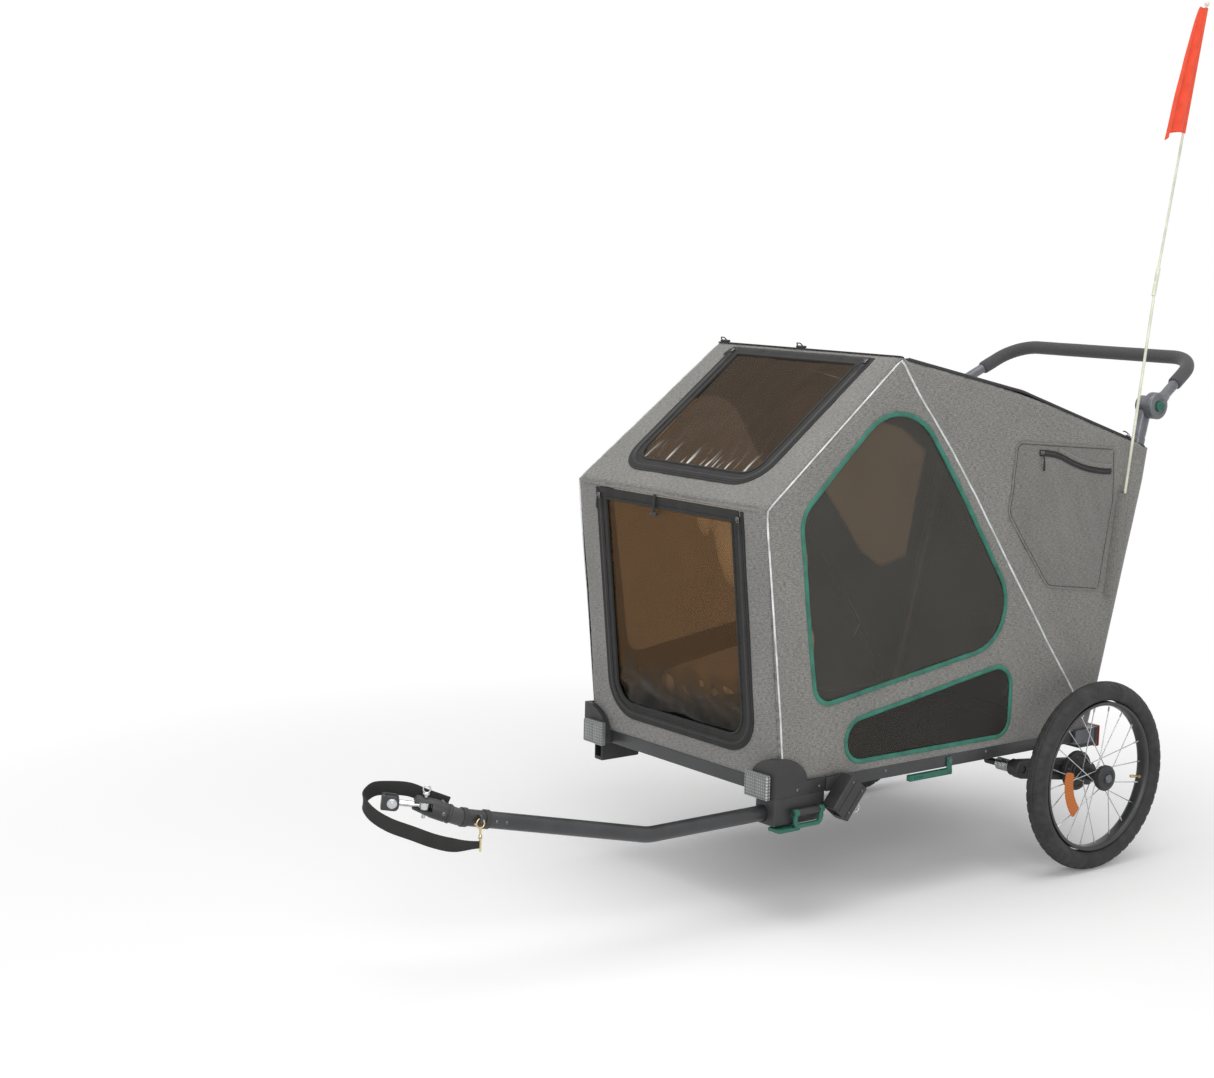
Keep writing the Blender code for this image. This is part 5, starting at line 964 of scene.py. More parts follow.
def slider(name, wall, u, v, angle, body, pull=0.030, droop=0.9, lift=0.002):
    """A zip slider with its cord pull. The angle is the zip's own direction on the wall."""
    run = Vector((math.cos(angle), math.sin(angle)))
    here = wall(u, v, lift)
    ahead = (wall(u + run.x * 0.01, v + run.y * 0.01, lift) - here).normalized()
    out = (wall(u, v, lift + 0.01) - here).normalized()
    across = ahead.cross(out)
    body_path = [here + ahead * s for s in (-0.0055, -0.004, 0.0, 0.004, 0.0058)]
    sizes = [0.75, 1.0, 0.92, 1.0, 0.7]
    frames = [(ahead, out, across)] * 5
    shell = sweep(f"{name}_body", body_path, box_section(0.0085, 0.0042, 0.0014), "dark_steel", body,
                  frames=frames, scale=lambda s: float(np.interp(s, [0.0, 0.15, 0.5, 0.85, 1.0], sizes)))
    bail = tube(f"{name}_bail", [here + out * 0.002 + ahead * s + out * h for s, h in (
        (-0.003, 0.0), (-0.0028, 0.0024), (0.0, 0.0034), (0.0028, 0.0024), (0.003, 0.0))], 0.0006,
                "dark_steel", body, 8)
    down = Vector((0.0, 0.0, -1.0))
    down = (down - out * down.dot(out)).normalized() if abs(out.z) < 0.95 else -ahead
    start = here + out * 0.0046
    hang = (down * droop + out * 0.08).normalized()
    strap_path = [start + hang * (pull * t) + out * (0.0012 * math.sin(3.0 * t)) for t in
                  (0.0, 0.15, 0.3, 0.45, 0.6, 0.75, 0.9, 1.0)]
    tab = sweep(f"{name}_pull", strap_path, box_section(0.0042, 0.0016, 0.0006), "webbing", body, up=out,
                scale=lambda s: 0.75 + 0.5 * smooth_step(s, 0.35, 0.7))
    return join(name, [shell, bail, tab])


# The sides


DIAGONAL_LINE = (Vector((0.340, 1.070)), Vector((0.869, 0.371)))    # where the hoop lifts the cloth
DIAGONAL_RIDGE, DIAGONAL_RIDGE_WIDTH = 0.0030, 0.022


def side_relief(u, v):
    """Cloth over the hoops: it stands out along the diagonal one and sinks a little between."""
    out = 0.0016 * ripples(u, v, 0.16, 3.1) + 0.0009 * ripples(u, v, 0.055, 8.4, (1.0, 1.6))
    run = (DIAGONAL_LINE[1] - DIAGONAL_LINE[0]).normalized()
    off = (Vector((u, v)) - DIAGONAL_LINE[0]).cross(run)
    out += DIAGONAL_RIDGE * math.exp(-(off / DIAGONAL_RIDGE_WIDTH) ** 2)
    low = smooth_step(0.36 - v, 0.0, 0.08)
    out += 0.0018 * low * ripples(u, v, 0.028, 5.7, (1.0, 0.25))
    for start, end, width, height in SIDE_CREASES:
        out += height * crease(u, v, start, end, width)
    foot = smooth_step(v - RAIL_TOP_Z, 0.0, 0.05)
    rear = smooth_step(distance_from_rear(u, v), 0.0, 0.10)
    return out * foot * (0.35 + 0.65 * rear) - 0.0012 * (1.0 - foot)


def distance_from_rear(u, v):
    run = (OUTLINE[5] - OUTLINE[4]).normalized()
    return (Vector((u, v)) - OUTLINE[4]).dot(Vector((run.y, -run.x)))


SIDE_CREASES = (
    ((0.700, 0.560), (0.900, 0.330), 0.010, 0.0026), ((0.760, 0.560), (0.905, 0.430), 0.008, -0.0022),
    ((0.640, 0.700), (0.600, 0.880), 0.010, 0.0016), ((0.075, 0.640), (0.100, 0.450), 0.008, -0.0014),
    ((0.110, 0.420), (0.060, 0.320), 0.009, 0.0018), ((0.720, 0.470), (0.830, 0.300), 0.008, 0.0020),
    ((0.520, 0.985), (0.640, 0.900), 0.010, 0.0016), ((0.430, 0.990), (0.560, 0.800), 0.008, -0.0012),
)

big_window = rounded(SIDE_WINDOW, 10)
low_window = rounded(LOW_WINDOW, 8)
unlined = rounded(((0.545, 0.925, 0.010), (0.755, 0.669, 0.030), (0.812, 0.596, 0.030), (0.878, 0.554, 0.030),
                   (0.958, 0.574, 0.010), (0.983, 0.702, 0.020), (1.009, 0.818, 0.010), (0.925, 0.873, 0.030),
                   (0.600, 0.958, 0.010)), 5)
WINDOW_EDGE = 0.0095
WINDOW_FAN = (0.142, 0.425)              # the pane's corner that its creases spread from
FAN_ENDS = (((0.290, 0.640), 0.0032, 0.0012), ((0.250, 0.560), 0.0028, -0.0010),
            ((0.340, 0.580), 0.0032, 0.0012), ((0.300, 0.500), 0.0030, 0.0010),
            ((0.190, 0.620), 0.0028, 0.0010))
FRONT_PIPING = [(0.0005, 0.806), (0.006, 0.749), (0.021, 0.636), (0.041, 0.483), (0.0565, 0.338),
                (0.061, 0.284)]
DIAGONAL_PIPING = [(0.346, 1.074), (0.392, 1.006), (0.473, 0.906), (0.631, 0.690), (0.799, 0.464),
                   (0.869, 0.371), (0.915, 0.309)]


def make_side(side, hand):
    wall = SIDES[side]
    outline = [OUTLINE[0] - Vector((0.0, 0.004))] + OUTLINE[1:-1] + [OUTLINE[-1] - Vector((0.0, 0.004))]
    holes = [grown(big_window, -0.5 * WINDOW_EDGE), grown(low_window, -0.5 * WINDOW_EDGE)]
    if side < 0:
        holes.append(unlined)
    cloth = sheet(f"side_cloth_{hand}", outline, holes, wall, "side_cloth", "chassis", 0.010, side_relief,
                  inner="lining")
    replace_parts(cloth, f"side_panel_{hand}")

    if side < 0:
        patch = sheet("unlined_cloth_right", grown(unlined, 0.0035), [], wall, "thin_cloth", "chassis", 0.010,
                      lambda u, v: side_relief(u, v) - 0.0018, 0.0006)
        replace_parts(patch, "side_panel_right")

    def sag(u, v):
        fan = sum(height * crease(u, v, WINDOW_FAN, end, width) for end, width, height in FAN_ENDS)
        wave = 0.0022 * ripples(u, v, 0.12, 12.0, (1.0, 0.7)) + 0.0006 * ripples(u, v, 0.04, 2.0)
        return fan + wave - 0.0014

    pane = sheet(f"side_pane_{hand}", grown(big_window, -0.3 * WINDOW_EDGE), [], wall, "side_film", "chassis",
                 0.008, sag, FILM)
    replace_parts(pane, f"side_window_{hand}")
    sheet(f"low_pane_{hand}", grown(low_window, -0.3 * WINDOW_EDGE), [], wall, "low_film", "chassis", 0.008,
          sag, FILM)
    for name, line in (("window_binding", big_window), ("low_binding", low_window)):
        line = evenly(line, 0.008)
        profile = bead(-WINDOW_EDGE, 0.0, 0.0030, 8)
        band(f"{name}_{hand}", line, lambda u, v, lift: wall.base(u, v, -lift - side_relief(u, v)), profile,
             "binding", "chassis")

    def skin(u, v, lift=0.0):
        return wall(u, v, lift + side_relief(u, v))

    for name, points, radius in (("front_piping", FRONT_PIPING, 0.0019),
                                 ("diagonal_piping", DIAGONAL_PIPING, 0.0021)):
        line = smooth_route(points, 12)
        tube(f"{name}_{hand}", [skin(p.x, p.y, 0.0008) for p in line], radius, "reflex", "chassis", 10)
    slope = [OUTLINE[1].lerp(OUTLINE[2], k / 24) for k in range(25)]
    inward = Vector((OUTLINE[2].y - OUTLINE[1].y, OUTLINE[1].x - OUTLINE[2].x)).normalized()
    tube(f"slope_piping_{hand}",
         [wall(p.x + inward.x * 0.001, p.y + inward.y * 0.001, 0.0006) for p in slope], 0.0018, "reflex",
         "chassis", 10)


# Front, roof and rear

DOOR_HALF_WIDTH = 0.2195
DOOR_TOP = 0.007
DOOR_SILL = 0.0467
DOOR_CORNER = 0.070
ROOF_FLAP_HALF_WIDTH = 0.203
ROOF_FLAP_BOTTOM = 0.057
ROOF_FLAP_TOP = 0.0083
ROOF_FLAP_CORNER = 0.060
FLAP_BORDER = 0.026


def flap_outline(half, low, high, radius, margin, steps=8):
    half, low, high = half + margin, low - margin, high + margin
    foot, top = max(radius + margin, 0.01), max(0.006 + margin, 0.003)
    return rounded(((-half, low, foot), (half, low, foot), (half, high, top), (-half, high, top)), steps)


def door_outline(margin=0.0):
    return flap_outline(DOOR_HALF_WIDTH, DOOR_SILL, wall_length(FRONT) - DOOR_TOP, DOOR_CORNER, margin, 10)


def roof_flap_outline(margin=0.0):
    high = wall_length(ROOF) - ROOF_FLAP_TOP
    return flap_outline(ROOF_FLAP_HALF_WIDTH, ROOF_FLAP_BOTTOM, high, ROOF_FLAP_CORNER, margin, 10)


def zip_run(outline_of, offset, top):
    """The part of a flap's outline that its zip follows: down one side, round the foot and up."""
    line = outline_of(offset)
    line = [p for p in line if p.y < top]
    start = min(range(len(line)), key=lambda i: (line[i].x > 0, -line[i].y))
    line = line[start:] + line[:start]
    if line[1].y > line[0].y:
        line.reverse()
    return [Vector((line[0].x, top))] + line + [Vector((line[-1].x, top))]


def front_relief(u, v):
    length = wall_length(FRONT)
    out = 0.0015 * ripples(u, v, 0.12, 31.0) + 0.0008 * ripples(u, v, 0.04, 22.0, (2.0, 0.6))
    strip = smooth_step(abs(u), DOOR_HALF_WIDTH, DOOR_HALF_WIDTH + 0.03)
    out -= 0.0030 * strip * math.sin(math.pi * min(1.0, max(0.0, v / length)))
    return out * smooth_step(v, 0.0, 0.04)


TRIM_INSET = 0.003            # a flap's border starts this far inside its opening
ZIP_INSET = 0.0045            # and its zip this far
ZIP_TOP_ROOM = 0.004


def make_flap(key, body, wall, outline_of, top, film, pitch, border_relief, hem_height):
    """A film window in a black border with a hem, a zip round three sides and its tape on the cabin."""
    sheet(f"{key}_pane", outline_of(TRIM_INSET - FLAP_BORDER), [], wall, f"{key}_film", body, pitch, film,
          FILM)
    height, seed = border_relief
    border = sheet(f"{key}_border", outline_of(-TRIM_INSET), [outline_of(-FLAP_BORDER)], wall, "webbing",
                   body, 0.007, lambda u, v: 0.0012 + height * ripples(u, v, 0.02, seed))
    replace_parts(border, body)
    band(f"{key}_hem", evenly(outline_of(-FLAP_BORDER), 0.006), wall, bead(-0.0010, 0.0052, hem_height),
         "webbing", body, lift=0.0006)
    zip_line(f"{key}_zip", zip_run(outline_of, -ZIP_INSET, top - HINGE_ROOM), wall, body, lift=0.0018)
    band(f"{key}_frame", evenly(zip_run(outline_of, 0.0030, top), 0.008, False), wall,
         folded_tape(-0.0035, 0.0055, 0.0016), "tape", "chassis", False, lift=0.0004)


def make_front():
    wall, length = WALLS[FRONT], wall_length(FRONT)
    outline = wall_outline(FRONT, -0.004)
    cloth = sheet("front_cloth", outline, [door_outline(-0.002)], wall, "front_cloth", "chassis", 0.009,
                  front_relief, inner="lining")
    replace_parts(cloth, "front_panel")

    def film(u, v):
        low = 1.0 - smooth_step(v, 0.09, 0.21)
        wave = 0.0075 * low * ripples(u, v, 0.050, 44.0, (0.45, 1.7))
        wave += 0.0030 * low * ripples(u, v, 0.020, 47.0, (0.6, 1.6))
        return -0.0022 + wave + 0.0016 * ripples(u, v, 0.13, 41.0)

    top = length - DOOR_TOP - ZIP_TOP_ROOM
    make_flap("door", "door", wall, door_outline, top, film, 0.0075, (0.0010, 51.0), 0.0032)
    seam = [Vector((x, length - 0.0055)) for x in np.linspace(-0.268, 0.268, 60)]
    band("door_head", seam, wall, bead(-0.0014, 0.0014, 0.0016, 5), "front_cloth", "chassis", False)
    for side, hand in HANDS:
        slider(f"door_slider_{hand}", wall, side * (DOOR_HALF_WIDTH - ZIP_INSET), top - 0.016, math.pi / 2,
               "door", 0.026, lift=0.0042)


def roof_relief(u, v):
    return 0.0013 * ripples(u, v, 0.10, 61.0) + 0.0007 * ripples(u, v, 0.035, 63.0, (0.7, 1.5))


def make_roof():
    wall, length = WALLS[ROOF], wall_length(ROOF)
    cloth = sheet("roof_cloth", wall_outline(ROOF), [roof_flap_outline(-0.002)], wall, "side_cloth",
                  "chassis", 0.009, roof_relief, inner="lining")
    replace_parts(cloth, "roof_panel")

    def film(u, v):
        low = 1.0 - smooth_step(v, ROOF_FLAP_BOTTOM + 0.05, ROOF_FLAP_BOTTOM + 0.20)
        fan = 0.0042 * low * ripples(u * (1.0 + 0.8 * v) + 0.30 * v, v, 0.020, 71.0, (1.0, 0.14))
        wave = 0.0022 * ripples(u, v, 0.16, 73.0) + 0.0010 * ripples(u, v, 0.05, 75.0, (1.6, 0.7))
        return fan + wave - 0.0012

    top = length - ROOF_FLAP_TOP - ZIP_TOP_ROOM
    make_flap("roof", "roof_flap", wall, roof_flap_outline, top, film, 0.0065, (0.0009, 81.0), 0.0030)
    for side, hand in HANDS:
        slider(f"roof_slider_{hand}", wall, side * (ROOF_FLAP_HALF_WIDTH - ZIP_INSET), top - 0.014,
               math.pi / 2, "roof_flap", 0.024, lift=0.0042)


REAR_FLAP_START = 0.012
REAR_FLAP_INSET = 0.007       # its edge inside the cabin's
REAR_FLAP_END_Y = 1.044


def make_rear():
    knee, tail = wall_length(BACK_ROOF), wall_length(TAIL_ROOF)
    end = tail * (REAR_FLAP_END_Y - OUTLINE[TAIL_ROOF].x) / (OUTLINE[REAR].x - OUTLINE[TAIL_ROOF].x)

    def back(u, v, lift=0.0):
        """Both rear roof slopes as one surface, rounded over the knee."""
        share = smooth_step(v, knee - 0.03, knee + 0.03)
        one, two = WALLS[BACK_ROOF](u, v, lift), WALLS[TAIL_ROOF](u, v - knee, lift)
        return one.lerp(two, share)

    def relief(u, v):
        wave = 0.0022 * ripples(u, v, 0.14, 91.0) + 0.0010 * ripples(u, v, 0.05, 93.0, (0.6, 1.5))
        dip = 0.0030 * math.exp(-((v - knee) / 0.05) ** 2) * smooth_step(0.25 - abs(u), 0.0, 0.15)
        return wave * smooth_step(0.275 - abs(u), 0.0, 0.06) - dip

    low, mid, high = edge_x(BACK_ROOF, REAR_FLAP_START), edge_x(BACK_ROOF, knee), edge_x(TAIL_ROOF, end)
    rim = [(low - REAR_FLAP_INSET, REAR_FLAP_START), (mid - REAR_FLAP_INSET, knee),
           (high - REAR_FLAP_INSET, knee + end)]
    other = [(-u, v) for u, v in rim]
    outline = [Vector(p) for p in other[:1] + rim + other[:0:-1]]
    flap = sheet("rear_flap_cloth", outline, [], back, "side_cloth", "rear_roof_flap", 0.010, relief,
                 inner="lining")
    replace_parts(flap, "rear_roof_flap")
    for side, hand in HANDS:
        edge = [Vector((side * u, v + shift)) for (u, v), shift in zip(rim, (0.004, 0.0, -0.004))]
        zip_edge = evenly([edge[0].lerp(edge[1], HINGE_ROOM / (edge[1] - edge[0]).length)] + edge[1:], 0.010,
                          False)
        edge = evenly(edge, 0.010, False)
        zip_line(f"rear_zip_{hand}", zip_edge, back, "rear_roof_flap", half_tape=0.0055, lift=0.0016)
        seam = [Vector((p.x + side * 0.0052, p.y)) for p in edge]
        band(f"rear_edge_{hand}", seam, back, folded_tape(-0.0042, 0.0042, 0.0016), "tape", "chassis", False,
             lift=0.0002)
    sheet("ridge_cloth", [Vector(p) for p in ((-edge_x(BACK_ROOF, 0.0), 0.0), (edge_x(BACK_ROOF, 0.0), 0.0),
                      (low, REAR_FLAP_START + 0.006), (-low, REAR_FLAP_START + 0.006))], [], WALLS[BACK_ROOF],
                      "side_cloth", "chassis", 0.008, None, inner="lining")
    rest = edge_x(TAIL_ROOF, end - 0.004)
    last = edge_x(TAIL_ROOF, tail)
    sheet("tail_cloth",
          [Vector(p) for p in ((-rest, end - 0.004), (rest, end - 0.004), (last, tail), (-last, tail))], [],
          WALLS[TAIL_ROOF], "side_cloth", "chassis", 0.008, lambda u, v: -0.0008, inner="lining")
    hem = [Vector((x, knee + end - 0.003)) for x in np.linspace(-high + 0.012, high - 0.012, 60)]
    band("rear_flap_hem", hem, back, folded_tape(-0.012, 0.003, 0.0018), "webbing", "rear_roof_flap", False,
         lift=0.0012)
    ridge = [Vector((x, 0.004)) for x in np.linspace(-0.272, 0.272, 70)]
    band("ridge_binding", ridge, WALLS[BACK_ROOF], folded_tape(-0.007, 0.007, 0.0018), "webbing", "chassis",
         False, lift=0.0008)

    def rear_relief(u, v):
        wave = 0.0020 * ripples(u, v, 0.15, 101.0) + 0.0012 * ripples(u, v, 0.05, 103.0, (0.7, 1.3))
        return wave * smooth_step(0.27 - abs(u), 0.0, 0.05)

    cloth = sheet("rear_cloth", wall_outline(REAR, 0.0, wall_length(REAR) + 0.004), [], WALLS[REAR],
                  "side_cloth", "chassis", 0.011, rear_relief, inner="lining")
    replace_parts(cloth, "rear_panel")


for side_sign, hand_name in HANDS:
    make_side(side_sign, hand_name)
make_front()
make_roof()
make_rear()


# Base frame, castings and hoops

PANEL = 0.004
HOOP_RADIUS = 0.009
HOOP_BEND = 0.045
DIAGONAL_FOOT_Y = 0.880
RAIL_SCREWS = (("front", 0.335, 0.269), ("middle", 0.620, 0.2705), ("rear", 0.835, 0.2675))    # y and z
LEVER_PIN_Y, LEVER_PIN_Z, LEVER_PIN_RADIUS, LEVER_EAR = 0.511, 0.2665, 0.0030, 0.0136
CORNER_FRONT_Y = 0.038
CORNER_LENGTH = 0.127
CORNER_OUTER_X = 0.302
CORNER_WIDTH = 0.073
DOME_HEIGHT = 0.050
DOME_START = 0.007
DOME_REACH = 0.074
DRAWBAR_RADIUS = 0.0150
DRAWBAR_X, DRAWBAR_Z = 0.265, 0.222
SOCKET_DEPTH, SOCKET_WIDTH = 0.109, 0.0565
FOOT_WIDTH = 0.0275                      # of the right casting's plain foot
LATCH_PIVOT = (0.3125, 0.2260)           # x and z of the rod that the latch swings on
LATCH_FRONT_Y, LATCH_REAR_Y = 0.081, 0.145
LATCH_ROD_RADIUS = 0.0040
LATCH_DROP = 0.026
LATCH_WIRE = 0.0048
LATCH_EAR, LATCH_EAR_RADIUS = 0.011, 0.0075


def inset_outline(depth):
    """The cabin's outline moved inwards, with its two feet kept at the rail."""
    inner = []
    for i, here in enumerate(OUTLINE):
        if i in (0, len(OUTLINE) - 1):
            run = ((OUTLINE[1] if i == 0 else OUTLINE[-2]) - here).normalized()
            inner.append(here + Vector((depth / abs(run.y) * (1 if i == 0 else -1), 0.0)))
            continue
        back = (here - OUTLINE[i - 1]).normalized()
        ahead = (OUTLINE[i + 1] - here).normalized()
        mean = (Vector((back.y, -back.x)) + Vector((ahead.y, -ahead.x))).normalized()
        inner.append(here + mean * depth / mean.dot(Vector((back.y, -back.x))))
    return inner


def make_hoops():
    clear = PANEL + 2 * GAP + HOOP_RADIUS
    inner = inset_outline(clear)

    def legs(points):
        left = [at(half_width(p.y) - clear, p.x, p.y) for p in points]
        return left + [at(clear - half_width(p.y), p.x, p.y) for p in reversed(points)]

    def foot(y, towards):
        run = (towards - Vector((y, RAIL_TOP_Z))).normalized()
        return Vector((y, RAIL_TOP_Z + 3 * GAP + HOOP_RADIUS * abs(run.x)))

    front = tube("front_hoop_tube",
                 bent(legs([foot(inner[0].x, inner[1]), inner[1], inner[2]]), HOOP_BEND, 12), HOOP_RADIUS,
                 "paint", "chassis", 24)
    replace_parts(front, "front_hoop")
    top = inner[2] + (inner[3] - inner[2]).normalized() * (2.6 * HOOP_RADIUS)
    rear = tube("diagonal_hoop_tube", bent(legs([foot(DIAGONAL_FOOT_Y, top), top]), HOOP_BEND, 12),
                HOOP_RADIUS, "paint", "chassis", 24)
    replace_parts(rear, "diagonal_hoop")


def make_rails():
    low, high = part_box("rail_right")
    for side, hand in HANDS:
        ends = sorted((side * abs(low.x), side * abs(high.x)))
        rail = bar(f"rail_tube_{hand}", (ends[0], low.y, low.z), (ends[1], high.y, high.z), "paint",
                   "chassis", 0.0022)
        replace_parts(rail, f"rail_{hand}")
        outer = side * max(abs(low.x), abs(high.x))
        for name, y, z in RAIL_SCREWS:
            screw(f"rail_screw_{name}_{hand}", at(outer, y, z), (side, 0, 0), 0.0034, "chassis")
    head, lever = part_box("rail_left")[1].x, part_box("rail_lever")[1].x
    for name, start, end, radius, edge in (
            ("lever_pin", max(abs(low.x), abs(high.x)) - 0.001, head, LEVER_PIN_RADIUS, 0.0003),
            ("lever_pin_head", lever + GAP, head + 0.0004, 1.7 * LEVER_PIN_RADIUS, 0.0006)):
        cylinder(name, at(start, LEVER_PIN_Y, LEVER_PIN_Z), at(end, LEVER_PIN_Y, LEVER_PIN_Z), radius,
                 "dark_steel", "chassis", edge, 24)
    low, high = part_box("crossbar_front")
    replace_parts(bar("crossbar_front_tube", low, high, "paint", "chassis", 0.0022), "crossbar_front")


def make_floor():
    """The floor board's cloth cover, sunk a little between the rails."""
    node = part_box("floor_panel")
    corner = CORNER_OUTER_X - CORNER_WIDTH - GAP
    front, start, rear = node[0].y, at(0, CORNER_FRONT_Y + CORNER_LENGTH + GAP, 0).y, node[1].y
    wide = node[1].x
    outline = rounded([(corner, front, 0.004), (corner, start, 0.003), (wide, start, 0.004),
                       (wide, rear, 0.004), (-wide, rear, 0.004), (-wide, start, 0.004),
                       (-corner, start, 0.003), (-corner, front, 0.004)], 3)
    board = slab("floor_board", [outline], lambda u, v, w: Vector((u, v, w)), node[0].z, node[1].z, "lining",
                 "chassis", 0.0025)
    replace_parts(board, "floor_panel")


def make_rear_beam():
    low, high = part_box("rear_beam")
    rail_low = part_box("rail_right")[0].z
    beam = bar("rear_beam_tube", (low.x, high.y - 0.022, rail_low), (high.x, high.y, high.z), "paint",
               "chassis", 0.0022)
    ends = []
    for side in (1, -1):
        xs = sorted((side * (high.x - 0.050), side * high.x))
        ends.append(bar("end", (xs[0], low.y, low.z), (xs[1], high.y + 0.0001, high.z + 0.0001), "paint",
                        None, 0.0030))
    carve(beam, ends, "UNION")
    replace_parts(beam, "rear_beam")
    for side, hand in HANDS:
        name = f"rear_reflector_{hand}"
        lens_low, lens_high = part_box(name)
        reflector(f"rear_lens_{hand}", lens_low, lens_high, 1, "red", ((0.0, 1.0),), name)
        outer = side * high.x
        for z in (0.252, 0.269):
            screw(f"beam_screw_{round(1000 * z)}_{hand}", at(outer, 0.932, z), (side, 0, 0), 0.0034,
                  "chassis")


def reflector(name, low, high, facing, look, fields, node):
    """A reflector: a shallow case with one prism field or more set into its face."""
    width = high.x - low.x
    back, face = (low.y, high.y) if facing > 0 else (high.y, low.y)
    case = bar(f"{name}_case", (low.x, min(back, face), low.z), (high.x, max(back, face), high.z), look,
               "chassis", 0.0028, segments=4)
    rim = 0.0042
    wells, lenses = [], []
    for start, end in fields:
        left = low.x + rim + (width - 2 * rim) * start + (0.0012 if start > 0 else 0.0)
        right = low.x + rim + (width - 2 * rim) * end - (0.0012 if end < 1 else 0.0)
        outline = rounded([(left, low.z + rim, 0.003), (right, low.z + rim, 0.003),
                           (right, high.z - rim, 0.003), (left, high.z - rim, 0.003)], 4)

        def place(u, v, w):
            return Vector((u, face - facing * w, v))

        wells.append(slab("well", [outline], place, -0.002, 0.0010, look, None, 0.0004, 2))
        lenses.append(slab(f"{name}_field", [grown(outline, -0.0006)], place, 0.0002, 0.0016, look, "chassis",
                           0.0005, 2))
    carve(case, wells)
    whole = join(name, [case] + lenses)
    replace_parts(whole, node)


def casting_shape(side):
    """The dome over the cabin's corner: its side view and its front view crossed."""
    rear = CORNER_FRONT_Y + CORNER_LENGTH
    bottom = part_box("rail_right")[0].z
    arc = [math.pi / 2 * k / 20 for k in range(21)]
    inner = CORNER_OUTER_X - CORNER_WIDTH
    top = RAIL_TOP_Z + DOME_HEIGHT
    seen_from_side = [Vector(p) for p in ((CORNER_FRONT_Y, bottom), (rear, bottom), (rear, RAIL_TOP_Z))]
    seen_from_side += [Vector((CORNER_FRONT_Y + DOME_START + DOME_REACH * math.cos(t),
                               RAIL_TOP_Z + DOME_HEIGHT * math.sin(t))) for t in arc]
    seen_from_side.append(Vector((CORNER_FRONT_Y, top)))
    seen_from_front = [Vector(p) for p in ((CORNER_OUTER_X + 0.002, bottom - 0.002), (inner, bottom - 0.002),
                                           (inner, RAIL_TOP_Z))]
    seen_from_front += [Vector((CORNER_OUTER_X - CORNER_WIDTH * math.cos(t),
                                RAIL_TOP_Z + DOME_HEIGHT * math.sin(t)))
                        for t in arc[1:]]
    seen_from_front.append(Vector((CORNER_OUTER_X + 0.002, top)))
    made = slab("casting", [seen_from_side], lambda u, v, w: at(side * (CORNER_OUTER_X - w), u, v), 0.0,
                CORNER_WIDTH, "plastic", None, 0.0024)
    view = slab("view", [seen_from_front], lambda u, v, w: at(side * u, CORNER_FRONT_Y + w, v), -0.002,
                CORNER_LENGTH + 0.002, "plastic", None, 0.0)
    carve(made, [view], "INTERSECT")
    share = DOME_HEIGHT / (FRONT_TOP_Z - RAIL_TOP_Z)
    xs = sorted((side * (inner - 0.002), side * (CABIN_HALF_WIDTH + GAP)))
    room_low = at(xs[0], OUTLINE[0].x * (1 - share) - 2 * GAP, RAIL_TOP_Z)
    room_high = at(xs[1], rear + 0.002, top + 0.002)
    return carve(made, [bar("room", room_low, room_high, "plastic", None, 0.0)])


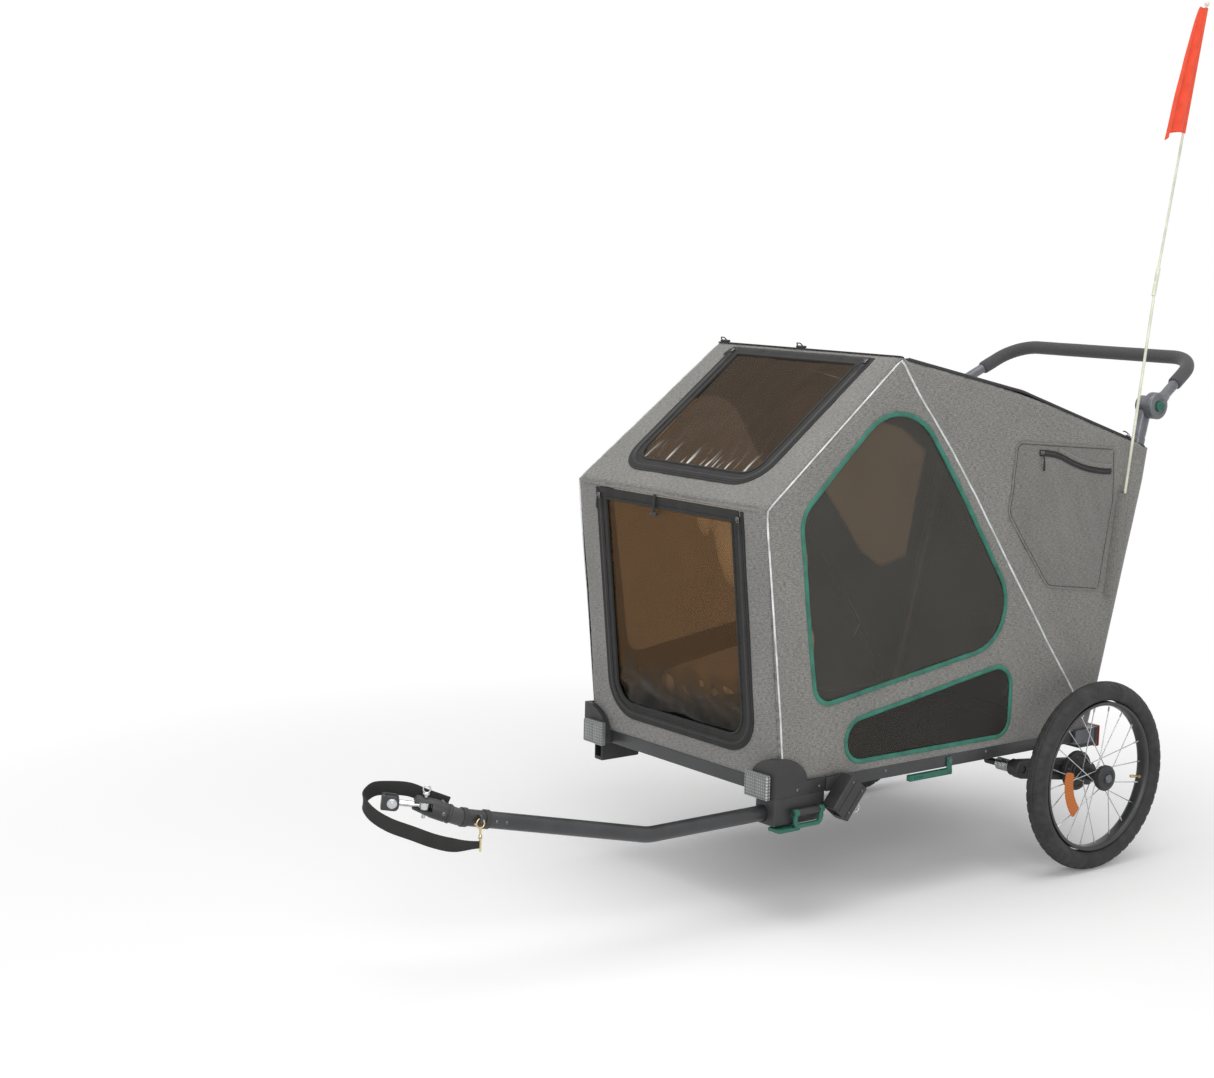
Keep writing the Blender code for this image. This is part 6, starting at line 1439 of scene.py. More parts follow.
def make_castings():
    rear = CORNER_FRONT_Y + CORNER_LENGTH
    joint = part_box("rail_right")[0].z + 0.002
    left = casting_shape(1)
    socket = bar("socket", (CORNER_OUTER_X - SOCKET_WIDTH, at(0, CORNER_FRONT_Y, 0).y,
                            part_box("corner_front_left")[0].z),
                 (CORNER_OUTER_X - 0.00005, at(0, rear, 0).y, joint), "plastic", None, 0.0035)
    carve(left, [socket], "UNION")
    bore = cylinder("bore", at(DRAWBAR_X, CORNER_FRONT_Y - 0.002, DRAWBAR_Z),
                    at(DRAWBAR_X, CORNER_FRONT_Y + SOCKET_DEPTH, DRAWBAR_Z), DRAWBAR_RADIUS + 0.0005,
                    "plastic", None, 0.0, 48)
    rim = cylinder("rim", at(DRAWBAR_X, CORNER_FRONT_Y - 0.002, DRAWBAR_Z),
                   at(DRAWBAR_X, CORNER_FRONT_Y + 0.0016,
                   DRAWBAR_Z), DRAWBAR_RADIUS + 0.0018, "plastic", None, 0.0, 48)
    carve(left, [bore, rim])
    x, z = LATCH_PIVOT
    front, back = LATCH_FRONT_Y + LATCH_EAR / 2 + GAP, LATCH_REAR_Y - LATCH_EAR / 2 - GAP
    shaft = cylinder("shaft", at(x, LATCH_FRONT_Y - LATCH_EAR / 2 - 0.0016, z),
                     at(x, LATCH_REAR_Y + LATCH_EAR / 2 + 0.0016, z), LATCH_ROD_RADIUS, "plastic", None,
                     0.0006, 24)
    barrel = cylinder("barrel", at(x, front, z), at(x, back, z), 0.9 * LATCH_EAR_RADIUS, "plastic", None,
                      0.0008, 32)
    web = bar("web", at(CORNER_OUTER_X - 0.002, front + 0.002, z - LATCH_ROD_RADIUS),
              at(x, back - 0.002, z + LATCH_ROD_RADIUS), "plastic", None, 0.0008)
    carve(left, [shaft, barrel, web], "UNION")
    foot_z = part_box("corner_front_right")[0].z
    right = casting_shape(-1)
    inner = CORNER_OUTER_X - FOOT_WIDTH
    foot = bar("foot", (-CORNER_OUTER_X + 0.00005, at(0, 0.066, 0).y, foot_z),
               (-inner, at(0, rear, 0).y, joint), "plastic", None, 0.0030)
    carve(right, [foot], "UNION")
    recess = bar("recess", at(0.004 - CORNER_OUTER_X, 0.064, foot_z + 0.008),
                 at(-inner - 0.004, 0.126, joint - 0.016), "plastic", None, 0.0014)
    carve(right, [recess])
    for hand, side, made in (("left", 1, left), ("right", -1, right)):
        made.name = f"casting_{hand}"
        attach(made, "chassis")
        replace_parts(made, f"corner_front_{hand}")
        outer = side * CORNER_OUTER_X
        screw(f"casting_screw_{hand}", at(outer, 0.094, 0.266), (side, 0, 0), 0.0042, "chassis")
        screw(f"casting_screw_rear_{hand}", at(outer, 0.150, 0.2665), (side, 0, 0), 0.0030, "chassis")
        name = f"front_reflector_{hand}"
        low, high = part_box(name)
        reflector(f"front_lens_{hand}", low, high, -1, "clear", ((0.0, 0.5), (0.5, 1.0)), name)


def eyed(piece, start, end, radius):
    """The same piece with a round bore through it."""
    return carve(piece, [cylinder("bore", start, end, radius, "green", None, 0.0, 32)])


def make_latch():
    """The green bail beside the drawbar's socket, and its foot that hooks under the casting."""
    x, z = LATCH_PIVOT
    low = z - LATCH_DROP
    path = bent([at(x, LATCH_FRONT_Y, z), at(x, LATCH_FRONT_Y, low), at(x, LATCH_REAR_Y, low),
                 at(x, LATCH_REAR_Y, z)], 0.009, 8)
    bail = tube("latch_bail", path, LATCH_WIRE, "green", None, 24)
    ears = [cylinder("ear", at(x, y - LATCH_EAR / 2, z), at(x, y + LATCH_EAR / 2, z), LATCH_EAR_RADIUS,
                     "green", None, 0.0008) for y in (LATCH_FRONT_Y, LATCH_REAR_Y)]
    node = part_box("drawbar_latch")
    foot_low = (DRAWBAR_X + DRAWBAR_RADIUS, node[0].y, 0.1905)
    foot = bar("foot", foot_low, (x, at(0, LATCH_FRONT_Y + 3 * LATCH_WIRE, 0).y, 0.198), "green", None,
               0.0016)
    carve(bail, ears + [foot], "UNION")
    eyed(bail, at(x, LATCH_FRONT_Y - LATCH_EAR, z), at(x, LATCH_REAR_Y + LATCH_EAR, z),
         LATCH_ROD_RADIUS + GAP)
    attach(bail, "drawbar_latch")
    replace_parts(bail, "drawbar_latch")


def make_lever():
    low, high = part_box("rail_lever")
    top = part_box("rail_right")[0].z - 0.0040
    body = bar("lever_bar", (low.x, low.y, low.z), (high.x, high.y, top), "green", None, 0.0016)
    pin = at(0, LEVER_PIN_Y, LEVER_PIN_Z)
    ear = bar("ear", (high.x - 0.004, pin.y - LEVER_EAR / 2, top - 0.006),
              (high.x - 0.00005, pin.y + LEVER_EAR / 2, high.z), "green", None, 0.0012)
    carve(body, [ear], "UNION")
    eyed(body, Vector((low.x, pin.y, pin.z)), Vector((high.x + 0.002, pin.y, pin.z)), LEVER_PIN_RADIUS + GAP)
    ribs = [bar("rib", (high.x - 0.0012, low.y + 0.010 + 0.007 * k, low.z + 0.0030),
                (high.x + 0.0012, low.y + 0.0135 + 0.007 * k, top - 0.0030), "green", None, 0.0003)
            for k in range(4)]
    carve(body, ribs)
    body.name = "lever"
    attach(body, "rail_lever")
    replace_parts(body, "rail_lever")


RECEIVER = (0.199, 0.2425, 50.0)          # y, z and tilt of the walking wheel's socket
RECEIVER_SIZE = (0.036, 0.076, 0.050)
PULL_PIN_RADIUS = 0.0040
PULL_RING_RADIUS = 0.0085
PULL_RING_WIRE = 0.0014


def torus(name, centre, normal, radius, wire, look, body, steps=32, sides=10):
    frame_at = along(normal, centre)
    path = [frame_at @ Vector((0.0, radius * math.cos(math.tau * k / steps),
                               radius * math.sin(math.tau * k / steps)))
            for k in range(steps)]
    return tube(name, path, wire, look, body, sides, True)


def make_receiver():
    y, z, tilt = RECEIVER
    tilt = math.radians(tilt)
    run, across = Vector((0, -math.cos(tilt), -math.sin(tilt))), Vector((0, math.sin(tilt), -math.cos(tilt)))
    width, length, depth = RECEIVER_SIZE
    inner = CORNER_OUTER_X + GAP
    centre = at(inner + width / 2, y, z)
    frame_at = Matrix((Vector((1, 0, 0)), run, across)).transposed().to_4x4()
    frame_at.translation = centre
    half = Vector((width, length, depth)) / 2
    made = bar("receiver", -half, half, "plastic", None, 0.0030, frame_at)
    rail_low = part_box("rail_right")[0].z
    rail_outer = CABIN_HALF_WIDTH - 0.001
    foot = bar("foot", at(rail_outer + GAP, CORNER_FRONT_Y + CORNER_LENGTH + 4 * GAP, rail_low),
               at(inner + 0.002, y + 0.36 * length, RAIL_TOP_Z - GAP), "plastic", None, 0.0008)
    carve(made, [foot], "UNION")
    outer = half.x
    grooves = [bar("groove", (outer - 0.0012, -half.y - 0.002, s * 0.011 - 0.0009),
                   (outer + 0.002, half.y + 0.002,
               s * 0.011 + 0.0009), "plastic", None, 0.0003, frame_at) for s in (-1.0, 1.0)]
    mouth = bar("mouth", (-half.x + 0.005, half.y - 0.007, -half.z + 0.008), (half.x - 0.005, half.y + 0.002,
                half.z - 0.016), "plastic", None, 0.0020, frame_at)
    bore = cylinder("bore", centre + across * 0.004, centre + across * (half.z + 0.002),
                    PULL_PIN_RADIUS + GAP, "plastic", None, 0.0, 32)
    carve(made, grooves + [mouth, bore])
    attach(made, "chassis")
    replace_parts(made, "wheel_receiver")
    for name, s, t in (("a", -0.36, -0.30), ("b", -0.36, 0.30), ("c", 0.30, 0.30)):
        screw(f"receiver_screw_{name}",
              centre + Vector((half.x, 0, 0)) + run * (s * length) + across * (t * depth), (1, 0, 0), 0.0028,
              "chassis")
    face = centre + across * half.z
    end = face + across * (2.2 * PULL_PIN_RADIUS)
    pin = cylinder("pull_pin_stem", centre + across * (0.004 + GAP), end, PULL_PIN_RADIUS, "steel", None,
                   0.0006, 32)
    collar = cylinder("collar", face + across * GAP, face + across * (GAP + 1.2 * PULL_PIN_RADIUS),
                      1.6 * PULL_PIN_RADIUS, "steel", None, 0.0008, 32)
    loop = torus("loop", end + across * (PULL_RING_RADIUS - 1.5 * PULL_RING_WIRE), (1, 0, 0),
                 PULL_RING_RADIUS, PULL_RING_WIRE, "steel", None)
    carve(pin, [collar, loop], "UNION")
    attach(pin, "pull_pin")
    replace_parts(pin, "pull_pin")


make_hoops()
make_rails()
make_floor()
make_rear_beam()
make_castings()
make_latch()
make_lever()
make_receiver()


# Push handle

POST_RADIUS = 0.0135
POST_X = 0.270
POST_FOOT_Y, POST_SLOPE = 0.9170, 0.258
PIVOT_Z = 0.964
POST_HEAD_RADIUS = 0.020
COLLAR_RADIUS, COLLAR_Z, COLLAR_HEIGHT = 0.0147, 0.8810, 0.014
CHEEK_HALF_WIDTH, CHEEK_HALF_DEPTH = 0.0133, 0.0150      # of the oval over the post's upper end
CHEEK_SWELL = 1.002                      # past its first ring
REAR_TIE_RADIUS, REAR_TIE_Z = 0.010, 0.852
KNUCKLE_RADIUS, KNUCKLE_WIDTH = 0.0285, 0.023
HANDLE_RADIUS = 0.011
HANDLE_ARM_X = POST_X + 0.5 * KNUCKLE_WIDTH + POST_RADIUS
HANDLE_TAPER = 0.037
HANDLE_REACH, HANDLE_RISE, HANDLE_BEND = 0.178, 0.095, 0.075
GRIP_RADIUS, GRIP_START = 0.0150, 0.093
BUTTON_RADIUS, BUTTON_DEPTH, BUTTON_PROUD = 0.0115, 0.010, 0.004


def post_at(z):
    return POST_FOOT_Y + POST_SLOPE * (z - RAIL_TOP_Z)


def pivot_point(x):
    return at(x, post_at(PIVOT_Z), PIVOT_Z)


def handle_path(start):
    corner = pivot_point(HANDLE_ARM_X - HANDLE_TAPER) + Vector((0, HANDLE_REACH, HANDLE_RISE))
    flip = Vector((-1, 1, 1))
    centre = pivot_point(HANDLE_ARM_X)
    path = bent([centre, corner, corner * flip, centre * flip], HANDLE_BEND, 16)
    near = centre + (corner - centre).normalized() * start
    path[0], path[-1] = near, near * flip
    return path


def make_posts():
    foot = RAIL_TOP_Z + GAP
    tie_y = post_at(REAR_TIE_Z)
    frame_made = cylinder("posts", at(-POST_X, tie_y, REAR_TIE_Z), at(POST_X, tie_y, REAR_TIE_Z),
                          REAR_TIE_RADIUS, "grey_paint", None, 0.0, 28)
    rise = (pivot_point(0) - at(0, post_at(foot), foot)).normalized()
    pieces = []
    for side in (1, -1):
        x = side * POST_X
        low = at(x, post_at(foot), foot) - rise * POST_RADIUS
        pieces.append(cylinder("post", low, pivot_point(x) - rise * 0.002, POST_RADIUS, "grey_paint", None,
                               0.0, 40))
        collar = at(x, post_at(COLLAR_Z), COLLAR_Z)
        pieces.append(cylinder("collar", collar, collar + rise * COLLAR_HEIGHT, COLLAR_RADIUS, "grey_paint",
                               None, 0.0012, 40))
        start, end = collar + rise * (COLLAR_HEIGHT + 0.006), pivot_point(x) - rise * 0.006
        cheek = [start.lerp(end, k / 8) for k in range(9)]
        section = [(CHEEK_HALF_WIDTH * a, CHEEK_HALF_DEPTH * b) for a, b in circle(1.0, 32)]
        pieces.append(sweep("cheek", cheek, section, "grey_paint", None, up=(0, -1, 0.3),
                            scale=lambda s: 1.0 if s < 0.001 else CHEEK_SWELL))
        pieces.append(cylinder("head", pivot_point(side * (POST_X - POST_RADIUS)),
                               pivot_point(side * (POST_X + POST_RADIUS)), POST_HEAD_RADIUS, "grey_paint",
                               None, 0.0016, 56))
    carve(frame_made, pieces, "UNION")
    level = bar("level", at(-POST_X - 0.03, POST_FOOT_Y - 0.03, foot - 0.03),
                at(POST_X + 0.03, POST_FOOT_Y + 0.03, foot), "grey_paint", None, 0.0)
    carve(frame_made, [level])
    frame_made.name = "handle_frame"
    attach(frame_made, "chassis")
    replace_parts(frame_made, "handle_posts")
    for side, hand in HANDS:
        inner = side * (POST_X - POST_RADIUS)
        hex_head(f"pivot_bolt_{hand}", pivot_point(inner), (-side, 0, 0), 0.0070, 0.0045, "chassis",
                 "dark_steel")
        foot_bolt = at(side * (POST_X + POST_RADIUS - 0.0002), post_at(0.300), 0.300)
        screw(f"post_screw_{hand}", foot_bolt, (side, 0, 0), 0.0040, "chassis")


def make_handle():
    inner = POST_X + POST_RADIUS + GAP
    made = tube("handle_tube", handle_path(0.9 * KNUCKLE_RADIUS), HANDLE_RADIUS, "grey_paint", None, 32)
    pieces, wells = [], []
    path = handle_path(0.0)
    reach = (path[1] - path[0]).normalized()
    for side in (1, -1):
        outer = inner + KNUCKLE_WIDTH
        frame_at = along((side, 0, 0), pivot_point(side * inner))
        profile = [(0.0, 0.0), (0.0, KNUCKLE_RADIUS - 0.0012), (0.0012, KNUCKLE_RADIUS),
                   (0.0100, KNUCKLE_RADIUS), (0.0106, KNUCKLE_RADIUS - 0.0010),
                   (0.0116, KNUCKLE_RADIUS - 0.0010), (0.0122, KNUCKLE_RADIUS),
                   (KNUCKLE_WIDTH - 0.0030, KNUCKLE_RADIUS),
                   (KNUCKLE_WIDTH - 0.0010, KNUCKLE_RADIUS - 0.0012),
                   (KNUCKLE_WIDTH, KNUCKLE_RADIUS - 0.0034), (KNUCKLE_WIDTH, 0.0170),
                   (KNUCKLE_WIDTH - 0.0010, 0.0164), (KNUCKLE_WIDTH - 0.0010, 0.0)]
        pieces.append(lathe("knuckle", profile, frame_at, "grey_paint", None, 64))
        arm = Vector((side * reach.x, reach.y, reach.z))
        neck = pivot_point(side * HANDLE_ARM_X)
        pieces.append(sweep("neck", [neck + arm * s for s in (0.006, 0.020, 0.030, 0.044, 0.046)],
                            box_section(0.0215, 0.0290, 0.0085), "grey_paint", None, up=(1, 0, 0),
                            scale=lambda s: float(np.interp(s, [0.0, 0.4, 0.7, 0.96, 1.0],
                                                            [1.0, 1.0, 0.96, 0.86, 0.80]))))
        wells.append(cylinder("well", pivot_point(side * (outer - BUTTON_DEPTH)),
                              pivot_point(side * (outer + 0.002)), BUTTON_RADIUS + GAP + 0.0002, "grey_paint",
                              None, 0.0, 48))
    carve(made, pieces, "UNION")
    carve(made, wells)
    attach(made, "handle")
    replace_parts(made, "handle_bar")
    for side, hand in HANDS:
        face = side * (inner + KNUCKLE_WIDTH + BUTTON_PROUD)
        back = pivot_point(face - side * BUTTON_DEPTH)
        profile = [(0.0, 0.0), (0.0, BUTTON_RADIUS), (BUTTON_DEPTH - 0.0012, BUTTON_RADIUS),
                   (BUTTON_DEPTH - 0.0003, BUTTON_RADIUS - 0.0008), (BUTTON_DEPTH, BUTTON_RADIUS - 0.0020),
                   (BUTTON_DEPTH - 0.0006, BUTTON_RADIUS - 0.0032),
                   (BUTTON_DEPTH - 0.0014, BUTTON_RADIUS - 0.0050), (BUTTON_DEPTH - 0.0006, 0.0048),
                   (BUTTON_DEPTH - 0.0006, 0.0026), (BUTTON_DEPTH - 0.0014, 0.0020),
                   (BUTTON_DEPTH - 0.0014, 0.0)]
        button = lathe(f"handle_push_{hand}", profile, along((side, 0, 0), back), "green", f"button_{hand}",
                       56)
        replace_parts(button, f"handle_button_{hand}")
        arm = Vector((side * reach.x, reach.y, reach.z))
        for k, reach_at in enumerate((0.064, 0.076)):
            spot = pivot_point(side * HANDLE_ARM_X) + arm * reach_at
            out = Vector((side, 0.0, 0.0))
            out = (out - arm * out.dot(arm)).normalized()
            cylinder(f"snap_pin_{k}_{hand}", spot + out * (HANDLE_RADIUS - 0.001),
                     spot + out * (HANDLE_RADIUS + 0.0008), 0.0024, "dark_steel", "handle", 0.0005, 20)


def make_grip():
    """The foam over the bar: a little thicker between its ends, and ruffled inside the bends."""
    path = evenly(handle_path(GRIP_START), 0.004, False)
    frames = frames_along(path)
    total = len(path) - 1
    middle = sum(path, Vector()) / len(path)
    bm = bmesh.new()
    sides, rings = 40, []
    turning = []
    for i, here in enumerate(path):
        before, after = path[max(i - 3, 0)], path[min(i + 3, total)]
        bend = (here - before).angle(after - here, 0.0) if 3 <= i <= total - 3 else 0.0
        turning.append(bend)
    for i, (here, (_, normal, side)) in enumerate(zip(path, frames)):
        end = min(i, total - i) * 0.004
        rounding = 0.0022 * max(0.0, 1.0 - end / 0.004) ** 2
        ring = []
        for k in range(sides):
            t = math.tau * k / sides
            out = side * math.cos(t) + normal * math.sin(t)
            inward = max(0.0, out.dot((middle - here).normalized()))
            ruffle = 0.0006 * min(1.0, turning[i] * 6.0) * inward * math.sin(i * 2.1)
            lump = 0.00025 * noise.noise(here * 30.0 + out * 2.0)
            ring.append(bm.verts.new(here + out * (GRIP_RADIUS - rounding + ruffle + lump)))
        rings.append(ring)
    for i in range(total, -1, -1):
        here, (_, normal, side) = path[i], frames[i]
        rings.append([bm.verts.new(here + (side * math.cos(math.tau * k / sides) + normal * math.sin(
            math.tau * k / sides)) * (HANDLE_RADIUS + GAP)) for k in range(sides)])
    for i in range(len(rings)):
        a, b = rings[i], rings[(i + 1) % len(rings)]
        for k in range(sides):
            bm.faces.new((a[k - 1], a[k], b[k], b[k - 1]))
    foam = finish_mesh("foam_grip", bm, "foam", "handle", 60.0)
    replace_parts(foam, "handle_grip")


make_posts()
make_handle()
make_grip()


# Wheels and their suspension

WHEEL_X = 0.363
AXLE_Y = 0.880
WHEEL_RADIUS = 0.200
TYRE_WIDTH = 0.045
RIM_OUTER_RADIUS = WHEEL_RADIUS - 0.0415
RIM_INNER_RADIUS = RIM_OUTER_RADIUS - 0.0095
RIM_WIDTH = 0.028
RIM_FACETS = 36                          # of the CAD rim, for the spokes' length
SPOKE_COUNT = 20
SPOKE_RADIUS = 0.0012
SPOKE_LEAN = 52.0
HUB_FLANGE_RADIUS, HUB_FLANGE_OFFSET = 0.024, 0.018
HUB_CORE_RADIUS, HUB_BORE_RADIUS = 0.013, 0.0066
BRAKE_DISC_X, BRAKE_DISC_RADIUS, BRAKE_DISC_WIDTH = 0.308, 0.042, 0.010
HUB_CAP_X, HUB_CAP_RADIUS, HUB_CAP_WIDTH = 0.386, 0.027, 0.011
AXLE_RADIUS, AXLE_END_X = 0.0060, 0.3835
RELEASE_RADIUS, RELEASE_PROUD = 0.0090, 0.0045
LENS_RADIUS, LENS_WIDTH, LENS_ARC, LENS_ANGLE, LENS_THICKNESS = 0.098, 0.036, 62.0, 195.5, 0.004
LENS_CORNER = 0.006
VALVE_ANGLE = -8.7
PIVOT_Y, ARM_PIVOT_Z = 0.722, 0.221
SHAFT_RADIUS = 0.0070
BRACKET_INNER_X, BRACKET_BOTTOM_Z = 0.200, 0.199
BRACKET_EAR, BRACKET_LENGTH, BRACKET_PLATE = 0.033, 0.070, 0.005
SLEEVE_RADIUS, SLEEVE_X = 0.0175, 0.275
ARM_WIDTH, ARM_PIVOT_RADIUS, ARM_AXLE_RADIUS = 0.021, 0.0195, 0.0230
SPRING_TURNS, SPRING_RADIUS, SPRING_WIRE = 9, 0.0118, 0.0024
ARM_OUTER_X = BRAKE_DISC_X - 2 * GAP - 0.001


def wheel_frame(side):
    """X outwards along the axle, and the zero angle towards the rear."""
    return along((side, 0, 0), at(0, AXLE_Y, WHEEL_RADIUS))


def make_tyre(side, hand):
    """The tyre, with wedge grooves over its tread and ribs at the beads."""
    half, bead = TYRE_WIDTH / 2, RIM_OUTER_RADIUS + GAP
    middle, rise = (WHEEL_RADIUS + bead) / 2, (WHEEL_RADIUS - bead) / 2
    turns = [math.radians(a) for a in (-63, -56, -48, -38, -26, -14, -2, 6, 13, 19, 25, 31, 37, 43, 49, 55,
                                       61, 67, 73, 79, 84, 87)]
    ring = [(half * math.cos(t), middle + rise * math.sin(t), math.degrees(t)) for t in turns]
    profile = ring + [(-x, r, d) for x, r, d in reversed(ring)]
    steps = 384
    axes = wheel_frame(side)
    bm = bmesh.new()
    rings = []
    for k in range(steps):
        angle = math.tau * k / steps
        line = []
        for x, r, lean in profile:
            depth = 0.0
            if lean > 10:
                shoulder = (lean - 10.0) / 80.0
                slant = 3.2 * (1.0 - shoulder) * (1 if x > 0 else -1)
                spot = (k + slant + (4 if x > 0 else 0)) % 8
                wedge = 1.0 if spot < 1.2 + 1.6 * (1.0 - shoulder) else 0.0
                if lean < 84:
                    depth = 0.0013 * wedge * smooth_step(lean, 10, 22)
                if 76 < lean < 82:
                    depth = max(depth, 0.0012)
            elif -40 < lean < -36 or -3 < lean < -1:
                depth = -0.0005
            centre = Vector((0.0, middle))
            here = Vector((x, r))
            out = (here - centre).normalized()
            here -= out * depth
            line.append(bm.verts.new(axes @ Vector((WHEEL_X + here.x, here.y * math.cos(angle),
                                                    here.y * math.sin(angle)))))
        rings.append(line)
    for k in range(steps):
        a, b = rings[k], rings[(k + 1) % steps]
        for i in range(len(profile)):
            bm.faces.new((a[i - 1], a[i], b[i], b[i - 1]))
    tyre = finish_mesh(f"tread_tyre_{hand}", bm, "tyre", f"wheel_{hand}", 28.0)
    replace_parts(tyre, f"tyre_{hand}")


def spoke_ends(k):
    angle = math.tau * (k + 0.25) / SPOKE_COUNT
    foot_angle = angle + math.radians(SPOKE_LEAN if k % 4 < 2 else -SPOKE_LEAN)
    foot_x = WHEEL_X + HUB_FLANGE_OFFSET * (-1 if k % 2 else 1)
    foot_radius = HUB_FLANGE_RADIUS - 2 * SPOKE_RADIUS
    tip_radius = RIM_INNER_RADIUS * math.cos(math.pi / RIM_FACETS) - 2 * GAP
    foot = Vector((foot_x, foot_radius * math.cos(foot_angle), foot_radius * math.sin(foot_angle)))
    return foot, Vector((WHEEL_X, tip_radius * math.cos(angle), tip_radius * math.sin(angle)))


def outer_spoke_x(radius):
    foot, tip = spoke_ends(0)
    start, run = foot.yz, tip.yz - foot.yz
    mixed = start.dot(run)
    share = (math.sqrt(mixed * mixed - run.dot(run) * (start.dot(start) - radius * radius))
             - mixed) / run.dot(run)
    return foot.x + (tip.x - foot.x) * share


def make_rim(side, hand):
    half = RIM_WIDTH / 2
    profile = [(WHEEL_X - half + 0.0008, RIM_OUTER_RADIUS), (WHEEL_X - half, RIM_OUTER_RADIUS - 0.0008),
               (WHEEL_X - half, RIM_INNER_RADIUS + 0.0045),
               (WHEEL_X - 0.85 * half, RIM_INNER_RADIUS + 0.0022),
               (WHEEL_X - 0.5 * half, RIM_INNER_RADIUS + 0.0003), (WHEEL_X - 0.35 * half, RIM_INNER_RADIUS)]
    profile += [(2 * WHEEL_X - x, r) for x, r in reversed(profile)]
    rim = lathe(f"rim_hoop_{hand}", profile, wheel_frame(side), "paint", f"wheel_{hand}", 180, 40.0, True)
    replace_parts(rim, f"rim_{hand}")


def make_hub(side, hand):
    axes, body = wheel_frame(side), f"wheel_{hand}"
    outer, core, flange = BRAKE_DISC_X + BRAKE_DISC_WIDTH, HUB_CORE_RADIUS, 0.002
    profile = [(BRAKE_DISC_X, HUB_BORE_RADIUS), (BRAKE_DISC_X, 0.0410),
               (BRAKE_DISC_X + 0.001, BRAKE_DISC_RADIUS), (outer - 0.001, BRAKE_DISC_RADIUS), (outer, 0.0410),
               (outer, 0.0340), (outer - 0.0018, 0.0325), (outer - 0.0018, 0.0235), (outer, 0.0220),
               (outer, 0.0150), (outer + 0.002, core)]
    for sign in (-1, 1):
        place = WHEEL_X + sign * HUB_FLANGE_OFFSET
        profile += [(place - 0.004, core), (place - flange, core + 0.002),
                    (place - flange, HUB_FLANGE_RADIUS - 0.0008),
                    (place - flange + 0.0008, HUB_FLANGE_RADIUS),
                    (place + flange - 0.0008, HUB_FLANGE_RADIUS),
                    (place + flange, HUB_FLANGE_RADIUS - 0.0008), (place + flange, core + 0.002),
                    (place + 0.0028, core)]
    face = HUB_CAP_X + HUB_CAP_WIDTH
    well = RELEASE_RADIUS + GAP + 0.0002
    profile += [(HUB_CAP_X, core), (HUB_CAP_X, HUB_CAP_RADIUS - 0.0006), (HUB_CAP_X + 0.0006, HUB_CAP_RADIUS),
                (face - 0.0034, HUB_CAP_RADIUS), (face - 0.0010, HUB_CAP_RADIUS - 0.0016),
                (face, HUB_CAP_RADIUS - 0.0044), (face, 0.0170), (face - 0.0012, 0.0160),
                (face - 0.0012, 0.0130), (face, 0.0118), (face, well + 0.0006), (face - 0.0006, well),
                (HUB_CAP_X, well), (HUB_CAP_X, HUB_BORE_RADIUS)]
    pieces = [lathe(f"hub_shell_{hand}", profile, axes, "plastic", body, 72, 35.0, True)]
    for k in range(SPOKE_COUNT):
        foot, tip = spoke_ends(k)
        run = (tip - foot).normalized()
        pieces.append(tube("spoke", [axes @ foot, axes @ (foot + run * 0.06), axes @ (tip - run * 0.011)],
                           0.00105, "steel", body, 10))
        nipple = [(0.0, 0.0), (0.0, 0.0016), (0.0015, 0.0019), (0.0105, 0.0019), (0.0105, 0.0)]
        pieces.append(lathe("nipple", nipple, along(axes.to_3x3() @ run, axes @ (tip - run * 0.0115)),
                            "steel", body, 10))
        elbow = Vector((1.0 if foot.x > WHEEL_X else -1.0, 0.0, 0.0))
        pieces.append(cylinder("head", axes @ (foot - elbow * 0.0024), axes @ (foot + elbow * 0.0030), 0.0017,
                               "steel", body, 0.0006, 10))
    for k in range(5):
        t = math.tau * (k + 0.3) / 5
        spot = axes @ Vector((outer - 0.0018, 0.0280 * math.cos(t), 0.0280 * math.sin(t)))
        pieces.append(screw("disc_screw", spot, (side, 0, 0), 0.0032, body))
    hub = join(f"hub_spokes_{hand}", pieces)
    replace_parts(hub, f"hub_{hand}")
    t = math.radians(VALVE_ANGLE if side > 0 else 180.0 - VALVE_ANGLE)
    run = axes.to_3x3() @ Vector((0.0, -math.cos(t), -math.sin(t)))
    base = axes @ Vector((WHEEL_X, (RIM_INNER_RADIUS - GAP) * math.cos(t),
                          (RIM_INNER_RADIUS - GAP) * math.sin(t)))
    valve = [(0.0, 0.0), (0.0, 0.0042), (0.0022, 0.0042), (0.0026, 0.0027), (0.0200, 0.0027),
             (0.0204, 0.0034), (0.0300, 0.0034), (0.0310, 0.0026), (0.0310, 0.0)]
    lathe(f"valve_{hand}", valve, along(run, base), "brass", body, 24)


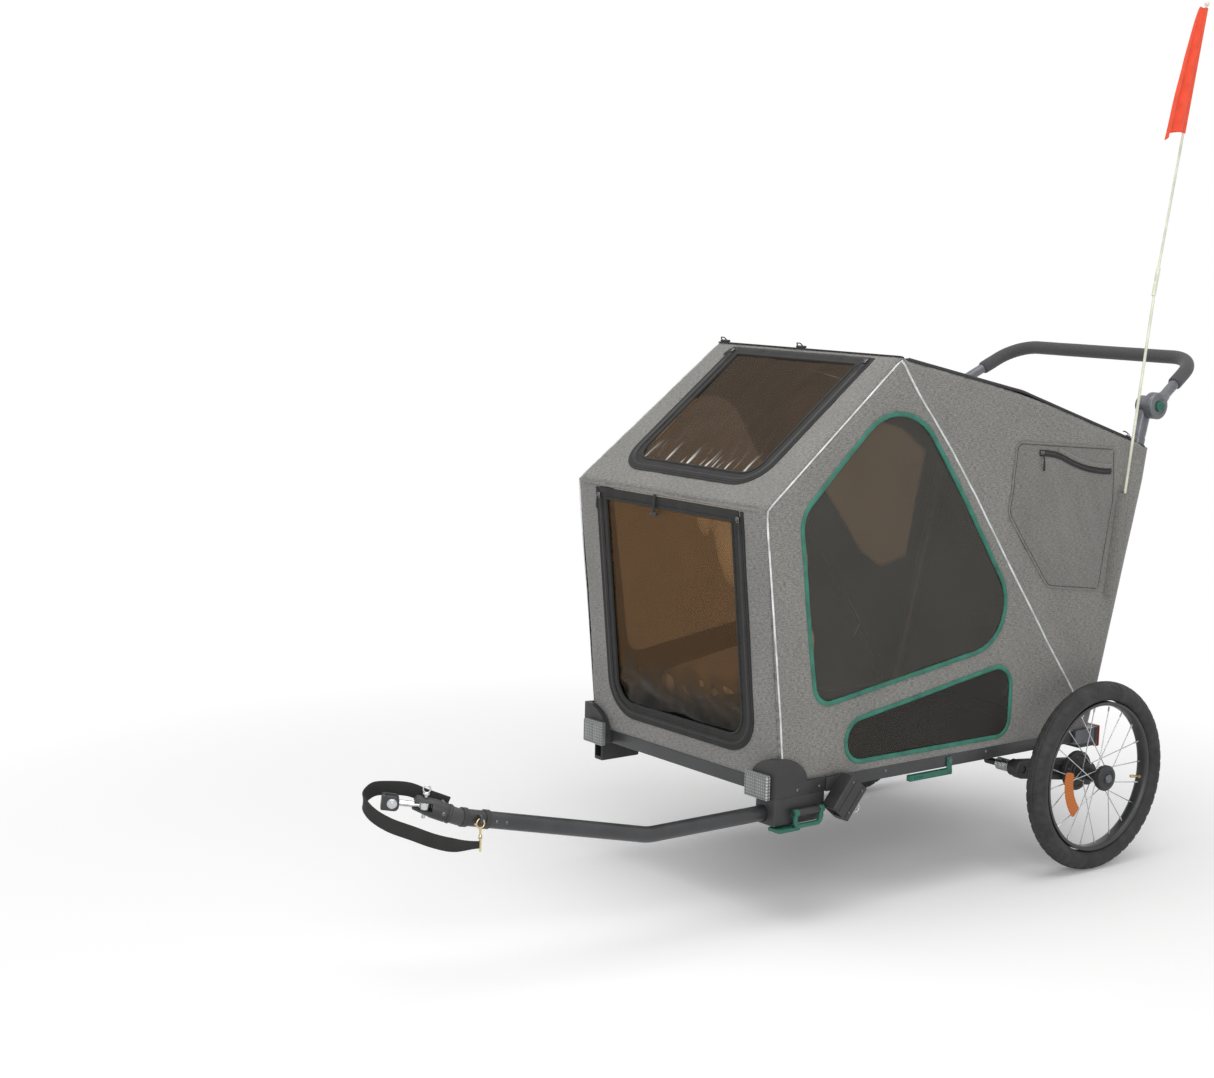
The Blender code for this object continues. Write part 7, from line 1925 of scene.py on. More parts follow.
def make_lens(side, hand):
    """The orange reflector on the outer spokes: a crowned arc of prisms with a plain rim."""
    axes = wheel_frame(side)
    inner, outer = LENS_RADIUS - LENS_WIDTH / 2, LENS_RADIUS + LENS_WIDTH / 2
    middle = math.radians(LENS_ANGLE if side > 0 else 180.0 - LENS_ANGLE)
    half = math.radians(LENS_ARC / 2)
    back = outer_spoke_x(inner) + SPOKE_RADIUS + 2 * GAP

    def arc_outline(margin, count=24):
        spread = half - margin / LENS_RADIUS
        turns = [middle - spread + 2 * spread * k / count for k in range(count + 1)]
        low, high = inner + margin, outer - margin
        line = [Vector((high, t)) for t in turns] + [Vector((low, t)) for t in reversed(turns)]
        flat = [Vector((r * math.cos(t), r * math.sin(t))) for r, t in line]
        corners = []
        for i, here in enumerate(flat):
            before, after = flat[i - 1], flat[(i + 1) % len(flat)]
            if (here - before).angle(after - here, 0.0) > 0.8:
                back_run, ahead = (before - here).normalized(), (after - here).normalized()
                corners += [here + back_run * LENS_CORNER, here + (back_run + ahead) * (0.29 * LENS_CORNER),
                            here + ahead * LENS_CORNER]
            else:
                corners.append(here)
        return [p for i, p in enumerate(corners) if (p - corners[i - 1]).length > 0.0008]

    def place(u, v, w):
        return axes @ Vector((back + w, u, v))

    case = slab(f"lens_{hand}", [arc_outline(0.0)], place, 0.0, LENS_THICKNESS, "orange", None, 0.0012)
    well = slab("well", [arc_outline(0.004)], place, LENS_THICKNESS - 0.0008, LENS_THICKNESS + 0.002,
                "orange", None, 0.0)
    carve(case, [well])
    field = slab("field", [arc_outline(0.0046)], place, LENS_THICKNESS - 0.0010, LENS_THICKNESS - 0.0001,
                 "orange", None, 0.0004)
    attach(case, f"wheel_{hand}")
    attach(field, f"wheel_{hand}")
    whole = join(f"spoke_lens_{hand}", [case, field])
    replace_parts(whole, f"spoke_reflector_{hand}")
    for k, turn in enumerate((-0.55, 0.55)):
        t = middle + turn * half
        spot = Vector((back - 0.0026, LENS_RADIUS * math.cos(t), LENS_RADIUS * math.sin(t)))
        tangent = Vector((0.0, -math.sin(t), math.cos(t)))
        clip_at = along(axes.to_3x3() @ tangent, axes @ spot, axes.to_3x3() @ Vector((1, 0, 0)))
        bar(f"lens_clip_{k}_{hand}", (-0.004, -0.006, 0.0), (0.004, 0.006, 0.0026), "orange", f"wheel_{hand}",
            0.0006, clip_at)


def make_release(side, hand):
    depth = HUB_CAP_WIDTH + RELEASE_PROUD - 0.0035
    back = at(side * (HUB_CAP_X + 0.0035), AXLE_Y, WHEEL_RADIUS)
    profile = [(0.0, 0.0), (0.0, RELEASE_RADIUS), (depth - 0.0014, RELEASE_RADIUS), (depth - 0.0003, 0.0080),
               (depth, 0.0066), (depth - 0.0008, 0.0052), (depth - 0.0014, 0.0030), (depth - 0.0015, 0.0)]
    button = lathe(f"release_push_{hand}", profile, along((side, 0, 0), back), "grey_paint",
                   f"release_{hand}", 48)
    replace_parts(button, f"release_button_{hand}")


def make_arm(side, hand):
    """The cast arm with its web, the pivot sleeve, and the stub axle in the wheel."""
    pivot, axle = Vector((PIVOT_Y, ARM_PIVOT_Z)), Vector((AXLE_Y, WHEEL_RADIUS))
    run = (axle - pivot).normalized()
    tilt = math.atan2(run.y, run.x)

    def outline(shrink):
        points = []
        for centre, radius, begin in ((pivot, ARM_PIVOT_RADIUS, tilt + math.pi / 2),
                                      (axle, ARM_AXLE_RADIUS, tilt - math.pi / 2)):
            points += [centre + Vector((math.cos(begin + math.pi * k / 20),
                                        math.sin(begin + math.pi * k / 20)))
                       * (radius - shrink) for k in range(21)]
        return points

    def place(u, v, w):
        return at(side * (ARM_OUTER_X - w), u, v)

    made = slab(f"arm_{hand}", [outline(0.0)], place, 0.0, ARM_WIDTH, "plastic", None, 0.0026)
    across = Vector((-run.y, run.x))
    wells = []
    for low, high in ((0.030, 0.076), (0.083, 0.124)):
        corners = [pivot + run * a + across * b for a, b in ((low, -0.0095), (high, -0.0105), (high, 0.0105),
                                                               (low, 0.0095))]
        wells.append(slab("well", [rounded([(p.x, p.y, 0.004) for p in corners], 4)], place, -0.002, 0.0050,
                          "plastic", None, 0.0010))
    carve(made, wells)
    origin, shift = at(0, PIVOT_Y, ARM_PIVOT_Z), Vector((side, 0, 0))
    inner = ARM_OUTER_X - ARM_WIDTH
    sleeve = lathe("sleeve",
                   [(0.0, 0.0), (0.0, SLEEVE_RADIUS - 0.001), (0.001, SLEEVE_RADIUS),
                    (inner - SLEEVE_X + 0.003,
                   SLEEVE_RADIUS), (inner - SLEEVE_X + 0.003, 0.0)], along(shift, origin + shift * SLEEVE_X),
                   "plastic", None, 56)
    stub = cylinder("stub", at(side * (ARM_OUTER_X - 0.002), AXLE_Y, WHEEL_RADIUS),
                    at(side * AXLE_END_X, AXLE_Y,
                    WHEEL_RADIUS), AXLE_RADIUS, "steel", None, 0.0010)
    carve(made, [sleeve, stub], "UNION")
    bore = cylinder("bore", origin + shift * (SLEEVE_X - 0.002), origin + shift * (ARM_OUTER_X + 0.002),
                    SHAFT_RADIUS + 0.0005, "plastic", None, 0.0, 40)
    carve(made, [bore])
    made.name = f"swing_arm_cast_{hand}"
    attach(made, f"arm_{hand}")
    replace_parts(made, f"swing_arm_{hand}")
    hex_head(f"axle_nut_{hand}", at(side * inner, AXLE_Y, WHEEL_RADIUS), (-side, 0, 0), 0.0095, 0.0070,
             f"arm_{hand}", "dark_steel")


def make_bracket(side, hand):
    node = f"suspension_bracket_{hand}"
    low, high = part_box(node)
    front, rear = PIVOT_Y - BRACKET_LENGTH / 2, PIVOT_Y + BRACKET_LENGTH / 2
    xs = sorted((side * BRACKET_INNER_X, side * (CABIN_HALF_WIDTH - 0.003)))
    made = bar("bracket", (xs[0], low.y, high.z - BRACKET_PLATE), (xs[1], high.y, high.z), "plastic", None,
               0.0014)
    profile = rounded([(front + 0.002, high.z - 0.0025, 0.002),
                       (front + 0.002, BRACKET_BOTTOM_Z + 0.020, 0.012),
                       (PIVOT_Y - 0.018, BRACKET_BOTTOM_Z, 0.014), (PIVOT_Y + 0.018, BRACKET_BOTTOM_Z, 0.014),
                       (rear - 0.002, BRACKET_BOTTOM_Z + 0.020, 0.012),
                       (rear - 0.002, high.z - 0.0025, 0.002)], 6)
    ear = slab("ear", [profile], lambda u, v, w: at(side * (BRACKET_INNER_X + w), u, v), 0.0, BRACKET_EAR,
               "plastic", None, 0.0022)
    shaft = cylinder("shaft", at(side * (BRACKET_INNER_X + 0.002), PIVOT_Y, ARM_PIVOT_Z),
                     at(side * (ARM_OUTER_X - 0.002), PIVOT_Y, ARM_PIVOT_Z), SHAFT_RADIUS, "plastic", None,
                     0.0008)
    carve(made, [ear, shaft], "UNION")
    made.name = f"bracket_{hand}"
    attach(made, "chassis")
    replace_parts(made, node)
    for k, y in enumerate((front + 0.009, rear - 0.009)):
        hex_head(f"bracket_bolt_{k}_{hand}", at(side * (BRACKET_INNER_X + 0.060), y, high.z - BRACKET_PLATE),
                 (0, 0, -1), 0.0062, 0.0040, "chassis", "dark_steel")


def make_spring(side, hand):
    start, end = BRACKET_INNER_X + BRACKET_EAR + GAP, SLEEVE_X - GAP
    straight = SPRING_WIRE * 1.2
    first, last = start + straight, end - straight
    count = SPRING_TURNS * 28
    points = []
    for k in range(count + 1):
        turn = math.tau * k / 28
        points.append(at(side * (first + (last - first) * k / count),
                         PIVOT_Y + SPRING_RADIUS * math.cos(turn),
                         ARM_PIVOT_Z + SPRING_RADIUS * math.sin(turn)))
    shift = Vector((side, 0, 0))
    points = [points[0] - shift * straight] + points + [points[-1] + shift * straight]
    spring = tube(f"spring_coil_{hand}", points, SPRING_WIRE / 2, "steel", "chassis", 12)
    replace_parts(spring, f"spring_{hand}")


for side_sign, hand_name in HANDS:
    make_tyre(side_sign, hand_name)
    make_rim(side_sign, hand_name)
    make_hub(side_sign, hand_name)
    make_lens(side_sign, hand_name)
    make_release(side_sign, hand_name)
    make_arm(side_sign, hand_name)
    make_bracket(side_sign, hand_name)
    make_spring(side_sign, hand_name)


# Drawbar, hitch and safety strap

DRAWBAR_TAIL = 0.012
DRAWBAR_BEND = at(DRAWBAR_X, -0.236, DRAWBAR_Z)
DRAWBAR_END = DRAWBAR_BEND + Vector((-0.0410, -0.3870, 0.0830))
HITCH_PIN = DRAWBAR_END + Vector((-0.0235, -0.0505, 0.0215))
CLEVIS_BOLT = HITCH_PIN + Vector((-0.0275, -0.0490, 0.0070))
COUPLER_RUN = (HITCH_PIN - DRAWBAR_END).normalized()
ROD_RUN = (CLEVIS_BOLT - HITCH_PIN).normalized()
PIN_UP = (Vector((0, 0, 1)) - ROD_RUN * ROD_RUN.z).normalized()
ROD_SIDE = PIN_UP.cross(ROD_RUN)
COUPLER_RADIUS, COUPLER_NOSE_RADIUS, COUPLER_NOSE = 0.0170, 0.0130, 0.020
FORK_SLOT = 0.0140
TONGUE_HEIGHT, TONGUE_RADIUS = 0.0134, 0.0110
HITCH_PIN_RADIUS, HITCH_PIN_BORE, HITCH_PIN_HEAD, HITCH_PIN_SEAT = 0.0035, 0.0040, 0.0062, 0.0188
HITCH_ROD_RADIUS, ROD_EYE_RADIUS, ROD_EYE_WIDTH = 0.0055, 0.0095, 0.0120
CLEVIS_WIDTH, CLEVIS_CHEEK, CLEVIS_HEIGHT, CLEVIS_LENGTH, CLEVIS_NOSE = 0.0240, 0.0035, 0.0260, 0.0360, 0.0060
BOLT_RADIUS, BOLT_HEAD_RADIUS = 0.0040, 0.0078
LUG_AT, LUG_SIZE, LUG_HOLE, LUG_LEAN = 0.364, (0.005, 0.014, 0.014), 0.0036, (1.0, 0.0, 0.15)
LUG_COLLAR_WIDTH, LUG_COLLAR_RISE, LUG_COLLAR_AT = 0.0108, 0.0020, 0.022
HOOK_WIRE, HOOK_RING, HOOK_BALL_Z, HOOK_END_Z = 0.0016, 0.0078, 0.2700, 0.2440
STRAP_WIDTH, STRAP_END_WIDTH, STRAP_TAPER, STRAP_THICKNESS = 0.025, 0.013, 0.055, 0.0022
STRAP_ROUTE = ((0.0375, 0.0405, -0.0678), (0.0255, 0.0053, -0.0579), (0.0075, -0.0294, -0.0427),
               (-0.0125, -0.0640, -0.0270), (-0.0395, -0.0825, -0.0105), (-0.0635, -0.0830, 0.0070),
               (-0.0715, -0.0605, 0.0200), (-0.0560, -0.0405, 0.0240), (-0.0360, -0.0095, 0.0215),
               (-0.0145, 0.0145, 0.0105), (0.0010, 0.0465, -0.0035))


def axes_at(place, x, y, z):
    made = Matrix((x, y, z)).transposed().to_4x4()
    made.translation = place
    return made


def drawbar_lug():
    """The lug's frame on the drawbar, the middle of its hole, and the drawbar's run."""
    run = (DRAWBAR_END - DRAWBAR_BEND).normalized()
    lug_at = along(run, DRAWBAR_BEND + run * LUG_AT, LUG_LEAN)
    return lug_at, lug_at @ Vector((0, 0, DRAWBAR_RADIUS + LUG_SIZE[2] - 1.8 * LUG_HOLE)), run


def make_drawbar():
    start = at(DRAWBAR_X, CORNER_FRONT_Y + SOCKET_DEPTH - GAP, DRAWBAR_Z)
    path = bent([start, DRAWBAR_BEND, DRAWBAR_END], 0.110, 20)
    path.append(DRAWBAR_END + COUPLER_RUN * DRAWBAR_TAIL)
    made = tube("drawbar_tube", path, DRAWBAR_RADIUS, "paint", None, 48)
    lug_at, hole, run = drawbar_lug()
    tall, half = DRAWBAR_RADIUS + LUG_SIZE[2], LUG_SIZE[1] / 2
    shape = rounded([(-half, 0.0, 0.001), (half, 0.0, 0.001), (half, tall, 0.0065), (-half, tall, 0.0065)], 6)
    lug = slab("lug", [shape], lambda u, v, w: lug_at @ Vector((w, u, v)), -LUG_SIZE[0] / 2, LUG_SIZE[0] / 2,
               "paint", None, 0.0008)
    carve(made, [lug], "UNION")
    carve(made,
          [cylinder("hole", hole - run * LUG_SIZE[0], hole + run * LUG_SIZE[0], LUG_HOLE, "paint", None, 0.0,
                    24)])
    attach(made, "drawbar")
    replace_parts(made, "drawbar")
    half = LUG_COLLAR_WIDTH / 2
    profile = [(-half, DRAWBAR_RADIUS), (-half, DRAWBAR_RADIUS + 0.6 * LUG_COLLAR_RISE),
               (-0.9 * half, DRAWBAR_RADIUS + LUG_COLLAR_RISE)]
    profile += [(-a, r) for a, r in reversed(profile)]
    for k, shift in enumerate((-LUG_COLLAR_AT, LUG_COLLAR_AT)):
        lathe(f"lug_collar_{k}", profile, along(run, DRAWBAR_BEND + run * (LUG_AT + shift)), "plastic",
              "drawbar", 48, 35.0, True)
    side = (Vector((1, 0, 0)) - run * run.x).normalized()
    for k, reach in enumerate((0.306, 0.326)):
        spot = DRAWBAR_BEND + run * reach + side * (DRAWBAR_RADIUS - 0.0004)
        screw(f"drawbar_rivet_{k}", spot, side, 0.0030, "drawbar")


def make_coupler():
    start = DRAWBAR_END + COUPLER_RUN * (DRAWBAR_TAIL + GAP)
    length = (HITCH_PIN - start).length + COUPLER_NOSE
    shoulder = length - 1.6 * COUPLER_NOSE
    r = COUPLER_RADIUS
    profile = [(0.0, 0.0), (0.0, r - 0.0010), (0.0010, r), (0.0055, r), (0.0062, r - 0.0011),
               (0.0082, r - 0.0011), (0.0089, r), (shoulder - 0.0015, r), (shoulder + 0.0010, r - 0.0006),
               (length - 0.0018, COUPLER_NOSE_RADIUS
               + 0.0002), (length, COUPLER_NOSE_RADIUS - 0.0016), (length, 0.0)]
    made = lathe("coupler_body", profile, along(COUPLER_RUN, start), "plastic", None, 56)
    across = PIN_UP.cross(COUPLER_RUN).normalized()
    slot_at = axes_at(HITCH_PIN, across.cross(PIN_UP), across, PIN_UP)
    slot = bar("slot", (-TONGUE_RADIUS - 3 * GAP, -2 * r, -FORK_SLOT / 2),
               (2 * COUPLER_NOSE, 2 * r, FORK_SLOT / 2), "plastic", None, 0.0, slot_at)
    bore = cylinder("bore", HITCH_PIN - PIN_UP * 2 * r, HITCH_PIN + PIN_UP * 2 * r, HITCH_PIN_BORE + 0.0002,
                    "plastic", None, 0.0, 32)
    carve(made, [slot, bore])
    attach(made, "drawbar")
    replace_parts(made, "coupler")
    side = across if across.x > 0 else -across
    screw("coupler_bolt_front", start + COUPLER_RUN * 0.0145 + side * (r - 0.0006), side, 0.0038, "drawbar")
    screw("coupler_bolt_top", start + COUPLER_RUN * 0.0145 + PIN_UP * (r - 0.0006), PIN_UP, 0.0034, "drawbar")


def make_hitch_pin():
    seat = HITCH_PIN + PIN_UP * HITCH_PIN_SEAT
    foot = HITCH_PIN - PIN_UP * (HITCH_PIN_SEAT + HITCH_PIN_RADIUS)
    made = cylinder("hitch_pin_stem", foot, seat + PIN_UP * HITCH_PIN_RADIUS, HITCH_PIN_RADIUS, "steel", None,
                    0.0008, 32)
    head = cylinder("head", seat, seat + PIN_UP * HITCH_PIN_RADIUS, HITCH_PIN_HEAD, "steel", None, 0.0009, 40)
    loop = torus("loop", seat + PIN_UP * (HITCH_PIN_RADIUS + HITCH_PIN_HEAD), ROD_SIDE, HITCH_PIN_HEAD,
                 PULL_RING_WIRE, "steel", None)
    carve(made, [head, loop], "UNION")
    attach(made, "hitch_pin")
    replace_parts(made, "hitch_pin")


def make_hitch_rod():
    made = cylinder("rod_tongue", HITCH_PIN - PIN_UP * TONGUE_HEIGHT / 2,
                    HITCH_PIN + PIN_UP * TONGUE_HEIGHT / 2, TONGUE_RADIUS, "steel", None, 0.0010, 48)
    eye = cylinder("eye", CLEVIS_BOLT - ROD_SIDE * ROD_EYE_WIDTH / 2,
                   CLEVIS_BOLT + ROD_SIDE * ROD_EYE_WIDTH / 2, ROD_EYE_RADIUS, "steel", None, 0.0010, 48)
    shank = cylinder("shank", HITCH_PIN, CLEVIS_BOLT, HITCH_ROD_RADIUS, "steel", None, 0.0, 36)
    carve(made, [eye, shank], "UNION")
    bores = [cylinder("bore", HITCH_PIN - PIN_UP * 2 * TONGUE_HEIGHT, HITCH_PIN + PIN_UP * 2 * TONGUE_HEIGHT,
                      HITCH_PIN_BORE + 0.0002, "steel", None, 0.0, 32),
             cylinder("bore", CLEVIS_BOLT - ROD_SIDE * 2 * ROD_EYE_WIDTH,
                      CLEVIS_BOLT + ROD_SIDE * 2 * ROD_EYE_WIDTH, BOLT_RADIUS + GAP + 0.0001, "steel", None,
                      0.0, 32)]
    carve(made, bores)
    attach(made, "hitch_rod")
    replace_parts(made, "hitch_rod")


def make_clevis():
    """Two cheeks and a nose plate, with the bolt, its nut and washers through them."""
    axes = axes_at(CLEVIS_BOLT, ROD_RUN, ROD_SIDE, PIN_UP)
    front, half, tall = CLEVIS_LENGTH / 2, CLEVIS_WIDTH / 2, CLEVIS_HEIGHT / 2
    made = bar("clevis_nose", (front - CLEVIS_NOSE, -half, -tall), (front, half, tall), "paint", None, 0.0012,
               axes)
    shape = rounded([(front - 0.001, -tall, 0.0012), (front - 0.001, tall, 0.0012),
                     (-0.35 * CLEVIS_LENGTH, tall, 0.0085), (-0.35 * CLEVIS_LENGTH, -tall, 0.0085)], 8)
    cheeks = []
    for sign in (1, -1):
        low, high = sorted((sign * (half - 0.0001), sign * (half - CLEVIS_CHEEK)))
        cheeks.append(slab("cheek", [shape], lambda u, v, w: axes @ Vector((u, w, v)), low, high, "paint",
                           None, 0.0006))
    carve(made, cheeks, "UNION")
    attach(made, "clevis")
    bolt = cylinder("clevis_bolt", CLEVIS_BOLT - ROD_SIDE * (half + 0.0060),
                    CLEVIS_BOLT + ROD_SIDE * (half + 0.0060), BOLT_RADIUS, "steel", "clevis", 0.0006, 32)
    pieces = [bolt]
    for sign in (1, -1):
        out = ROD_SIDE * sign
        face = CLEVIS_BOLT + out * (half + GAP)
        pieces.append(lathe("washer",
                            [(0.0, BOLT_RADIUS), (0.0, 0.0086), (0.0010, 0.0086), (0.0010, BOLT_RADIUS)],
                            along(out, face), "steel", "clevis", 40, 30.0, True))
        nut = [(0.0, BOLT_RADIUS), (0.0, BOLT_HEAD_RADIUS), (0.0036, BOLT_HEAD_RADIUS), (0.0043, 0.0068),
               (0.0043, BOLT_RADIUS)]
        pieces.append(lathe("nut", nut, along(out, face + out * 0.0011), "steel", "clevis", 6, 20.0, True))
    bolt = join("clevis_bolt_set", pieces)
    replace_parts(made, "clevis")


def make_snap_hook():
    """A brass swivel snap: the sprung hook round the lug, its shank, the swivel and the strap's eye."""
    _, hole, run = drawbar_lug()
    lean = Vector(LUG_LEAN)
    lug_out = (lean - run * run.dot(lean)).normalized()
    normal = Vector((lug_out.x, lug_out.y, 0.0)).normalized()
    centre = hole - Vector((0, 0, HOOK_RING))
    made = torus("snap", centre, normal, HOOK_RING, HOOK_WIRE, "brass", None, 48, 14)
    foot = Vector((hole.x, hole.y, HOOK_END_Z))
    height = centre.z - HOOK_RING - HOOK_END_Z
    eye, stem = 1.3 * HOOK_WIRE, 1.2 * HOOK_WIRE
    low = HOOK_BALL_Z - HOOK_END_Z
    shank = [(0.0, 0.0), (0.0, eye - 0.0004), (0.0004, eye), (low - 0.0036, eye), (low - 0.0032, 0.0034),
             (low - 0.0012,
             0.0037), (low - 0.0008, 0.0026), (low + 0.0004, 0.0026), (low + 0.0008, 0.0037),
             (low + 0.0030, 0.0032), (low + 0.0042, stem), (height - 0.0060, stem),
             (height - 0.0030, 1.5 * stem), (height, 1.3 * stem), (height, 0.0)]
    post = lathe("shank", shank, along((0, 0, 1), foot, (1, 0, 0)), "brass", None, 28)
    carve(made, [post], "UNION")
    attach(made, "drawbar")
    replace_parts(made, "snap_hook")
    across = Vector((0, 0, 1)).cross(normal)
    knob = centre - across * HOOK_RING
    cylinder("snap_trigger", knob - across * 0.0008, knob - across * 0.0040, 0.0016, "brass", "drawbar",
             0.0005, 20)


def strap_path():
    points = [HITCH_PIN + Vector(p) for p in STRAP_ROUTE]
    hole = drawbar_lug()[1]
    middle = Vector((hole.x, hole.y, (HOOK_END_Z + HOOK_BALL_Z) / 2 - 2 * GAP))
    towards = Vector((points[0].x - middle.x, points[0].y - middle.y, 0.0)).normalized()
    return smooth_route([middle + towards * (1.3 * HOOK_WIRE + GAP)] + points, 12)


def make_strap():
    """Flat webbing on edge, with a folded and stitched end at the hook and at the coupler."""
    path = strap_path()
    up = Vector((0, 0, 1))
    frames = []
    for i in range(len(path)):
        run = (path[min(i + 1, len(path) - 1)] - path[max(i - 1, 0)]).normalized()
        normal = (up - run * run.z).normalized()
        frames.append((run, normal, run.cross(normal)))
    total = sum((b - a).length for a, b in zip(path, path[1:]))

    def size(share):
        walked = share * total
        tall = STRAP_END_WIDTH + (STRAP_WIDTH - STRAP_END_WIDTH) * smooth_step(walked, 0.0, STRAP_TAPER)
        doubled = 1.0 + 0.85 * (1.0 - smooth_step(walked, 0.040, 0.043))
        doubled += 0.6 * smooth_step(walked, total - 0.034, total - 0.031)
        return doubled, tall / STRAP_WIDTH

    strap = sweep("strap", path, box_section(STRAP_THICKNESS, STRAP_WIDTH, 0.0009), "webbing", "drawbar",
                  frames=frames, scale=size)
    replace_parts(strap, "safety_strap")
    bm = bmesh.new()
    walked = 0.0
    for i in range(1, len(path)):
        walked += (path[i] - path[i - 1]).length
        near_end = 0.008 < walked < 0.039 or total - 0.030 < walked < total - 0.004
        if not near_end or i % 2:
            continue
        run, normal, side = frames[i]
        half = size(walked / total)
        for sign in (1, -1):
            for offset in (-0.36, 0.36):
                spot = path[i] + side * (sign * (STRAP_THICKNESS / 2 * half[0] + 0.0001))
                spot += normal * (offset * STRAP_WIDTH * half[1])
                made = bmesh.ops.create_cube(bm, size=1.0)["verts"]
                bmesh.ops.scale(bm, verts=made, vec=(0.0024, 0.0006, 0.0008))
                bmesh.ops.transform(bm, matrix=axes_at(spot, run, side, normal), verts=made)
    finish_mesh("strap_stitches", bm, "zip_coil", "drawbar", merge=0.0)
    mount = path[-1]
    cylinder("strap_rivet", mount - frames[-1][2] * 0.0028 - frames[-1][0] * 0.010,
             mount + frames[-1][2] * 0.0028 - frames[-1][0] * 0.010, 0.0042, "dark_steel", "drawbar", 0.0010,
             28)


make_drawbar()
make_coupler()
make_hitch_pin()
make_hitch_rod()
make_clevis()
make_snap_hook()
make_strap()


# Pockets, flag pole, flag and loose straps

POLE_X = CABIN_HALF_WIDTH + 0.010
POLE_FOOT = at(POLE_X, 0.970, 0.578)
POLE_LOWER = Vector((0, 0.140, 1)).normalized()
POLE_UPPER = Vector((0, 0.197, 1)).normalized()
POLE_LOWER_LENGTH, POLE_UPPER_LENGTH = 0.655, 0.590
POLE_RADIUS, POLE_TIP_RADIUS = 0.0030, 0.0055
POLE_MEET = POLE_FOOT + POLE_LOWER * POLE_LOWER_LENGTH
FERRULE_RADIUS, FERRULE_LENGTH, FERRULE_OVERLAP = 0.0046, 0.060, 0.030
POLE_POCKET_WIDTH = 0.022
POLE_POCKET_BELOW, POLE_POCKET_LENGTH = 0.012, 0.218     # from below the pole's foot
FLAG_TOP, FLAG_LENGTH, FLAG_SAG = 0.012, 0.262, 0.030
FLAG_FOLDS, FLAG_FOLD_DEPTH, FLAG_THICKNESS = 2.5, 0.009, 0.0009
FLAG_TOP_WIDTH, FLAG_BOTTOM_WIDTH = 0.016, 0.060
POCKET_ZIP = [(0.737, 0.878), (0.765, 0.876), (0.798, 0.869), (0.838, 0.853), (0.878, 0.841), (0.925, 0.833),
              (0.960, 0.8305)]
POCKET_CREASES = (
    ((0.760, 0.860), (0.835, 0.640), 0.009, 0.0030), ((0.800, 0.850), (0.880, 0.690), 0.008, -0.0024),
    ((0.700, 0.860), (0.715, 0.700), 0.009, 0.0018), ((0.860, 0.800), (0.940, 0.620), 0.009, 0.0026),
    ((0.780, 0.700), (0.900, 0.600), 0.007, -0.0018), ((0.900, 0.820), (0.955, 0.700), 0.008, 0.0020),
    ((0.690, 0.760), (0.790, 0.640), 0.008, 0.0020),
)


def left_skin(u, v, lift=0.0):
    return SIDES[1](u, v, lift + side_relief(u, v))


def stitches(name, line, wall, body, look="zip_coil", pitch=0.0042, length=0.0028, closed=True):
    """A row of thread stitches along a line on a wall."""
    line = evenly(line, pitch, closed)
    bm = bmesh.new()
    count = len(line) if closed else len(line) - 1
    for i in range(count):
        a, b = line[i], line[(i + 1) % len(line)]
        if (b - a).length < 0.4 * pitch:
            continue
        middle, run = (a + b) / 2, (b - a).normalized()
        here = wall(middle.x, middle.y, 0.0004)
        ahead = (wall(middle.x + run.x * 0.002, middle.y + run.y * 0.002, 0.0004) - here).normalized()
        out = (wall(middle.x, middle.y, 0.01) - here).normalized()
        made = bmesh.ops.create_cube(bm, size=1.0)["verts"]
        bmesh.ops.scale(bm, verts=made, vec=(length, 0.0009, 0.0008))
        bmesh.ops.transform(bm, matrix=axes_at(here, ahead, out.cross(ahead), out), verts=made)
    return finish_mesh(name, bm, look, body, merge=0.0)


def make_side_pocket():
    outline = rounded(POCKET_OUTLINE, 8)
    ring = np.array([tuple(p) for p in evenly(outline, 0.01)])
    zip_points = smooth_route([Vector(p) for p in POCKET_ZIP], 10)

    def near(u, v):
        return float(distance_to(np.array([[u, v]]), ring)[0])

    def puff(u, v):
        edge = near(u, v)
        out = 0.0016 + 0.0042 * smooth_step(edge, 0.0, 0.055)
        folds = sum(height * crease(u, v, start, end, width) for start, end, width, height in POCKET_CREASES)
        folds += 0.0012 * ripples(u, v, 0.05, 121.0) + 0.0007 * ripples(u, v, 0.022, 123.0, (1.0, 0.6))
        return out + folds * smooth_step(edge, 0.004, 0.03)

    cloth = sheet("pocket_cloth", outline, [], left_skin, "pocket_cloth", "chassis", 0.0075, puff,
                  inner="lining")
    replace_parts(cloth, "side_pocket")

    def over(u, v, lift=0.0):
        return left_skin(u, v, lift + puff(u, v))

    band("pocket_edge", evenly(outline, 0.007), over, bead(-0.0042, 0.0004, 0.0012, 5), "pocket_cloth",
         "chassis")
    stitches("pocket_stitches", grown(outline, -0.0052), over, "chassis")
    zip_line("pocket_zip", zip_points, over, "chassis", half_tape=0.0066, lift=0.0006)
    lip = [p + n * -0.0105 for p, n in zip(zip_points[18:], outward(zip_points, False)[18:])]
    band("pocket_welt", lip, over, bead(-0.0050, 0.0048, 0.0040, 8), "pocket_cloth", "chassis", False)
    slider("pocket_slider", over, 0.741, 0.8782, -0.06, "chassis", 0.036, lift=0.0030)


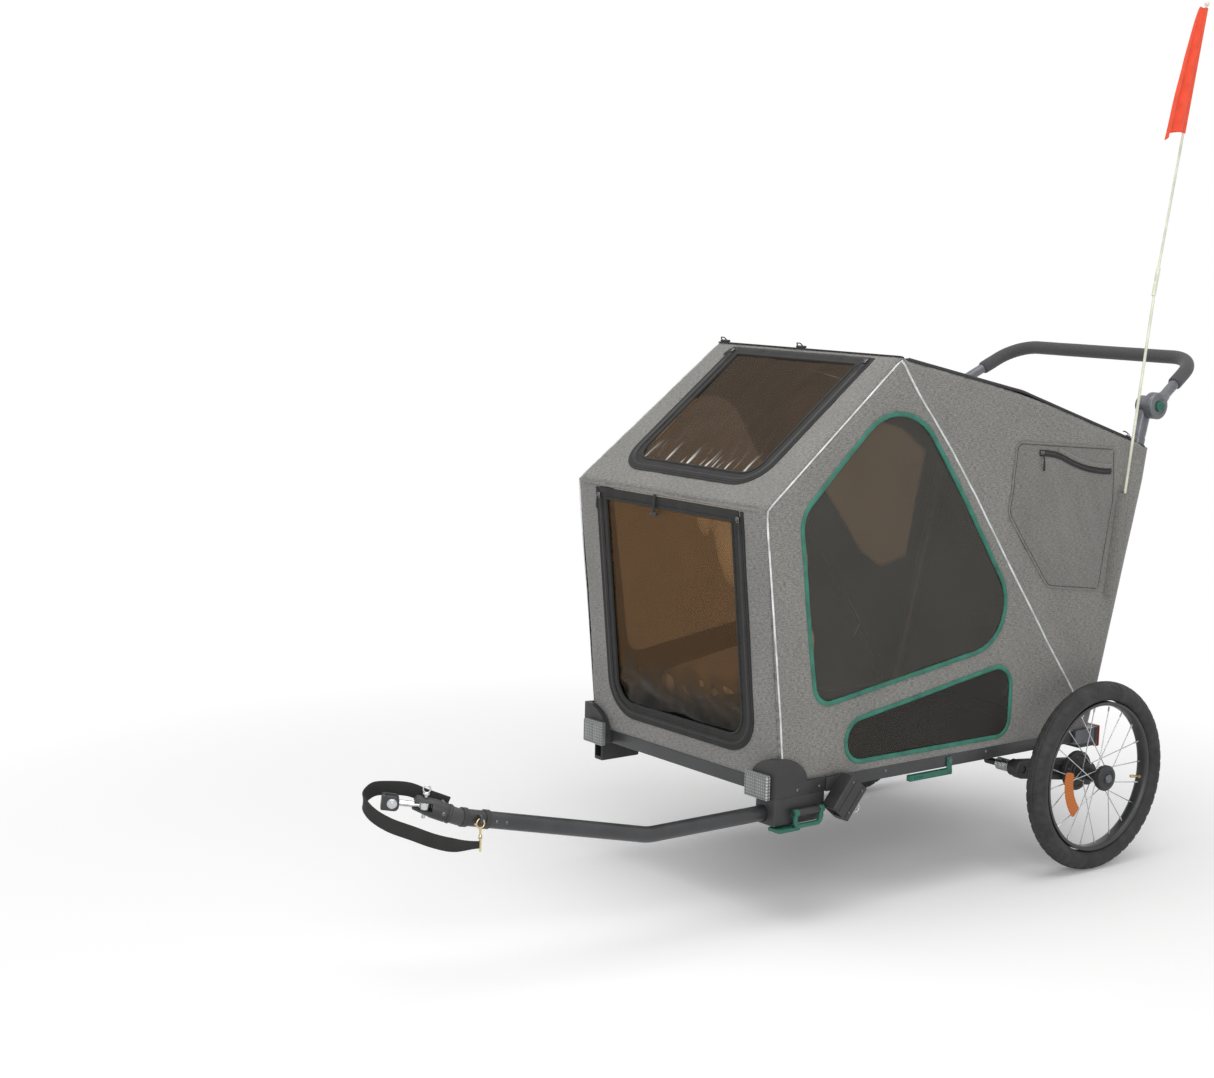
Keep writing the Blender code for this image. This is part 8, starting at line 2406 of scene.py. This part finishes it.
def make_pole_pocket():
    """The cloth sleeve that the pole stands in: a flat hump over the seam, closed below."""
    across = POLE_LOWER.cross(Vector((1, 0, 0))).normalized()
    half = POLE_POCKET_WIDTH / 2
    path = [POLE_FOOT + POLE_LOWER * (POLE_POCKET_LENGTH * k / 36 - POLE_POCKET_BELOW) for k in range(37)]
    frames = [(POLE_LOWER, Vector((1, 0, 0)), across)] * len(path)
    inner = half_width(POLE_FOOT.z) + 0.0006 - POLE_X
    outer = []
    for k in range(17):
        t = -1.0 + 2.0 * k / 16
        rise = (1.0 - abs(t) ** 3.0) ** 0.8
        outer.append((t * half, inner + (0.0062 - inner) * rise))
    hollow = [(a * 0.80, inner + (0.0050 - inner) * max(0.0, 1.0 - abs(a / half) ** 3.0) ** 0.8 - 0.0002)
              for a, _ in outer]
    section = outer + list(reversed(hollow))
    shell = sweep("pole_pocket_cloth", path, section, "pocket_cloth", "chassis", frames=frames)
    floor = sweep("pole_pocket_foot", path[:2], hollow, "pocket_cloth", "chassis", frames=frames[:2])
    whole = join("pole_pocket_sleeve", [shell, floor])
    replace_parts(whole, "pole_pocket")
    for sign in (-1, 1):
        edge = [p + across * (sign * (half - 0.0016)) + Vector((inner + 0.0022, 0, 0)) for p in path]
        tube(f"pole_pocket_seam_{'front' if sign < 0 else 'rear'}", edge, 0.0008, "zip_coil", "chassis", 8)


def make_pole():
    lower = evenly([POLE_FOOT + POLE_LOWER * GAP, POLE_MEET], 0.05, False)
    stick = tube("pole_stick", lower, POLE_RADIUS, "pole", "flag_pole", 24)
    r = FERRULE_RADIUS
    bore = POLE_RADIUS + GAP + 0.0001
    cup = [(-FERRULE_OVERLAP, 0.0), (-FERRULE_OVERLAP, r - 0.0008), (-FERRULE_OVERLAP + 0.0008, r),
           (-0.002, r), (-0.0012, r - 0.0005), (0.0012, r - 0.0005), (0.002, r),
           (FERRULE_LENGTH - FERRULE_OVERLAP - 0.0008, r), (FERRULE_LENGTH - FERRULE_OVERLAP, r - 0.0006),
           (FERRULE_LENGTH - FERRULE_OVERLAP, bore), (0.0004, bore), (0.0004, 0.0)]
    ferrule = lathe("pole_ferrule", cup, along(POLE_UPPER, POLE_MEET), "pole", "flag_pole", 36)
    whole = join("pole_lower_stick", [stick, ferrule])
    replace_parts(whole, "pole_lower")
    start = POLE_MEET + POLE_UPPER * (2 * GAP)
    end = POLE_MEET + POLE_UPPER * POLE_UPPER_LENGTH
    neck = POLE_UPPER_LENGTH - 2 * GAP
    thin = 0.9 * POLE_RADIUS
    first = math.asin(0.8 * thin / POLE_TIP_RADIUS)
    arc = [first + (math.pi - first) * k / 12 for k in range(13)]
    top = [(neck + POLE_TIP_RADIUS * (-math.cos(t)), POLE_TIP_RADIUS * math.sin(t)) for t in arc]
    top[-1] = (top[-1][0], 0.0)
    whip = lathe("pole_whip", [(0.0, 0.0), (0.0, thin - 0.0003), (0.0003, thin), (top[0][0] - 0.004, thin),
                               (top[0][0] - 0.001, thin * 0.8)] + top,
                 along(POLE_UPPER, start), "pole", "flag_tip", 24)
    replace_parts(whip, "pole_upper")
    return end


def make_flag(tip):
    """The pennant hanging down the pole in folds, sewn into a sleeve round it."""
    forward = -POLE_UPPER.cross(Vector((1, 0, 0)))
    if forward.y > 0:
        forward.negate()
    rows, columns = 66, 44
    sleeve = POLE_RADIUS + GAP

    def middle(down, across):
        width = FLAG_TOP_WIDTH + (FLAG_BOTTOM_WIDTH - FLAG_TOP_WIDTH) * down ** 0.6
        phase = math.tau * FLAG_FOLDS * across / 2 + 0.4 + 0.5 * math.sin(2.2 * down + 0.3)
        fold = FLAG_FOLD_DEPTH * math.sqrt(down) * math.sin(phase)
        fold += 0.0012 * noise.noise(Vector((across * 3.0, down * 5.0, 7.0)))
        fade = min(1.0, across * 4)
        reach = sleeve + width * across
        sag = FLAG_SAG * down * across * across
        return (tip - POLE_UPPER * (FLAG_TOP + FLAG_LENGTH * down + sag) + forward * reach
                + Vector((1, 0, 0)) * fold * fade)

    bm = bmesh.new()
    layer = bm.loops.layers.uv.new("UVMap")
    grid = [[bm.verts.new(middle(r / rows, c / columns)) for c in range(columns + 1)]
            for r in range(rows + 1)]
    for r in range(rows):
        for c in range(columns):
            face = bm.faces.new((grid[r][c], grid[r + 1][c], grid[r + 1][c + 1], grid[r][c + 1]))
            for loop, (i, j) in zip(face.loops, ((r, c), (r + 1, c), (r + 1, c + 1), (r, c + 1))):
                loop[layer].uv = (j / columns * FLAG_BOTTOM_WIDTH * 1.3, -i / rows * FLAG_LENGTH)
    area = sum(f.calc_area() for f in bm.faces)
    hems = [[grid[rows][c].co.copy() for c in range(columns + 1)],
            [grid[r][columns].co.copy() for r in range(rows + 1)],
            [grid[0][c].co.copy() for c in range(columns + 1)]]
    cloth = finish_mesh("flag_cloth", bm, "flag", "flag_tip", 180.0)
    wall = cloth.modifiers.new("thickness", "SOLIDIFY")
    wall.thickness = FLAG_THICKNESS
    wall.offset = 0.0
    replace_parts(cloth, "flag")
    for name, line in zip(("bottom", "fly", "top"), hems):
        tube(f"flag_hem_{name}", line, 0.0009, "flag", "flag_tip", 8)
    sewn = [(FLAG_TOP - 0.003, sleeve + 0.0002), (FLAG_TOP - 0.003, sleeve + 0.0010),
            (FLAG_TOP + FLAG_LENGTH, sleeve + 0.0010), (FLAG_TOP + FLAG_LENGTH, sleeve + 0.0002)]
    lathe("flag_sleeve", sewn, along(-POLE_UPPER, tip), "flag", "flag_tip", 28, 40.0, True)


def hanging(name, start, out, drop, width, thick, look, body, bow=0.004):
    """A short strap hanging down from a point, standing off by its bow."""
    path = [start + Vector((0, 0, -drop * k / 10)) + out * (bow * math.sin(math.pi * k / 10) + 0.001)
            for k in range(11)]
    return sweep(name, path, box_section(width, thick, thick * 0.4), look, body, up=out)


def make_toggles():
    head = wall_length(FRONT) - 0.006
    out = Vector((0, -1, 0.0))
    start = WALLS[FRONT](-0.033, head, 0.0016)
    strap = hanging("door_toggle_strap", start, out, 0.036, 0.0085, 0.0016, "webbing", "chassis", 0.003)
    end = start + Vector((0, 0, -0.038)) + out * 0.003
    knob = cylinder("toggle", end - Vector((0.010, 0, 0)), end + Vector((0.010, 0, 0)), 0.0034, "plastic",
                    "chassis", 0.0014, 24)
    join("door_toggle", [strap, knob])
    for name, x in (("middle", -0.018), ("right", -0.256)):
        top = WALLS[BACK_ROOF](x, 0.005, 0.0022)
        pad = bar(f"ridge_clip_{name}", (-0.011, -0.0055, 0.0), (0.011, 0.0055, 0.0048), "plastic", "chassis",
                  0.0018, axes_at(top, Vector((1, 0, 0)), Vector((0, 1, 0)), Vector((0, 0, 1))))
        loop = tube("loop",
                    bent([top + Vector((-0.008, -0.001, 0.002)), top + Vector((-0.006, -0.008, 0.010)),
                                  top + Vector((0.006, -0.008, 0.010)), top + Vector((0.008, -0.001, 0.002))],
                         0.004, 6),
                    0.0012, "webbing", "chassis", 10)
        join(f"ridge_toggle_{name}", [pad, loop])
    tail = wall_length(TAIL_ROOF)
    for side, hand in HANDS:
        edge = edge_x(TAIL_ROOF, tail - 0.06)
        slider(f"rear_slider_{hand}", WALLS[TAIL_ROOF], side * (edge - 0.007), tail - 0.068, math.pi / 2,
               "rear_roof_flap", 0.018, lift=0.0040)
        wall = WALLS[REAR]
        length = wall_length(REAR)
        seam = [Vector((side * (CABIN_HALF_WIDTH - 0.028), v)) for v in np.linspace(0.03, length - 0.012, 60)]
        band(f"rear_seam_{hand}", seam, wall, bead(-0.0020, 0.0020, 0.0022, 6), "side_cloth", "chassis",
             False, lift=0.0010)
        reflex = [Vector((side * (CABIN_HALF_WIDTH - 0.016), v)) for v in np.linspace(0.012, 0.150, 30)]
        band(f"rear_piping_{hand}", reflex, wall, bead(-0.0018, 0.0018, 0.0036, 6), "reflex", "chassis",
             False, lift=0.0010)
        strap = [Vector((side * (CABIN_HALF_WIDTH - 0.034), v)) for v in np.linspace(0.004, 0.120, 30)]
        band(f"rear_strap_{hand}", strap, wall, folded_tape(-0.0065, 0.0065, 0.0030), "webbing", "chassis",
             False, lift=0.0022)
    rise, z = Vector((0, POST_SLOPE, 1)).normalized(), COLLAR_Z - 0.004
    for side, hand in HANDS:
        ring = [(0.0, POST_RADIUS + 0.0002), (0.0, 0.0172), (0.0020, 0.0180), (0.0034, 0.0172),
                (0.0034, POST_RADIUS + 0.0002)]
        lathe(f"post_grommet_{hand}", ring, along(rise, at(side * POST_X, post_at(z), z)), "plastic",
              "chassis", 40, 35.0, True)


make_side_pocket()
make_pole_pocket()
make_flag(make_pole())
make_toggles()


# Floor, light and camera

WORLD_LIGHT = 0.36


def stage_material(name, inner, outer, near, far):
    """The floor: lit near the trailer, and fading to plain white further out."""
    look = Look(name)
    where = look.add("NewGeometry").outputs["Position"]
    reach = look.add("VectorMath", {"operation": "LENGTH"}, i0=where)
    share = look.add("MapRange", Value=reach.outputs["Value"], From_Min=near, From_Max=far)
    lit = look.add("AddShader", i0=look.add("BsdfDiffuse", Color=inner),
                   i1=look.add("Emission", Color=outer, Strength=0.10))
    plain = look.add("Emission", Color=outer, Strength=1.0)
    both = look.add("MixShader", i0=share.outputs["Result"], i1=lit, i2=plain)
    look.tree.links.new(both.outputs[0], look.output.inputs["Surface"])
    return look.material


def make_stage():
    bm = bmesh.new()
    bmesh.ops.create_circle(bm, cap_ends=True, segments=96, radius=30.0)
    mesh = bpy.data.meshes.new("floor")
    bm.to_mesh(mesh)
    bm.free()
    floor = placed("floor", mesh)
    mesh.materials.append(stage_material("floor_look", (0.97, 0.97, 0.97), (1.0, 1.0, 1.0), 0.7, 2.0))
    world = bpy.data.worlds.new("studio")
    bpy.context.scene.world = world
    world.use_nodes = True
    tree = world.node_tree
    tree.nodes.clear()
    out = tree.nodes.new("ShaderNodeOutputWorld")
    shown, lighting = (tree.nodes.new("ShaderNodeBackground") for _ in range(2))
    for node, strength in ((shown, 1.0), (lighting, WORLD_LIGHT)):
        node.inputs["Color"].default_value = (1.0, 1.0, 1.0, 1.0)
        node.inputs["Strength"].default_value = strength
    rays = tree.nodes.new("ShaderNodeLightPath")
    seen = rays.outputs["Is Camera Ray"]
    for kind in ("Is Glossy Ray", "Is Transmission Ray"):
        either = tree.nodes.new("ShaderNodeMath")
        either.operation = "MAXIMUM"
        tree.links.new(seen, either.inputs[0])
        tree.links.new(rays.outputs[kind], either.inputs[1])
        seen = either.outputs[0]
    mix = tree.nodes.new("ShaderNodeMixShader")
    tree.links.new(seen, mix.inputs[0])
    tree.links.new(lighting.outputs[0], mix.inputs[1])
    tree.links.new(shown.outputs[0], mix.inputs[2])
    tree.links.new(mix.outputs[0], out.inputs["Surface"])


def lamp(name, place, target, size, power):
    data = bpy.data.lights.new(name, "AREA")
    data.shape = "RECTANGLE"
    data.size, data.size_y = size
    data.energy = power
    made = placed(name, data)
    made.location = place
    made.rotation_euler = (Vector(target) - Vector(place)).to_track_quat("-Z", "Y").to_euler()


def make_lamps():
    lamp("overhead", (0.4, -0.3, 4.2), (0.0, 0.0, 0.5), (3.4, 3.4), 86.0)
    lamp("left_bank", (2.7, -2.3, 1.9), (0.2, -0.5, 0.6), (1.7, 1.7), 46.0)
    lamp("front_strip", (-1.4, -4.6, 2.3), (0.0, -0.2, 0.6), (1.0, 2.6), 18.0)


CAMERA_AT = (3.172, CABIN_FRONT_Y - 2.557, 1.291)
CAMERA_YAW, CAMERA_PITCH, CAMERA_ROLL = (math.radians(a) for a in (52.72, -8.09, 1.26))
CAMERA_LENS = 62.63


def make_camera():
    ahead = Vector((-math.sin(CAMERA_YAW) * math.cos(CAMERA_PITCH),
                    math.cos(CAMERA_YAW) * math.cos(CAMERA_PITCH), math.sin(CAMERA_PITCH)))
    right = Vector((math.cos(CAMERA_YAW), math.sin(CAMERA_YAW), 0.0))
    up = right.cross(ahead)
    c, s = math.cos(CAMERA_ROLL), math.sin(CAMERA_ROLL)
    turned = Matrix((right * c + up * s, up * c - right * s, -ahead)).transposed().to_4x4()
    turned.translation = CAMERA_AT
    data = bpy.data.cameras.new("camera")
    data.lens = CAMERA_LENS
    data.sensor_fit = "HORIZONTAL"
    data.sensor_width = 36.0
    camera = placed("camera", data)
    camera.matrix_world = turned
    bpy.context.scene.camera = camera


make_stage()
make_lamps()
make_camera()
bpy.context.scene.view_settings.view_transform = "Standard"

bpy.context.view_layer.update()
